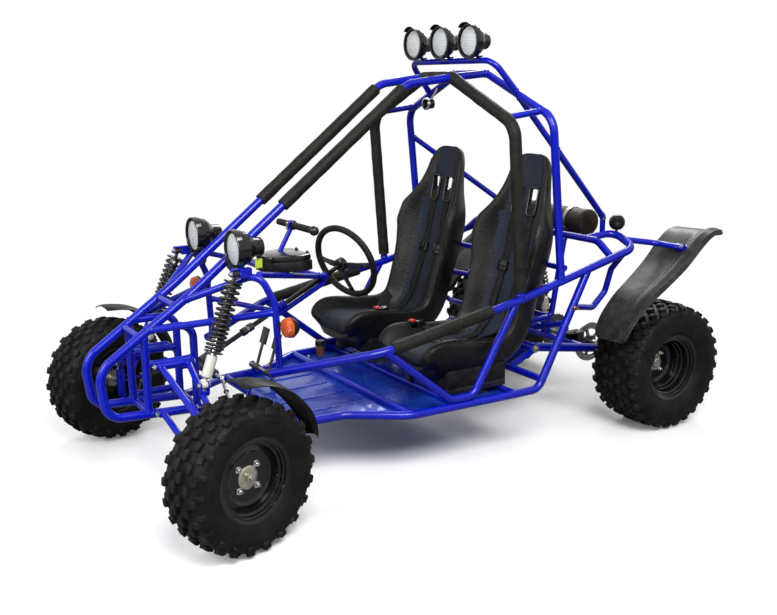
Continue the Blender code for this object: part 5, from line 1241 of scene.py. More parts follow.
def side_frame():
    """Left side rail with its strut, the tail bracing and the stay of the rear fender."""
    p = Piece()
    p.pipe(rail_route(), TUBE_R, "blue", 20)
    base = FLOOR_Z + 2 * TUBE_R - 0.002
    strut = [rail_point(1.322), at(1.040, FLOOR_REAR[1] - 0.016, base),
             at(0.940, FLOOR_REAR[1] - 0.010, base), rail_point(0.735)]
    p.pipe(arc_path(strut, 0.060), TUBE_R - 0.001, "blue")
    for end, other in ((0, 1), (3, 2)):
        axis = (strut[other] - strut[end]).normalized()
        p.weld(strut[end] + axis * (TUBE_R + 0.002), axis, TUBE_R - 0.001)
    tail = [rail_point(0.178), at(0.184, 0.428, 0.672), at(0.192, 0.406, 0.575), at(0.262, 0.408, 0.515),
            riser_point(0.562)]
    p.pipe(arc_path(tail, 0.03), THIN_R, "blue")
    on_fender, normal, along = fender_rest()
    elbow = Vector((on_fender.x, 0.470, on_fender.z))
    p.pipe(arc_path([at(0.107, 0.415, 0.786), elbow, on_fender], 0.05), THIN_R, "blue")
    p.bar(on_fender - ACROSS * 0.020, on_fender + ACROSS * 0.024, along, 0.013, 0.0105, "blue", 0.004)
    p.nut(on_fender + ACROSS * 0.014 + normal * 0.0105, normal, 0.012, 0.006)
    tail_lamp(p)
    # Brass fitting on the riser
    p.lathe([(0, 0.009), (0.006, 0.009), (0.006, 0.006), (0.020, 0.006), (0.020, 0)],
            riser_point(0.560) + ACROSS * 0.015, ACROSS, "brass", 20)
    return p


def hooter(p):
    """Silver ring on a black drum, on the right slope of the rear hoop."""
    horn = at(0.650, -0.222, 1.338)
    p.rod(horn, at(REAR_HOOP_X, -0.235, 1.408), 0.005, "steel", 12)
    p.lathe([(-0.020, 0), (-0.020, 0.020), (0.010, 0.022), (0.014, 0.018), (0.014, 0)], horn, FORWARD,
            "gloss", 32)
    p.lathe([(0.008, 0.0205), (0.008, 0.0260), (0.016, 0.0260), (0.018, 0.0205)], horn, FORWARD, "chrome",
            32, True)


def roll_cage():
    """Both hoops, the tubes between them, the braces, the light bar and the harness bar."""
    p = Piece()
    p.pipe(front_hoop_route(), TUBE_R, "blue", 20)
    p.pipe(rear_hoop_route(), TUBE_R, "blue", 20)
    share = (0.435 - HOOP_TOP_Y) / (RAIL_Y - HOOP_TOP_Y)
    front_z = FRONT_HOOP_TOP + share * (FRONT_HOOP_SHOULDER - FRONT_HOOP_TOP)
    rear_z = REAR_HOOP_TOP + share * (REAR_HOOP_SHOULDER - REAR_HOOP_TOP)
    share = (0.295 - HOOP_TOP_Y) / (HOOP_Y - HOOP_TOP_Y)
    slope_z = REAR_HOOP_TOP + share * (REAR_HOOP_SHOULDER - REAR_HOOP_TOP)
    mark = p.mark()
    p.joint(at(FRONT_HOOP_X, 0.090, FRONT_HOOP_TOP), at(REAR_HOOP_X, 0.108, REAR_HOOP_TOP), TUBE_R - 0.001)
    p.joint(at(FRONT_HOOP_X, 0.432, front_z), at(REAR_HOOP_X, 0.426, rear_z), THIN_R)
    brace_foot = at(0.156, 0.340, 0.876)
    p.joint(at(0.562, HOOP_Y, 1.190), brace_foot, THIN_R)
    p.block(brace_foot + Vector((-0.012, -0.005, -0.076)), brace_foot + Vector((0.012, 0.005, 0.010)),
            "blue", 0.002)
    p.bolt(brace_foot + Vector((0, -0.0055, -0.004)), brace_foot + Vector((0, 0.0055, -0.004)), 0.005)
    for foot, axis in ((front_hoop_route()[0], FORWARD * 0.074 + UP),
                       (rear_hoop_route()[0], FORWARD * 0.086 + UP)):
        p.weld(foot + axis.normalized() * 0.014, axis, TUBE_R)
    p.mirror_from(*mark)
    p.joint(at(REAR_HOOP_X, 0.295, slope_z), brace_foot, THIN_R)
    leg_foot = at(REAR_HOOP_X, 0.300, slope_z)
    bar = full_width([leg_foot, at(LIGHT_BAR_X, LIGHT_BAR_Y, LIGHT_BAR_Z)])
    p.pipe(arc_path(bar, 0.055), THIN_R, "blue")
    for side in (-1, 1):
        foot = Vector((leg_foot.x, side * leg_foot.y, leg_foot.z))
        knee = at(LIGHT_BAR_X, side * LIGHT_BAR_Y, LIGHT_BAR_Z)
        p.weld(foot.lerp(knee, 0.12), knee - foot, THIN_R)
    p.joint(at(HARNESS_X, -RAIL_Y, HARNESS_Z), at(HARNESS_X, RAIL_Y, HARNESS_Z), THIN_R)
    hooter(p)
    return p


def rear_frame():
    """Rear cross tube, engine cradle and the brackets of the shock and the muffler."""
    p = Piece()
    end = rail_point(CROSS_TUBE_X) - ACROSS * 0.006
    route = arc_path(full_width([end, at(CROSS_TUBE_X, 0.400, CROSS_TUBE_Z)]), 0.08)
    p.pipe(route, TUBE_R - 0.001, "blue", 20)
    top_x, top_z = REAR_SHOCK_TOP
    for side in (-1, 1):
        near, far = side * 0.0124, side * 0.0163
        p.block(at(top_x - 0.013, near, top_z - 0.013), at(CROSS_TUBE_X + 0.008, far, CROSS_TUBE_Z),
                "blue", 0.001)
    p.bolt(at(top_x, -0.0170, top_z), at(top_x, 0.0170, top_z), 0.005)
    for side in (-1, 1):
        y = side * CRADLE_Y
        hanger = [at(CROSS_TUBE_X, y, CROSS_TUBE_Z), at(0.305, y, CRADLE_Z), at(0.474, y, CRADLE_Z)]
        p.pipe(arc_path(hanger, 0.03), THIN_R, "blue")
        p.weld(hanger[0].lerp(hanger[1], 0.05), hanger[1] - hanger[0], THIN_R)
    p.joint(at(0.312, -CRADLE_Y, CRADLE_Z), at(0.312, CRADLE_Y, CRADLE_Z), THIN_R, "blue", THIN_R)
    p.pipe(arc_path(full_width([riser_point(0.500), at(0.470, 0.300, CRADLE_Z)]), 0.04), THIN_R, "blue")
    for side in (-1, 1):
        y = side * 0.150
        p.block(at(MUFFLER_X - 0.016, y - 0.003, 0.770), at(CROSS_TUBE_X, y + 0.003, 0.792), "blue",
                0.0012)
        # Strap round the muffler
        p.lathe([(-0.009, MUFFLER_R + 0.0006), (-0.009, MUFFLER_R + 0.0024), (0.009, MUFFLER_R + 0.0024),
                 (0.009, MUFFLER_R + 0.0006)], at(MUFFLER_X, y, MUFFLER_Z), ACROSS, "steel", 40, True)
    return p


def foam_sleeve(path, start, end):
    """Slightly uneven foam over a stretch of tube, held by cable ties."""
    p = Piece()
    stretch = cut_path(path, start, end)
    fine = [stretch[0]]
    for a, b in zip(stretch, stretch[1:]):
        steps = max(1, int((b - a).length / FOAM_STEP))
        fine += [a.lerp(b, (k + 1) / steps) for k in range(steps)]
    count = len(fine)

    def radius(share):
        wave = 0.00035 * math.sin(share * count * 0.9) + 0.00030 * math.sin(share * count * 0.37 + 1.0)
        return FOAM_R - 0.0006 + wave

    p.pipe(fine, radius, "foam", 28, dome=0.004)
    directions = side_frames(fine)
    for share in (0.04, 0.35, 0.66, 0.96):
        k = min(count - 1, int(share * count))
        p.weld(fine[k], directions[k][2], FOAM_R - 0.0012, "plastic", 0.0014)
    return p


# Wheels

def block_frustum(p, centre, across, around, out, size):
    """Tread block: wide foot, straight flank and a slightly crowned top."""
    width, length, height = size
    rings = []
    for share, grow in ((0.0, 1.18), (0.55, 1.0), (0.9, 0.97), (1.0, 0.84)):
        ring = []
        for a, b in ((-1, -0.7), (-0.75, -1), (0.75, -1), (1, -0.7), (1, 0.7), (0.75, 1), (-0.75, 1),
                     (-1, 0.7)):
            edge = centre + across * (a * width / 2 * grow) + around * (b * length / 2 * grow)
            ring.append(edge + out * (height * share))
        rings.append(ring)
    p.loft(rings, "tread")


# How much lower the crown and the tops of the blocks lie at the shoulder, and how deep a block is sunk
CROWN_DROP = 0.020
BLOCK_DROP = 0.010
BLOCK_SUNK = 0.003
LUG_SIZE = (0.026, 0.020, 0.009)
SIDEWALL_RIDGE = 0.0012


def tyre(radius, width, rim_w, pitch_count, rows, depth):
    """Knobbly tyre about the Y axis: ringed sidewalls, rounded crown, rows of blocks and shoulder lugs."""
    p = Piece()
    half = width / 2
    bead = RIM_R + 0.0012
    lip = rim_w / 2 - 0.006
    base = radius - depth
    # Half section from the bead out over the sidewall to the crown, as (along, radius)
    outer = [(lip, bead), (lip + 0.006, bead + 0.006), (half * 0.93, bead + 0.026),
             (half * 0.985, bead + 0.046), (half, (base + bead) / 2 + 0.006),
             (half * 0.985, base - 0.034), (half * 0.94, base - 0.018), (half * 0.84, base - 0.008),
             (half * 0.62, base - 0.003), (half * 0.32, base), (0, base)]
    side = []
    for a, b in zip(outer, outer[1:]):
        for share in (0, 0.25, 0.5, 0.75):
            side.append((a[0] + (b[0] - a[0]) * share, a[1] + (b[1] - a[1]) * share))
    side.append(outer[-1])
    ringed = []
    for k, (along, r) in enumerate(side):
        ridge = SIDEWALL_RIDGE if bead + 0.020 < r < base - 0.040 and k % 2 else 0.0
        ringed.append((along + ridge, r))
    inner = [(lip - 0.010, bead + 0.001), (half * 0.88, bead + 0.040), (half * 0.88, base - 0.040),
             (0, base - 0.014)]
    left = [(-along, r) for along, r in reversed(ringed[:-1])]
    lining = [(-along, r) for along, r in inner] + list(reversed(inner[:-1]))
    p.lathe(ringed + left + lining, (0, 0, 0), ACROSS, "sidewall", 96, True)
    step = 2 * math.pi / pitch_count
    for along, block_w, block_l, shift, rise in rows:
        for sign in ((-1, 1) if along else (1,)):
            for i in range(pitch_count):
                out = spoke((i + shift + (0.5 if sign < 0 else 0.0)) * step)
                around = beside(out)
                up = (out + ACROSS * (sign * rise)).normalized()
                across = (ACROSS - up * up.y).normalized()
                crown = base - CROWN_DROP * (abs(along) / half) ** 3
                centre = out * (crown - BLOCK_SUNK) + ACROSS * (sign * along)
                reach = radius - BLOCK_DROP * (abs(along) / half) ** 3 - crown + BLOCK_SUNK
                size = (block_w, block_l, reach * (0.86 if rise else 1))
                block_frustum(p, centre, across, around, up, size)
    # Shoulder lugs running down the sidewall
    for sign in (-1, 1):
        for i in range(pitch_count):
            out = spoke((i + (0.25 if sign > 0 else 0.75)) * step)
            around = beside(out)
            face = (out * 0.55 + ACROSS * (sign * 0.84)).normalized()
            across = around.cross(face).normalized()
            centre = out * (base - 0.020) + ACROSS * (sign * half * 0.88)
            block_frustum(p, centre, across, around, face, LUG_SIZE)
    return p


def rim(width, face, hub_bore, axle):
    """Stepped wheel rim about the Y axis, its outer side toward +Y, with its nuts and hub."""
    p = Piece()
    half = width / 2
    lip = RIM_R + 0.0085
    drop = RIM_R - 0.020
    inner = drop - RIM_WALL
    barrel = [(-half + 0.001, lip - 0.004), (-half, lip), (-half + 0.003, lip + 0.0005),
              (-half + 0.006, RIM_R), (-half + 0.020, RIM_R - 0.001), (-half + 0.034, drop + 0.002),
              (-half + 0.040, drop), (half - 0.040, drop), (half - 0.034, drop + 0.002),
              (half - 0.020, RIM_R - 0.001), (half - 0.006, RIM_R), (half - 0.003, lip + 0.0005),
              (half, lip), (half - 0.001, lip - 0.004), (half - 0.006, RIM_R - 0.005),
              (half - 0.012, RIM_R - 0.006), (half - 0.014, RIM_R - 0.012), (half - 0.022, RIM_R - 0.014),
              (half - 0.025, RIM_R - 0.022), (half - 0.034, inner - 0.002), (half - 0.040, inner - 0.004)]
    # Dished disc with concentric steps down to the hub face
    steps = []
    cone = half - 0.046
    while cone > face + 0.034:
        steps += [(cone, inner - 0.005), (cone - 0.003, inner - 0.009), (cone - 0.012, inner - 0.010)]
        cone -= 0.018
        inner -= 0.006
    disc = steps + [(face + 0.016, 0.088), (face + 0.014, 0.084), (face + 0.010, 0.080),
                    (face + FACE_T + 0.001, 0.072), (face + FACE_T, 0.060), (face + FACE_T, hub_bore)]
    inner = drop - RIM_WALL
    back = [(face + 0.001, hub_bore), (face, 0.060), (face + 0.002, 0.082), (face + 0.006, inner - 0.0005),
            (-half + 0.040, inner), (-half + 0.020, RIM_R - 0.005),
            (-half + 0.006, RIM_R - 0.005)]
    p.lathe(barrel + disc + back, (0, 0, 0), ACROSS, "rim", 72, True)
    p.lathe([(face - HUB_DEPTH, hub_bore), (face - HUB_DEPTH, HUB_R - 0.006),
             (face - 0.010, HUB_R - 0.004), (face - 0.008, HUB_R), (face, HUB_R), (face, hub_bore)],
            (0, 0, 0), ACROSS, "hub", 40, True)
    # Hub flange and boss on the outside
    p.lathe([(face + FACE_T, axle), (face + FACE_T, 0.0385), (face + FACE_T + 0.003, 0.0385),
             (face + FACE_T + 0.0045, 0.036), (face + FACE_T + 0.006, 0.026),
             (face + FACE_T + 0.006, axle)], (0, 0, 0), ACROSS, "hub", 40, True)
    for k in range(4):
        a = math.pi / 4 + k * math.pi / 2
        spot = Vector((WHEEL_NUT_CIRCLE * math.cos(a), face + FACE_T, WHEEL_NUT_CIRCLE * math.sin(a)))
        p.nut(spot, ACROSS, 0.015, 0.010, "chrome")
        p.rod(spot, spot + ACROSS * 0.015, 0.0042, "steel", 12)
    # Valve stem
    a = math.radians(200)
    valve = Vector((0.105 * math.cos(a), half - 0.044, 0.105 * math.sin(a)))
    p.rod(valve, valve + ACROSS * 0.026, 0.0035, "rubber", 12)
    return p


# Rows of tread blocks: place across, width, length, shift round the tyre in blocks, and tilt
FRONT_ROWS = [(0.0115, 0.017, 0.036, 0.0, 0.0), (0.040, 0.020, 0.030, 0.5, 0.10),
              (0.068, 0.019, 0.026, 0.0, 0.34)]
REAR_ROWS = [(0.0, 0.026, 0.026, 0.0, 0.0), (0.036, 0.026, 0.026, 0.5, 0.0),
             (0.072, 0.026, 0.026, 0.0, 0.12), (0.100, 0.022, 0.026, 0.5, 0.34)]


# Front suspension and steering

def arm(pivot_z):
    """Left A-arm that pivots at a height; the upper one also carries the shock."""
    p = Piece()
    outer_z = pivot_z - ARM_DROP
    outer_y = PIVOT_Y + ARM_REACH
    slope = -ARM_DROP / ARM_REACH
    neck_y = outer_y - 0.034
    neck_z = outer_z - 0.034 * slope
    for station, shift in ((ARM_FRONT_X, 0.016), (ARM_REAR_X, -0.016)):
        centre = at(station, PIVOT_Y, pivot_z)
        end = at(WHEELBASE + shift, neck_y, neck_z)
        p.joint(centre, end, ARM_R, "blue", BUSH_R)
    start = at(ARM_REAR_X - BUSH_HALF, PIVOT_Y, pivot_z)
    end = at(ARM_FRONT_X + BUSH_HALF, PIVOT_Y, pivot_z)
    length = (end - start).length
    p.lathe([(0, 0.0055), (0, BUSH_R), (length, BUSH_R), (length, 0.0055)], start, FORWARD, "blue", 28,
            True)
    for point, sign in ((start, 1), (end, -1)):
        p.lathe([(0, 0.0056), (0, BUSH_R - 0.002), (sign * -0.0002, BUSH_R - 0.002)], point, FORWARD,
                "rubber", 28)
    neck = at(WHEELBASE, neck_y, neck_z)
    p.rod(neck - FORWARD * 0.022, neck + FORWARD * 0.022, ARM_R, "blue")
    eye = at(WHEELBASE, outer_y, outer_z)
    for side in (-1, 1):
        x = side * (BUSH_HALF + 0.0023)
        p.lathe([(-0.002, 0.011), (0.002, 0.011)], eye + FORWARD * x, FORWARD, "blue", 24)
        p.bar(neck + FORWARD * x, eye + FORWARD * x, UP, 0.011, 0.002, "blue", 0.0006)
    p.bolt(eye - FORWARD * 0.0195, eye + FORWARD * 0.0195, 0.005)
    if pivot_z == UPPER_PIVOT_Z:
        base = at(*SHOCK_BASE)
        share = (base.y - PIVOT_Y) / (neck.y - PIVOT_Y)
        on_tube = at(ARM_REAR_X, PIVOT_Y, pivot_z).lerp(at(WHEELBASE - 0.016, neck_y, neck_z), share)
        for side in (-1, 1):
            x = side * 0.0137
            p.block((base.x + x - 0.002, base.y - 0.012, on_tube.z + 0.002),
                    (base.x + x + 0.002, base.y + 0.012, base.z + 0.010), "blue", 0.001)
        p.block((base.x - 0.0137, base.y - 0.011, on_tube.z - 0.004),
                (base.x + 0.0137, base.y + 0.011, on_tube.z + ARM_R), "blue", 0.002)
        p.bolt(base - FORWARD * 0.0160, base + FORWARD * 0.0160, 0.0045)
    return p


def upright():
    """Left upright between the outer ends of the arms, with the kingpin."""
    p = Piece()
    y = PIVOT_Y + ARM_REACH
    top = UPPER_PIVOT_Z - ARM_DROP
    bottom = LOWER_PIVOT_Z - ARM_DROP
    middle = (top + bottom) / 2
    p.block(at(WHEELBASE - 0.010, y + 0.007, bottom), at(WHEELBASE + 0.010, y + 0.019, top), "blue", 0.002)
    for z in (bottom, top):
        p.bush(0.0147, 0.0055, 0.0125, at(WHEELBASE, y, z), FORWARD, "blue")
    for side in (-1, 1):
        near = middle + side * 0.0456
        far = near + side * 0.007
        p.block(at(WHEELBASE - 0.014, y + 0.009, near), at(WHEELBASE + 0.014, KINGPIN_Y + 0.014, far),
                "blue", 0.002)
    pin = at(WHEELBASE, KINGPIN_Y, middle)
    p.bolt(pin - UP * 0.053, pin + UP * 0.053, 0.0060)
    return p


def knuckle():
    """Left kingpin barrel with its spindle, steering arm and fender stay, wheels straight ahead."""
    p = Piece()
    y, z = KINGPIN_Y, FRONT_TYRE_R
    nut = FRONT_TRACK / 2 + FRONT_FACE + FACE_T + 0.006
    p.bush(0.045, 0.0067, 0.0145, at(WHEELBASE, y, z), UP, "blue")
    p.lathe([(0.010, 0.016), (0.020, 0.013), (nut + 0.020 - y, 0.0098), (nut + 0.021 - y, 0.008),
             (nut + 0.021 - y, 0)], at(WHEELBASE, y, z), ACROSS, "steel", 28)
    p.nut(at(WHEELBASE, nut, z), ACROSS, 0.026, 0.014, "hub")
    arm_end = at(WHEELBASE - STEER_ARM, y, z)
    p.bar(at(WHEELBASE - 0.008, y, z), arm_end, ACROSS, 0.008, 0.005, "blue", 0.002)
    p.bush(0.006, 0.0045, 0.0105, arm_end, UP, "blue", 24)
    p.nut(arm_end + UP * 0.006, UP, 0.012, 0.006)
    turn = math.radians(FENDER_STAY_AT)
    out = spoke(turn)
    hub = at(WHEELBASE, 0, z)
    inboard = Vector((0, FRONT_TRACK / 2 - FRONT_TYRE_W / 2 - 0.011, 0))
    under = FENDER_RADIUS - 0.0035 - 0.002 - 0.0055
    foot = at(WHEELBASE - 0.008, y, z + 0.010)
    elbow = hub + inboard + Vector((-0.060, 0, 0.045))
    shoulder = hub + inboard + out * (FRONT_TYRE_R + 0.017)
    top = hub + Vector((0, FENDER_IN_Y - 0.010, 0)) + out * under
    p.pipe(arc_path([foot, elbow, shoulder, top], [0.03, 0.02]), 0.0065, "blue", 16)
    tab_end = hub + Vector((0, FENDER_IN_Y + 0.045, 0)) + out * (under + 0.0065)
    around = beside(out)
    p.bar(top, tab_end, around, 0.011, 0.0016, "blue", 0.0005)
    return p


def steered(piece, side):
    """A left piece brought to its side and turned to the steering angle of the photograph."""
    if side < 0:
        piece = piece.flipped()
    pivot = at(WHEELBASE, side * KINGPIN_Y, 0)
    turn = Matrix.Rotation(STEER_REST, 4, "Z")
    return piece.turned(Matrix.Translation(pivot) @ turn @ Matrix.Translation(-pivot))


def front_fender():
    """Blade over the back of the front tyre with a raised spine and rolled edges."""
    p = Piece()
    rows, columns = 34, 17
    grid = []
    for i in range(rows + 1):
        share = i / rows
        turn = math.radians(FENDER_START + share * (FENDER_END - FENDER_START))
        taper = 1.0 - 0.55 * max(0.0, (share - 0.55) / 0.45) ** 2 - 0.10 * (1 - share)
        if share < 0.06:
            taper *= 0.72 + 0.28 * math.sqrt(share / 0.06)
        half = (FENDER_OUT_Y - FENDER_IN_Y) / 2 * taper
        row = []
        for k in range(columns):
            across = -1 + 2 * k / (columns - 1)
            crown = 0.008 * (1 - across * across)
            spine = 0.0022 * math.exp(-(across / 0.16) ** 2)
            lift = crown + spine - 0.003 * abs(across) ** 8
            r = FENDER_RADIUS + lift + 0.035 * max(0.0, share - 0.6) - 0.0015
            row.append(at(WHEELBASE + r * math.cos(turn), (FENDER_IN_Y + FENDER_OUT_Y) / 2 + across * half,
                          FRONT_TYRE_R + r * math.sin(turn)))
        grid.append(row)
    p.shell(grid, 0.0028, "dark_fender", 0.0019)
    # Two screws over the stay
    turn = math.radians(FENDER_STAY_AT)
    for y in (FENDER_IN_Y + 0.022, FENDER_IN_Y + 0.040):
        out = spoke(turn)
        spot = at(WHEELBASE, y, FRONT_TYRE_R) + out * (FENDER_RADIUS + 0.0040)
        p.lathe([(0, 0.0065), (0.0018, 0.0058), (0.0030, 0.0035), (0.0030, 0)], spot, out, "steel", 20)
    return p


def shock_eye(p, centre, axis, half, finish):
    """Eye about the pivot bolt: fore and aft on the front shocks, across on the rear one."""
    p.bush(half, 0.0056, 0.0118, centre, FORWARD if abs(axis.y) > 0.01 else ACROSS, finish)


def shock_body(top, base, half, spring_len):
    """Upper part of a shock: eye, spring seat, collar and cylinder."""
    p = Piece()
    axis = (base - top).normalized()
    shock_eye(p, top, axis, half, "spring")
    seat = top + axis * 0.026
    p.rod(top + axis * 0.008, seat + axis * 0.004, 0.0065, "spring")
    p.lathe([(0, 0), (0, SPRING_R - 0.006), (0.001, SPRING_R), (0.006, SPRING_R),
             (0.009, SPRING_R - 0.010), (0.012, 0.0165), (0.030, 0.0160)], seat, axis, "spring", 40)
    body_len = spring_len - 0.010 - 0.026
    p.lathe([(0.004, 0.0150), (0.012, 0.0160), (body_len - 0.006, 0.0160), (body_len, 0.0140),
             (body_len, 0.0068)], seat, axis, "spring", 32)
    # Ringed preload collar under the seat
    for k in range(4):
        p.weld(seat + axis * (0.014 + 0.004 * k), axis, 0.0158, "steel", 0.0012)
    return p


def shock_rod(top, base, half, leg_len, piston_len):
    """Lower part of a shock: eye, enamelled leg with rings and polished rod."""
    p = Piece()
    axis = (base - top).normalized()
    shock_eye(p, base, axis, half, "cream")
    p.rod(base - axis * 0.008, base - axis * 0.030, 0.0065, "cream")
    p.lathe([(-0.022, 0), (-0.024, 0.0120), (-0.030, 0.0186), (-(leg_len - 0.006), 0.0186),
             (-leg_len, 0.0170), (-leg_len, 0.0066)], base, axis, "cream", 36)
    for k in (0.35, 0.6, 0.85):
        p.weld(base - axis * (leg_len * k), axis, 0.0180, "cream", 0.0010)
    p.rod(base - axis * (leg_len - 0.004), base - axis * piston_len, 0.0064, "chrome", 24)
    return p


def coil(start, axis, length, turns):
    """Coil spring, closer wound at its lower end, on a perch ring that the leg passes through."""
    p = Piece()
    mean = SPRING_R - SPRING_WIRE_R
    side = axis.orthogonal().normalized()
    other = axis.cross(side)
    steps = turns * 28
    path = []
    lead = SPRING_WIRE_R
    for i in range(steps + 1):
        share = i / steps
        a = 2 * math.pi * turns * share
        run = lead + (length - 2 * lead) * (1.28 * share - 0.28 * share * share)
        path.append(start + axis * run + side * (mean * math.cos(a)) + other * (mean * math.sin(a)))
    p.pipe(path, SPRING_WIRE_R + 0.0003, "spring", 10)
    p.lathe([(length, SPRING_BORE), (length, SPRING_R), (length + 0.004, SPRING_R),
             (length + 0.007, SPRING_R - 0.008), (length + 0.007, SPRING_BORE)], start, axis, "spring",
            36, True)
    return p


def tie_rod(side):
    """Rod from the rack's ball to the knuckle's arm, with its lock nuts."""
    p = Piece()
    inner = at(RACK_X, RACK_SHIFT + side * (RACK_HALF + TIE_BALL_HALF + 0.0003), RACK_Z)
    end = Vector((-STEER_ARM * math.cos(STEER_REST), RACK_SHIFT, 0))
    outer = at(WHEELBASE, side * KINGPIN_Y, FRONT_TYRE_R - TIE_ROD_DROP - 0.005) + end
    axis = (outer - inner).normalized()
    ball = []
    for k in range(11):
        height = math.sqrt(max(0, 1 - (-1 + 0.2 * k) ** 2))
        ball.append((-0.0100 + 0.0200 * k / 10, max(0.0001, 0.0100 * height)))
    p.lathe(ball, inner, ACROSS, "chrome", 24)
    p.rod(inner + axis * 0.006, outer - axis * 0.008, 0.0060, "steel", 20)
    for share in (0.16, 0.80):
        p.nut(inner.lerp(outer, share), axis, 0.014, 0.008, "dark_steel")
    p.lathe([(-0.005, 0.0040), (-0.0050, 0.0095), (0.0, 0.0105), (0.005, 0.0095), (0.005, 0.0040)], outer,
            UP, "steel", 24, True)
    p.lathe([(0.004, 0.008), (0.009, 0.0065), (0.012, 0.005)], outer - UP * 0.001, UP, "rubber", 20)
    return p


def rack():
    """Polished bar that slides in the housing."""
    p = Piece()
    right, left = (at(RACK_X, RACK_SHIFT + side * RACK_HALF, RACK_Z) for side in (-1, 1))
    p.rod(right, left, RACK_R - 0.0002, "chrome", 24)
    return p


def steering_wheel():
    """Ring with a ribbed grip, boss, three drilled spokes and the column with its joint."""
    p = Piece()
    hub, pinion, axis = column_axis()
    side = axis.cross(UP).normalized()
    up = side.cross(axis).normalized()
    ring = [hub + (side * math.cos(a) + up * math.sin(a)) * STEERING_WHEEL_R
            for a in (2 * math.pi * k / WHEEL_STEPS for k in range(WHEEL_STEPS))]
    p.pipe(ring, STEERING_GRIP_R + 0.0012, "rubber", 16, closed=True)
    # Finger swells on the grip
    for k in range(0, WHEEL_STEPS, 2):
        along = (ring[(k + 1) % WHEEL_STEPS] - ring[k]).normalized()
        p.weld(ring[k], along, STEERING_GRIP_R + 0.0002, "rubber", 0.0014)
    boss = hub + axis * 0.034
    p.lathe([(-0.022, 0), (-0.021, 0.020), (-0.016, 0.029), (0.008, 0.030), (0.012, 0.026), (0.012, 0)],
            boss, axis, "gloss", 48)
    p.lathe([(-0.0245, 0), (-0.0240, 0.014), (-0.022, 0.017)], boss, axis, "chrome", 40)
    for degrees in (0, 180, 270):
        a = math.radians(degrees)
        direction = side * math.cos(a) + up * math.sin(a)
        across = axis.cross(direction).normalized()
        start = boss + direction * 0.020
        end = hub + direction * (STEERING_WHEEL_R - 0.004)
        middle = start.lerp(end, 0.45) + axis * 0.004
        p.bar(start, middle, across, 0.015, 0.0018, "dark_steel", 0.0008)
        p.bar(middle - direction * 0.003, end, across, 0.013, 0.0018, "dark_steel", 0.0008)
        for share in (0.32, 0.52, 0.72):
            spot = start.lerp(end, share)
            p.bush(0.0032, 0.0052, 0.0066, spot, axis, "steel", 20)
    p.rod(boss, pinion - axis * 0.006, COLUMN_R - 0.0003, "gloss", 24)
    # Universal joint below the lower bearing
    knuckle_at = (hub + axis * BEARING_RUNS[1]).lerp(pinion, 0.45)
    for k in (-1, 1):
        p.bush(0.010, 0.0102, 0.0160, knuckle_at + axis * (0.016 * k), axis, "dark_steel", 24)
    p.lathe([(-0.008, 0), (-0.008, 0.012), (0.008, 0.012), (0.008, 0)], knuckle_at, axis, "steel", 20)
    return p


def pedal(y):
    """Pedal at a place across, with a ribbed plate on its arm."""
    p = Piece()
    pivot = at(PEDAL_X, y, PEDAL_Z)
    lean = Vector((-PEDAL_LEAN, 0, PEDAL_RISE)).normalized()
    pad = at(PEDAL_X - PEDAL_LEAN, y, PEDAL_Z + PEDAL_RISE)
    p.bush(0.017, 0.0068, 0.0128, pivot, ACROSS, "dark_steel")
    p.rod(pivot + lean * 0.010, pad - lean * 0.004, 0.0064, "dark_steel")
    p.bar(pad - lean * 0.034, pad + lean * 0.034, ACROSS, 0.026, 0.0040, "dark_steel", 0.0015)
    face = lean.cross(ACROSS).normalized()
    if face.x > 0:
        face = -face
    for k in range(6):
        spot = pad + lean * (-0.027 + 0.0108 * k) + face * 0.0040
        p.bar(spot - ACROSS * 0.022, spot + ACROSS * 0.022, lean, 0.0034, 0.0016, "rubber", 0.0008)
    return p


# Seats

# Sections from the cushion's front to the top: station, height, half width, bolster and thickness
SEAT_STATIONS = [
    (1.098, 0.384, 0.140, 0.012, 0.075),
    (1.116, 0.424, 0.172, 0.036, 0.115),
    (1.080, 0.450, 0.186, 0.058, 0.130),
    (0.960, 0.432, 0.186, 0.064, 0.120),
    (0.820, 0.408, 0.183, 0.066, 0.085),
    (0.715, 0.412, 0.183, 0.075, 0.085),
    (0.655, 0.480, 0.183, 0.078, 0.080),
    (0.620, 0.590, 0.183, 0.080, 0.070),
    (0.585, 0.700, 0.196, 0.078, 0.065),
    (0.560, 0.800, 0.216, 0.094, 0.060),
    (0.545, 0.880, 0.208, 0.078, 0.055),
    (0.530, 0.950, 0.160, 0.040, 0.050),
    (0.515, 1.020, 0.132, 0.020, 0.050),
    (0.500, 1.085, 0.118, 0.014, 0.048),
    (0.487, 1.130, 0.095, 0.008, 0.042),
    (0.478, 1.150, 0.055, 0.004, 0.030),
]
# Height of the padded face at shares of the half width, from the middle to the edge
BOLSTER_RISE = [(0.0, 0.0), (0.35, 0.03), (0.58, 0.10), (0.68, 0.52), (0.79, 0.90), (0.88, 1.0),
                (0.95, 0.86), (1.0, 0.50)]
BOLSTER_SWELL = 0.006
SLOT_HALF = 0.025
CLOTH_SHARE = 0.58
# How far the harness stands off the padded face at each seat station that it crosses
STRAP_RISE = {11: 0.005, 10: 0.005, 9: 0.005, 8: 0.006, 7: 0.009, 6: 0.016, 5: 0.020, 4: 0.007}


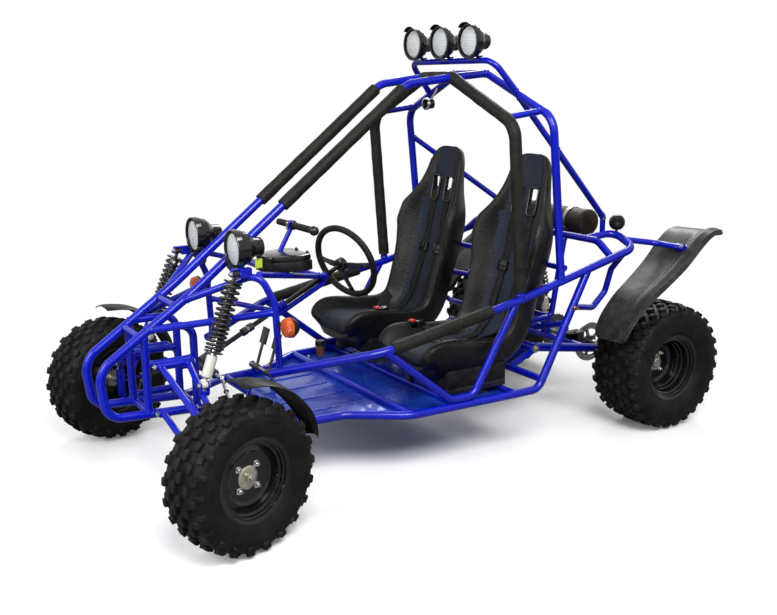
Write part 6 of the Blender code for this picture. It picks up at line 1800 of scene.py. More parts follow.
def seat_rows():
    """Sections along the seat: centre, direction out of the face, half width, bolster, thickness."""
    rows = []
    for i, (x, z, half, bolster, thick) in enumerate(SEAT_STATIONS):
        before = SEAT_STATIONS[max(i - 1, 0)]
        after = SEAT_STATIONS[min(i + 1, len(SEAT_STATIONS) - 1)]
        along = Vector((after[0] - before[0], 0, after[1] - before[1])).normalized()
        normal = Vector((-along.z, 0, along.x))
        if normal.x < 0 and normal.z < 0.2:
            normal = -normal
        normal = Vector((abs(normal.x), 0, normal.z)) if i > 4 else Vector((normal.x, 0, abs(normal.z)))
        rows.append((at(x, SEAT_Y, z), normal, half, bolster, thick))
    return rows


def seat_face(row, a):
    """Point of the padded face at a share across, with the bolsters raised."""
    centre, normal, half, bolster = row[:4]
    across = abs(a)
    rise = 0.0
    for (low, low_rise), (high, high_rise) in zip(BOLSTER_RISE, BOLSTER_RISE[1:]):
        if across >= low:
            rise = low_rise + (high_rise - low_rise) * min(1.0, (across - low) / (high - low))
    return centre + ACROSS * (a * half) + normal * ((bolster + BOLSTER_SWELL) * rise)


def helper(name, shape):
    """An object for the modifiers to work with, taken away afterwards."""
    mesh = bpy.data.meshes.new(name)
    mesh.from_pydata([tuple(v) for v in shape.verts], [], shape.faces)
    made = bpy.data.objects.new(name, mesh)
    bpy.context.scene.collection.objects.link(made)
    return made


def seat_shell():
    """The padded seat as one closed skin, smoothed, with its two harness slots cut through."""
    front = [-1.0, -0.95, -0.88, -0.79, -0.68, -0.57, -0.35, 0.0, 0.35, 0.57, 0.68, 0.79, 0.88, 0.95, 1.0]
    rear = [(0.99, 0.50), (0.80, 0.82), (0.50, 1.0), (0.0, 1.0), (-0.50, 1.0), (-0.80, 0.82),
            (-0.99, 0.50)]
    rings = []
    for row in seat_rows():
        centre, normal, half, _, thick = row
        ring = [seat_face(row, a) for a in front]
        for a, depth in rear:
            ring.append(centre + ACROSS * (a * half * 0.82) - normal * (thick * depth))
        rings.append(ring)
    shape = Piece()
    shape.loft(rings, "vinyl")
    skin = helper("seat_skin", shape)
    subdivide = skin.modifiers.new("smooth", "SUBSURF")
    subdivide.levels = 2
    subdivide.render_levels = 2
    shapes = []
    for side in (-1, 1):
        cutter = Piece()
        cutter.block(at(0.36, SEAT_Y + side * SLOT_Y - SLOT_HALF, 0.910),
                     at(0.70, SEAT_Y + side * SLOT_Y + SLOT_HALF, 1.020), "vinyl", 0.012)
        shapes.append(cutter)
    pocket = Piece()
    pocket.block(at(0.350, SEAT_Y - 0.100, 0.890), at(0.516, SEAT_Y + 0.100, 1.040), "vinyl", 0.016,
                 Matrix.Rotation(math.radians(-12), 4, "Y"))
    shapes.append(pocket)
    cutters = [helper("slot", shape) for shape in shapes]
    for cutter in cutters:
        boolean = skin.modifiers.new("slot", "BOOLEAN")
        boolean.operation = "DIFFERENCE"
        boolean.solver = "EXACT"
        boolean.object = cutter
    graph = bpy.context.evaluated_depsgraph_get()
    done = bpy.data.meshes.new_from_object(skin.evaluated_get(graph))
    verts = [v.co.copy() for v in done.vertices]
    faces = [tuple(face.vertices) for face in done.polygons]
    for thing in cutters + [skin]:
        bpy.data.objects.remove(thing)
    return verts, faces


def cover(p, skin, rows):
    """Cloth on the middle of the padded face and vinyl on the rest."""
    verts, faces = skin
    cloth = []
    hide = []
    for face in faces:
        corners = [verts[k] for k in face]
        middle = sum(corners, Vector()) / len(corners)
        normal = (corners[1] - corners[0]).cross(corners[2] - corners[0])
        row = min(rows[1:14], key=lambda r: (r[0].x - middle.x) ** 2 + (r[0].z - middle.z) ** 2)
        inside = abs(middle.y - row[0].y) < CLOTH_SHARE * row[2]
        facing = normal.length > 0 and normal.normalized().dot(row[1]) > 0.5
        outer = (middle - row[0]).dot(row[1]) > -0.012
        (cloth if inside and facing and outer else hide).append(face)
    p.take(verts, hide, "vinyl")
    p.take(verts, cloth, "seat_fabric")


def seams(p, rows):
    """Piping along the bolsters and across the cloth."""
    for side in (-1, 1):
        for share, radius in ((0.94, 0.0034), (CLOTH_SHARE, 0.0026)):
            seam = [seat_face(row, side * share) - row[1] * 0.0050 for row in rows[3:14]]
            p.pipe(arc_path(seam, 0.05, 3), radius, "piping", 10)
    for i in (4, 6, 8, 10):
        across = [seat_face(rows[i], a / 10) - rows[i][1] * 0.0052 for a in range(-5, 6)]
        p.pipe(across, 0.0022, "piping", 8)


def slot_bezels(p):
    """Rounded frames about the two harness slots."""
    for side in (-1, 1):
        y = SEAT_Y + side * SLOT_Y
        corners = []
        for sy, sz, first in ((-1, -1, 180), (1, -1, 270), (1, 1, 0), (-1, 1, 90)):
            for t in range(5):
                a = math.radians(first + 90 * t / 4)
                dy = sy * 0.014 + 0.0115 * math.cos(a)
                dz = sz * 0.043 + 0.0115 * math.sin(a)
                z = 0.965 + dz
                x = 0.530 - (z - 0.950) * 15 / 70 + 0.0065
                corners.append(at(x, y + dy, z))
        p.pipe(corners, 0.0052, "gloss", 10, closed=True)


def seat_base(p):
    """Base pan and its rails on the cross tubes."""
    base = FLOOR_Z + THIN_R + 0.0006
    for side in (-1, 1):
        y = SEAT_Y + side * 0.120
        p.block(at(0.725, y - 0.014, base), at(1.020, y + 0.014, base + 0.030), "dark_steel", 0.003)
    p.block(at(0.735, SEAT_Y - 0.148, base + 0.030), at(1.015, SEAT_Y + 0.148, 0.372), "plastic", 0.008)


def buckle(p):
    """Buckle on its stalk, with the pocket for its button."""
    x, z = BUCKLE[0], BUCKLE[2]
    y = BUCKLE_Y
    p.block(at(x - 0.034, y - 0.016, z - 0.052), at(x + 0.010, y + 0.016, z + 0.012), "gloss", 0.004)
    for side in (-1, 1):
        low = at(x + 0.008, y + side * 0.0118, z - 0.052)
        high = at(x + 0.034, y + side * 0.0160, z + 0.012)
        p.block(low, high, "gloss", 0.0018)
    p.block(at(x + 0.0315, y - 0.016, z - 0.052), at(x + 0.034, y + 0.016, z + 0.012), "gloss", 0.001)
    p.block(at(x + 0.008, y - 0.016, z - 0.052), at(x + 0.034, y + 0.016, z + 0.0035), "gloss", 0.002)
    p.bar(at(x - 0.02, y, z - 0.050), at(x - 0.07, y + 0.006, 0.40), ACROSS, 0.011, 0.0016, "steel",
          0.0005)
    # Chrome latch plate
    p.block(at(0.806, y - 0.012, 0.452), at(0.850, y + 0.012, 0.457), "chrome", 0.0015)


def harness(p, rows):
    """Shoulder straps from the slots down the back and over the cushion, and the lap belt."""
    for side in (-1, 1):
        y = SEAT_Y + side * SLOT_Y
        drift = side * 0.014
        points = [at(0.470, y, 0.962), at(0.500, y, 0.972)]
        for i in range(11, 3, -1):
            row = rows[i]
            share = (y + drift * (11 - i) / 7 - SEAT_Y) / row[2]
            points.append(seat_face(row, share) + row[1] * STRAP_RISE[i])
        path = arc_path(points, 0.030, 4)
        p.ribbon(path, ACROSS, 0.036, 0.0022, "webbing")
        # Second layer above the adjuster, and the adjuster itself
        upper_half = [v + Vector((0.0030, 0, 0.0006)) for v in path if 0.72 < v.z < 0.93 and v.x > -0.46]
        if len(upper_half) > 2:
            p.ribbon(upper_half, ACROSS, 0.034, 0.0020, "webbing")
        row = rows[8]
        adjuster = seat_face(row, (y + drift * 3 / 7 - SEAT_Y) / row[2]) + row[1] * (STRAP_RISE[8] - 0.001)
        lean = Matrix.Rotation(math.radians(-17), 4, "Y")
        p.block(adjuster + Vector((-0.002, -0.028, -0.020)), adjuster + Vector((0.009, 0.028, 0.020)),
                "gloss", 0.003, lean)
        p.block(adjuster + Vector((0.008, -0.020, -0.004)), adjuster + Vector((0.013, 0.020, 0.004)),
                "plastic", 0.002, lean)
    # Lap belt across the cushion to the buckle
    lap = [at(0.700, SEAT_Y + 0.150, 0.492), at(0.760, SEAT_Y + 0.120, 0.474),
           at(0.830, SEAT_Y + 0.060, 0.440), at(0.875, SEAT_Y, 0.436), at(0.905, SEAT_Y - 0.060, 0.446),
           at(0.925, BUCKLE_Y + 0.020, 0.478)]
    p.ribbon(arc_path(lap, 0.08, 5), FORWARD + UP * 0.3, 0.042, 0.0024, "webbing")


def seat(skin):
    """Left seat with everything that is fixed to it."""
    p = Piece()
    rows = seat_rows()
    cover(p, skin, rows)
    seams(p, rows)
    slot_bezels(p)
    seat_base(p)
    buckle(p)
    harness(p, rows)
    return p


def button(word):
    """Release button with a raised panel."""
    low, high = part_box("buckle_button_" + word)
    p = Piece()
    p.block(low, high, "red", 0.0028)
    p.block((low.x + 0.003, low.y + 0.004, high.z - 0.0006),
            (high.x - 0.003, high.y - 0.004, high.z + 0.0006), "red", 0.0006)
    return p


# Rear end

def swing_arm():
    """Both tubes with their pivots and bearing housings, and the brackets between them."""
    p = Piece()
    pivot_x, pivot_z = SWING_PIVOT
    for side in (-1, 1):
        y = side * SWING_Y
        p.joint(at(pivot_x, y, pivot_z), at(0, y, REAR_TYRE_R), 0.019, "blue", 0.028)
        p.bush(0.030, 0.0082, 0.020, at(pivot_x, y, pivot_z), ACROSS, "blue", 32)
        p.lathe([(-0.026, 0.0170), (-0.026, 0.034), (-0.020, 0.038), (0.020, 0.038), (0.026, 0.034),
                 (0.026, 0.0170)], at(0, y, REAR_TYRE_R), ACROSS, "blue", 40, True)
        for k in range(4):
            a = math.pi / 4 + k * math.pi / 2
            p.nut(at(0.030 * math.cos(a), y + side * 0.026, REAR_TYRE_R + 0.030 * math.sin(a)),
                  ACROSS * side, 0.009, 0.005)
    share = 0.150 / pivot_x
    cross_z = REAR_TYRE_R + share * (pivot_z - REAR_TYRE_R)
    p.joint(at(0.150, -SWING_Y, cross_z), at(0.150, SWING_Y, cross_z), TUBE_R, "blue", 0.019)
    base_x, base_z = REAR_SHOCK_BASE
    for side in (-1, 1):
        near, far = side * 0.0132, side * 0.0172
        p.block(at(base_x - 0.014, near, cross_z), at(base_x + 0.014, far, base_z + 0.010), "blue", 0.001)
    p.bolt(at(base_x, -0.0178, base_z), at(base_x, 0.0178, base_z), 0.0048)
    # Brake calliper over the disc, and its bracket
    for y0, y1 in ((0.105, 0.1250), (0.1350, 0.160)):
        p.block(at(0.060, y0, 0.262), at(0.150, y1, 0.330), "black_cast", 0.006)
    p.block(at(0.098, 0.105, 0.262), at(0.150, 0.160, 0.330), "black_cast", 0.006)
    p.block(at(0.128, 0.115, 0.268), at(0.160, 0.150, cross_z + 0.004), "blue", 0.002)
    return p


def brake_disc(p):
    """Drilled disc on its bolted carrier."""
    disc = at(0, DISC_Y, REAR_TYRE_R)
    p.bush(0.0022, 0.060, DISC_R, disc, ACROSS, "steel", 64)
    for out in spokes(5):
        p.bar(disc + out * 0.024, disc + out * 0.066, beside(out), 0.009, 0.0021, "steel")
        p.nut(at(0, DISC_Y + 0.0022, REAR_TYRE_R) + out * 0.058, ACROSS, 0.008, 0.004, "dark_steel")
    for k in range(18):
        a = 2 * math.pi * k / 18
        spot = at(0.077 * math.cos(a), DISC_Y, REAR_TYRE_R + 0.077 * math.sin(a))
        p.lathe([(-0.0024, 0), (-0.0024, 0.0032), (0.0024, 0.0032), (0.0024, 0)], spot, ACROSS,
                "dark_steel", 12)
    p.bush(0.012, 0.016, 0.030, disc, ACROSS, "dark_steel", 32)


def chain_sprocket(p):
    """Toothed ring on four spokes and its hub."""
    sprocket = at(0, SPROCKET_Y, REAR_TYRE_R)
    p.bush(0.004, 0.050, 0.080, sprocket, ACROSS, "dark_steel", 60)
    for out in spokes(30):
        p.bar(sprocket + out * 0.078, sprocket + out * 0.0848, beside(out), 0.0040, 0.0028, "dark_steel",
              0.0010)
    for out in spokes(4):
        p.bar(sprocket + out * 0.020, sprocket + out * 0.055, beside(out), 0.011, 0.0038,
              "dark_steel")
    p.bush(0.012, 0.016, 0.032, sprocket, ACROSS, "steel", 32)


def rear_axle():
    """Live axle with its nuts and collars, the brake disc and the sprocket."""
    p = Piece()
    z = REAR_TYRE_R
    nut = REAR_TRACK / 2 + REAR_FACE + FACE_T + 0.006
    p.rod(at(0, -(nut + 0.016), z), at(0, nut + 0.016, z), AXLE_R - 0.0003, "steel", 28)
    brake_disc(p)
    chain_sprocket(p)
    for side in (-1, 1):
        p.nut(at(0, side * nut, z), ACROSS * side, 0.040, WHEEL_NUT_T, "hub")
        start = at(0, side * (SWING_Y + 0.028), z)
        p.lathe([(0, 0.016), (0, 0.0235), (0.012, 0.0235), (0.012, 0.016)], start, ACROSS * side, "steel",
                32, True)
    return p


def crankcase(p):
    """Crankcase cover with its ring of bolts, and the belt drive's cover behind it."""
    case = at(0.350, 0, ENGINE_BASE + 0.070)
    p.lathe([(-0.185, 0), (-0.185, 0.052), (-0.176, 0.062), (-0.150, 0.066), (0.120, 0.066),
             (0.146, 0.060), (0.155, 0.048), (0.155, 0)], case, ACROSS, "engine", 48)
    for out in spokes(8):
        p.nut(case + out * 0.053 + ACROSS * 0.149, ACROSS, 0.008, 0.006)
    p.lathe([(0.150, 0.030), (0.158, 0.030), (0.158, 0)], case, ACROSS, "black_cast", 36)
    drive = at(0.455, 0, ENGINE_BASE + 0.070)
    p.lathe([(-0.165, 0), (-0.165, 0.044), (-0.156, 0.051), (0.110, 0.051), (0.120, 0.044), (0.120, 0)],
            drive, ACROSS, "black_cast", 40)


def cylinder(p):
    """Cylinder with its cooling fins and head."""
    p.block(at(0.350, -0.046, ENGINE_BASE + 0.110), at(0.450, 0.046, ENGINE_BASE + 0.212), "engine", 0.010)
    for i in range(9):
        low = ENGINE_BASE + 0.122 + i * 0.0098
        p.block(at(0.334, -0.064, low), at(0.466, 0.064, low + 0.0028), "engine", 0.0012)
    p.block(at(0.356, -0.040, ENGINE_BASE + 0.205), at(0.444, 0.040, ENGINE_BASE + 0.215), "black_cast",
            0.004)
    for x in (0.362, 0.438):
        for y in (-0.034, 0.034):
            p.nut(at(x, y, ENGINE_BASE + 0.2145), UP, 0.009, 0.004)


def carburettor(p):
    """Carburettor and ribbed air filter."""
    p.block(at(0.372, 0.045, ENGINE_BASE + 0.152), at(0.416, 0.128, ENGINE_BASE + 0.188), "engine", 0.006)
    p.lathe([(0.120, 0), (0.120, 0.030), (0.124, 0.038)], at(0.394, 0, ENGINE_BASE + 0.170), ACROSS,
            "rubber", 36)
    for k in range(10):
        p.weld(at(0.394, 0.126 + 0.0080 * k, ENGINE_BASE + 0.170), ACROSS, 0.0352, "foam", 0.0040)
    p.lathe([(0.124, 0.034), (0.200, 0.034), (0.205, 0.028), (0.205, 0)],
            at(0.394, 0, ENGINE_BASE + 0.170), ACROSS, "foam", 36)


def exhaust(p):
    """Exhaust pipe and muffler with its tail pipe."""
    pipe = [at(0.345, -0.020, ENGINE_BASE + 0.175), at(0.290, -0.040, ENGINE_BASE + 0.195),
            at(MUFFLER_X + 0.045, -0.205, 0.700), at(MUFFLER_X, -0.205, 0.735),
            at(MUFFLER_X, -0.205, MUFFLER_Z)]
    p.pipe(arc_path(pipe, [0.03, 0.06, 0.03]), 0.0148, "chrome", 20)
    p.weld(at(MUFFLER_X, -0.205, MUFFLER_Z - MUFFLER_R), UP, 0.0148, "steel")
    p.lathe([(-0.255, 0), (-0.255, MUFFLER_R - 0.012), (-0.250, MUFFLER_R - 0.003), (-0.245, MUFFLER_R),
             (-0.238, MUFFLER_R), (-0.236, MUFFLER_R - 0.0015), (0.236, MUFFLER_R - 0.0015),
             (0.238, MUFFLER_R), (0.245, MUFFLER_R), (0.250, MUFFLER_R - 0.003),
             (0.255, MUFFLER_R - 0.012), (0.255, 0)], at(MUFFLER_X, 0, MUFFLER_Z), ACROSS, "muffler", 48)
    p.lathe([(0.240, 0.009), (0.240, 0.0138), (0.285, 0.0138), (0.285, 0.0115), (0.250, 0.0115)],
            at(MUFFLER_X - 0.010, 0, MUFFLER_Z), -ACROSS, "chrome", 24)


def engine():
    """Engine block with everything bolted to it."""
    p = Piece()
    p.block(at(0.318, -0.130, ENGINE_BASE), at(0.480, 0.120, ENGINE_BASE + 0.116), "engine", 0.014)
    crankcase(p)
    cylinder(p)
    carburettor(p)
    exhaust(p)
    return p


def rear_fender():
    """Blade over the rear tyre: creased near its outer edge, rolled rim, curled at its top."""
    p = Piece()
    path = [at(x, 0, z) for x, z in REAR_FENDER_PATH]

    def spot(t):
        """Place and half width at a share along the path, on a smooth curve through its points."""
        last = len(path) - 1
        i = min(int(t * last), last - 1)
        f = t * last - i
        a, b, c, d = (path[max(i - 1, 0)], path[i], path[i + 1], path[min(i + 2, last)])
        point = 0.5 * (2 * b + (c - a) * f + (2 * a - 5 * b + 4 * c - d) * f * f
                       + (3 * b - a - 3 * c + d) * f ** 3)
        point.y += REAR_FENDER_SHIFTS[i] + (REAR_FENDER_SHIFTS[i + 1] - REAR_FENDER_SHIFTS[i]) * f
        return point, REAR_FENDER_HALVES[i] + (REAR_FENDER_HALVES[i + 1] - REAR_FENDER_HALVES[i]) * f

    rows, columns = 44, 25
    grid = []
    for i in range(rows + 1):
        t = i / rows
        point, half = spot(t)
        ahead, behind = spot(min(1.0, t + 0.01))[0], spot(max(0.0, t - 0.01))[0]
        along = (ahead - behind).normalized()
        normal = Vector((along.z, 0, -along.x))
        if t > 0.88:
            half *= math.sqrt(max(0.1, 1 - ((t - 0.88) / 0.125) ** 2))
        if t < 0.07:
            half *= 0.78 + 0.22 * math.sqrt(max(0.0, 1 - ((0.07 - t) / 0.07) ** 2))
        row = []
        for k in range(columns):
            a = 1 - 2 * k / (columns - 1)
            lift = REAR_FENDER_LIFT[-1][1]
            for (a0, l0), (a1, l1) in zip(REAR_FENDER_LIFT, REAR_FENDER_LIFT[1:]):
                if a0 <= a <= a1:
                    f = (a - a0) / (a1 - a0)
                    lift = l0 + (l1 - l0) * f * f * (3 - 2 * f)
                    break
            row.append(point + Vector((0, REAR_TRACK / 2 + 0.030 + a * half, 0)) + normal * lift)
        grid.append(row)
    p.shell(grid, 0.0035, "fender", 0.0024)
    on_fender, normal, along = fender_rest()
    for dy in (-0.012, 0.014):
        p.lathe([(0, 0.007), (0.002, 0.006), (0.003, 0.003), (0.003, 0)],
                on_fender + ACROSS * dy - normal * (THIN_R - 0.0005) + along * 0.018, normal, "steel", 20)
    return p


# Lamps and small fittings

def bowl_and_lens(p, centre, radius, out):
    """Chrome reflector, bulb shield and a domed clear lens, its pale colour painted reflection of the
    bowl.
    """
    p.lathe([(-0.030, 0), (-0.029, 0.012), (-0.020, radius * 0.55), (-0.006, radius * 0.88),
             (out - 0.004, radius * 0.93)], centre, FORWARD, "chrome", 48)
    p.lathe([(-0.028, 0.006), (-0.010, 0.007), (-0.006, 0.003), (-0.005, 0)], centre, FORWARD, "chrome",
            20)
    p.lathe([(out - 0.004, radius * 0.92), (out + 0.001, radius * 0.86), (out + 0.006, radius * 0.55),
             (out + 0.008, radius * 0.2), (out + 0.008, 0)], centre, FORWARD, "lens", 48)


def headlamp():
    """Left headlamp: stepped black housing, bezel with clips, reflector and lens."""
    p = Piece()
    centre = at(*HEADLAMP)
    r = HEADLAMP_R
    p.lathe([(-0.014, r - 0.001), (-0.017, r - 0.004), (-0.030, r - 0.004), (-0.032, r - 0.008),
             (-0.048, r - 0.010), (-0.050, r - 0.014), (-0.062, r - 0.020), (-0.068, r - 0.028),
             (-0.070, 0.036), (-0.074, 0.034), (-0.104, 0.033), (-0.108, 0.030), (-0.108, 0)], centre,
            FORWARD, "gloss", 56)
    p.lathe([(-0.016, r - 0.006), (-0.016, r), (0.002, r), (0.004, r - 0.002), (0.004, r - 0.007),
             (0.000, r - 0.008)], centre, FORWARD, "gloss", 56, True)
    bowl_and_lens(p, centre, r - 0.005, -0.004)
    # Clips round the bezel
    for degrees in (40, 140, 220, 320):
        a = math.radians(degrees)
        out = Vector((0, math.cos(a), math.sin(a)))
        spot = centre + out * (r - 0.001)
        p.bar(spot - FORWARD * 0.016, spot + FORWARD * 0.003, out.cross(FORWARD), 0.006, 0.0012, "steel",
              0.0004)
    return p


def roof_lamp(y):
    """Lamp on the light bar with a short visor, a ribbed back and its bracket."""
    p = Piece()
    centre = at(ROOF_LAMP_X, y, ROOF_LAMP_Z)
    r = ROOF_LAMP_R
    p.lathe([(-0.004, r - 0.001), (-0.010, r - 0.003), (-0.020, r - 0.005), (-0.022, r - 0.009),
             (-0.036, r - 0.014), (-0.044, r - 0.026), (-0.048, 0.034), (-0.052, 0.031), (-0.080, 0.030),
             (-0.085, 0.026), (-0.085, 0)], centre, FORWARD, "gloss", 48)
    p.lathe([(-0.006, r - 0.006), (-0.006, r), (0.008, r), (0.010, r - 0.002), (0.010, r - 0.008),
             (0.006, r - 0.008)], centre, FORWARD, "gloss", 48, True)
    bowl_and_lens(p, centre, r - 0.006, 0.001)
    grid = []
    for i in range(3):
        row = []
        for k in range(17):
            a = math.radians(48 + 84 * k / 16)
            reach = r + 0.0005 + 0.0008 * i
            length = 0.004 + 0.010 * i * math.sin(a)
            row.append(centre + Vector((length, reach * math.cos(a), reach * math.sin(a))))
        grid.append(row)
    p.shell(grid, 0.0015, "gloss", 0.0010)
    for k in range(3):
        p.weld(centre - FORWARD * (0.058 + 0.008 * k), FORWARD, 0.0300, "gloss", 0.0016)
    stem_top = at(ROOF_LAMP_X - 0.020, y, ROOF_LAMP_Z - 0.046)
    foot_z = LIGHT_BAR_Z + THIN_R + 0.0003
    p.rod(stem_top, at(LIGHT_BAR_X, y, foot_z + 0.003), 0.007, "gloss", 16)
    low = at(LIGHT_BAR_X - 0.012, y - 0.014, foot_z)
    high = at(LIGHT_BAR_X + 0.012, y + 0.014, foot_z + 0.006)
    p.block(low, high, "gloss", 0.0018)
    p.bolt(stem_top - ACROSS * 0.010, stem_top + ACROSS * 0.010, 0.004)
    return p


def dash_pod():
    """Pod with a raised lid, blank instrument windows and plain switches that face the driver."""
    p = Piece()
    base = DASH_Z + STAY_R + 0.0003
    outline = [(1.545, -0.075), (1.565, -0.040), (1.565, 0.040), (1.545, 0.075), (1.430, 0.100),
               (1.385, 0.080), (1.385, -0.080), (1.430, -0.100)]
    world = [(x - MIDDLE_X, y) for x, y in outline]
    p.slab(world, base, base + 0.040, "plastic", 0.006)
    middle = at(1.475, 0, 0).x
    lid = [(middle + (x - middle) * 0.97, y * 0.95) for x, y in world]
    p.slab(lid, base + 0.038, base + 0.062, "gloss", 0.010)
    for y in (-0.045, 0.045):
        spot = at(1.391, y, base + 0.047)
        p.lathe([(0, 0.0), (0.001, 0.019), (0.003, 0.021), (0.004, 0.019), (0.004, 0.017)], spot,
                -FORWARD, "gloss", 32)
    for k in range(3):
        y = -0.020 + 0.020 * k
        finish = "red" if k == 1 else "plastic"
        p.block(at(1.379, y - 0.006, base + 0.010), at(1.388, y + 0.006, base + 0.028), finish, 0.002)
    return p


def grab_handle():
    """Bar with two ribbed grips and a ball at its left end."""
    p = Piece()
    core = HANDLE_R - 0.003
    skin = HANDLE_R - 0.0008
    p.rod(at(HANDLE_X, -0.156, HANDLE_Z), at(HANDLE_X, 0.126, HANDLE_Z), core, "dark_steel", 24)
    for low, high in ((-0.156, -0.064), (-0.026, 0.116)):
        p.lathe([(low, core), (low, skin), (high, skin), (high, core)],
                at(HANDLE_X, 0, HANDLE_Z), ACROSS, "rubber", 32)
        steps = int((high - low) / 0.0055)
        for k in range(1, steps):
            p.weld(at(HANDLE_X, low + (high - low) * k / steps, HANDLE_Z), ACROSS, HANDLE_R - 0.0016,
                   "rubber", 0.0013)
    ball = [(0.0185 * -math.cos(math.pi * k / 14), max(0.0001, 0.0185 * math.sin(math.pi * k / 14)))
            for k in range(15)]
    p.lathe(ball, at(HANDLE_X, 0.136, HANDLE_Z), ACROSS, "gloss", 32)
    return p


# Put everything together

def pair(piece, name, body, node, slot):
    """A left piece and its mirror image, each on its own body and for its own node."""
    for word, made in (("left", piece), ("right", piece.flipped())):
        made.make("v_" + name + "_" + word, body.format(word), [node.format(word)], slot)


def single(maker, name, body, slot):
    """A piece made once, for the node of its name."""
    maker().make("v_" + name, body, [name], slot)


def foam():
    """Sleeves on the nose tubes, the side rails and the front hoop."""
    nose = nose_route()
    rail = rail_route()
    low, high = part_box("rail_sleeve_left")
    nose_foam = foam_sleeve(nose, length_to(nose, NOSE_FOAM[0]), length_to(nose, NOSE_FOAM[1]))
    rail_foam = foam_sleeve(rail, length_to(rail, high.x + MIDDLE_X), length_to(rail, low.x + MIDDLE_X))
    for name, sleeve in (("nose_sleeve", nose_foam), ("rail_sleeve", rail_foam)):
        for word, made in (("left", sleeve), ("right", sleeve.flipped())):
            piece = made.make("v_" + name + "_" + word, "frame", [name + "_" + word], "foam")
    hoop = front_hoop_route()
    sleeve = foam_sleeve(hoop, HOOP_BARE, path_length(hoop) - HOOP_BARE)
    sleeve.make("v_hoop_sleeve", "frame", ["hoop_sleeve"], "foam")


def wheel(side, word, end, shapes, place, body):
    """Tyre and rim of one wheel from the shapes about the origin."""
    for part, shape, slot in zip(("tyre", "rim"), shapes, ("tyre", "black_steel")):
        made = shape.copy().turned(Matrix.Translation(place))
        if end == "front":
            made = steered(made, side)
        elif side < 0:
            made = made.flipped()
        made.make("v_" + end + "_" + word + "_" + part, body, [end + "_" + word + "_" + part], slot)


def corners():
    """Wheels, knuckles, fenders, tie rods and buckle buttons, side by side."""
    front = (tyre(FRONT_TYRE_R, FRONT_TYRE_W, FRONT_RIM_W, 22, FRONT_ROWS, 0.013),
             rim(FRONT_RIM_W, FRONT_FACE, 0.0112, 0.0115))
    rear = (tyre(REAR_TYRE_R, REAR_TYRE_W, REAR_RIM_W, 28, REAR_ROWS, 0.012),
            rim(REAR_RIM_W, REAR_FACE, 0.0164, 0.0170))
    for side, word in ((1, "left"), (-1, "right")):
        wheel(side, word, "front", front, at(WHEELBASE, FRONT_TRACK / 2, FRONT_TYRE_R),
              "front_wheel_" + word)
        wheel(side, word, "rear", rear, at(0, REAR_TRACK / 2, REAR_TYRE_R), "rear_wheels")
        for name, made, body, slot in (
            ("knuckle_", steered(knuckle(), side), "knuckle_", "blue_paint"),
            ("front_fender_", steered(front_fender(), side), "knuckle_", "fender_plastic"),
            ("tie_rod_", tie_rod(side), "tie_rod_", "steel"),
            ("buckle_button_", button(word), "buckle_button_", "red_plastic"),
        ):
            made.make("v_" + name + word, body + word, [name + word], slot)


def shocks():
    """Bodies, rods and springs of the three shocks."""
    top, base = at(*SHOCK_TOP), at(*SHOCK_BASE)
    axis = (base - top).normalized()
    half, body_len, leg_len, rod_len = FRONT_SHOCK
    spring = coil(top + axis * SPRING_START, axis, FRONT_SPRING_LEN, FRONT_SPRING_TURNS)
    for made, name, body, slot in (
        (shock_body(top, base, half, body_len), "shock_body", "shock_body", "black_steel"),
        (shock_rod(top, base, half, leg_len, rod_len), "shock_rod", "shock_rod", "cream_steel"),
        (spring, "spring", "shock_body", "black_steel"),
    ):
        pair(made, "front_" + name, body + "_{}", "front_" + name + "_{}", slot)

    top = at(REAR_SHOCK_TOP[0], 0, REAR_SHOCK_TOP[1])
    base = at(REAR_SHOCK_BASE[0], 0, REAR_SHOCK_BASE[1])
    axis = (base - top).normalized()
    half, body_len, leg_len, rod_len = REAR_SHOCK
    low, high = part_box("rear_spring")
    spring_len = (high.z - low.z) / abs(axis.z) - PERCH_T
    spring = coil(top + axis * SPRING_START, axis, spring_len, REAR_SPRING_TURNS)
    for made, name, body, slot in (
        (shock_body(top, base, half, body_len), "rear_shock_body", "rear_shock_body", "black_steel"),
        (shock_rod(top, base, half, leg_len, rod_len), "rear_shock_rod", "rear_shock_rod", "cream_steel"),
        (spring, "rear_spring", "rear_shock_body", "black_steel"),
    ):
        made.make("v_" + name, body, [name], slot)


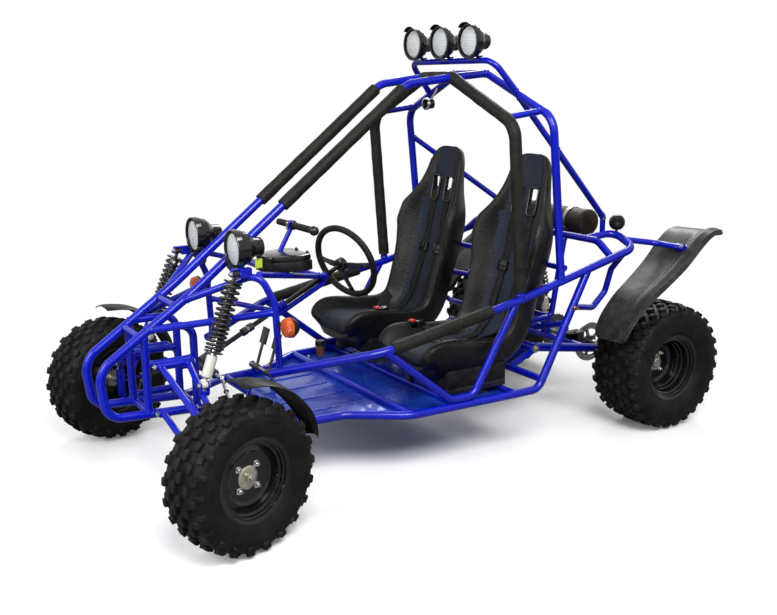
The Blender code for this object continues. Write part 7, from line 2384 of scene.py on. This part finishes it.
def build():
    """Make every piece."""
    single(nose_frame, "nose_frame", "frame", "blue_paint")
    single(floor_frame, "floor_frame", "frame", "blue_paint")
    pair(side_frame(), "side_frame", "frame", "side_frame_{}", "blue_paint")
    single(roll_cage, "roll_cage", "frame", "blue_paint")
    single(rear_frame, "rear_frame", "frame", "blue_paint")
    foam()
    corners()
    for name, made in (("upper_arm", arm(UPPER_PIVOT_Z)), ("lower_arm", arm(LOWER_PIVOT_Z)),
                       ("upright", upright())):
        pair(made, name, name + "_{}", name + "_{}", "blue_paint")
    shocks()
    single(steering_wheel, "steering_wheel", "steering_wheel", "black_plastic")
    single(rack, "steering_rack", "steering_rack", "steel")
    for name, y in (("brake_pedal", BRAKE_PEDAL_Y), ("throttle_pedal", THROTTLE_PEDAL_Y)):
        pedal(y).make("v_" + name, name, [name], "black_steel")
    left_seat = seat(seat_shell())
    for word, made in (("left", left_seat), ("right", left_seat.flipped())):
        made.make("v_seat_" + word, "frame", ["seat_" + word], "vinyl", 50)
    single(swing_arm, "swing_arm", "swing_arm", "blue_paint")
    single(rear_axle, "rear_axle", "rear_wheels", "steel")
    single(engine, "engine", "frame", "engine")
    pair(rear_fender(), "rear_fender", "frame", "rear_fender_{}", "fender_plastic")
    pair(headlamp(), "headlamp", "frame", "headlamp_{}", "black_plastic")
    for y, word in ((ROOF_LAMP_STEP, "left"), (0.0, "middle"), (-ROOF_LAMP_STEP, "right")):
        roof_lamp(y).make("v_roof_lamp_" + word, "frame", ["roof_lamp_" + word], "black_plastic")
    single(dash_pod, "dash_pod", "frame", "black_plastic")
    single(grab_handle, "grab_handle", "frame", "black_plastic")


# Stage, light and camera

WHITE = (1, 1, 1, 1)
FLOOR_REACH = 40.0
# The floor as bounced light meets it, and as the camera sees it
FLOOR_BOUNCE = (0.30, 0.30, 0.30)
FLOOR_SEEN = (0.94, 0.94, 0.94)
# Distances from the middle between which the floor turns into the backdrop's white
FADE_START = 0.9
FADE_END = 2.1
WORLD_LIGHT = 0.34
WORLD_SEEN = 1.0
# Place, aim, size and power of each lamp
LAMPS = {
    "key": ((1.2, 3.4, 3.6), (0.1, 0.0, 0.5), (2.4, 1.8), 250),
    "front": ((4.2, 0.8, 2.6), (0.4, 0.0, 0.6), (2.0, 2.0), 120),
    "back": ((-2.8, -2.6, 3.4), (0.0, 0.0, 0.7), (2.4, 1.8), 130),
}


def floor_material():
    """Matt floor that keeps its shadow; further out the camera sees the backdrop's plain white."""
    n = Nodes("floor_white")
    n.set(Roughness=0.9, Specular_IOR_Level=0.1)
    seen = n.new("ShaderNodeLightPath").outputs["Is Camera Ray"]
    n.colour(n.mix(seen, FLOOR_BOUNCE, FLOOR_SEEN))
    distance = n.new("ShaderNodeVectorMath", operation="LENGTH")
    n.link(n.place, distance.inputs[0])
    fade = n.new("ShaderNodeMapRange", interpolation_type="SMOOTHSTEP", From_Min=FADE_START,
                 From_Max=FADE_END)
    n.link(distance.outputs["Value"], fade.inputs["Value"])
    glow = n.new("ShaderNodeEmission")
    mixer = n.new("ShaderNodeMixShader")
    n.link(n.math("MULTIPLY", fade.outputs["Result"], seen), mixer.inputs["Fac"])
    n.link(n.shader.outputs["BSDF"], mixer.inputs[1])
    n.link(glow.outputs["Emission"], mixer.inputs[2])
    n.link(mixer.outputs["Shader"], n.tree.nodes["Material Output"].inputs["Surface"])
    return n.material


def studio_world():
    """Soft plain light; camera, mirror and glass rays see full white."""
    world = bpy.data.worlds.new("studio")
    bpy.context.scene.world = world
    world.use_nodes = True
    tree = world.node_tree
    plain = tree.nodes["Background"]
    plain.inputs["Color"].default_value = WHITE
    plain.inputs["Strength"].default_value = WORLD_LIGHT
    shown = add_node(tree, "ShaderNodeBackground", Color=WHITE, Strength=WORLD_SEEN)
    paths = add_node(tree, "ShaderNodeLightPath").outputs
    either = add_node(tree, "ShaderNodeMath", operation="MAXIMUM")
    all_three = add_node(tree, "ShaderNodeMath", operation="MAXIMUM")
    mixer = add_node(tree, "ShaderNodeMixShader")
    for source, target in ((paths["Is Camera Ray"], either.inputs[0]),
                           (paths["Is Glossy Ray"], either.inputs[1]),
                           (either.outputs["Value"], all_three.inputs[0]),
                           (paths["Is Transmission Ray"], all_three.inputs[1]),
                           (all_three.outputs["Value"], mixer.inputs["Fac"]),
                           (plain.outputs["Background"], mixer.inputs[1]),
                           (shown.outputs["Background"], mixer.inputs[2]),
                           (mixer.outputs["Shader"], tree.nodes["World Output"].inputs["Surface"])):
        tree.links.new(source, target)


def stage():
    """Floor, backdrop and lamps."""
    mesh = bpy.data.meshes.new("floor")
    corners = [(x * FLOOR_REACH, y * FLOOR_REACH, 0) for x, y in ((-1, -1), (1, -1), (1, 1), (-1, 1))]
    mesh.from_pydata(corners, [], [(0, 1, 2, 3)])
    mesh.materials.append(floor_material())
    floor = bpy.data.objects.new("floor", mesh)
    bpy.context.scene.collection.objects.link(floor)
    studio_world()
    for name, (place, aim, size, power) in LAMPS.items():
        lamp(name, place, aim, size, power)


def lamp(name, place, aim, size, power):
    """Rectangular area lamp, with its size in metres and its power in watts."""
    light = bpy.data.lights.new(name, "AREA")
    light.shape = "RECTANGLE"
    light.size, light.size_y = size
    light.energy = power
    holder = bpy.data.objects.new(name, light)
    holder.location = place
    holder.rotation_mode = "QUATERNION"
    holder.rotation_quaternion = (Vector(aim) - Vector(place)).to_track_quat("-Z", "Y")
    bpy.context.scene.collection.objects.link(holder)


def camera():
    """Camera at the photograph's place."""
    data = bpy.data.cameras.new("camera")
    data.sensor_width = SENSOR_MM
    data.lens = SENSOR_MM * FOCAL_PIXELS / PHOTO_WIDTH
    data.clip_end = 200
    holder = bpy.data.objects.new("camera", data)
    yaw, pitch = math.radians(CAMERA_YAW), math.radians(CAMERA_PITCH)
    view = Vector((math.cos(pitch) * math.cos(yaw), math.cos(pitch) * math.sin(yaw), math.sin(pitch)))
    right = view.cross(UP).normalized()
    up = right.cross(view)
    roll = math.radians(CAMERA_ROLL)
    side = right * math.cos(roll) + up * math.sin(roll)
    top = up * math.cos(roll) - right * math.sin(roll)
    turn = Matrix((side, top, -view)).transposed().to_4x4()
    holder.matrix_world = Matrix.Translation(Vector(CAMERA_PLACE)) @ turn
    bpy.context.scene.collection.objects.link(holder)
    bpy.context.scene.camera = holder


camera()
build()
stage()
bpy.context.scene.view_settings.view_transform = "Standard"
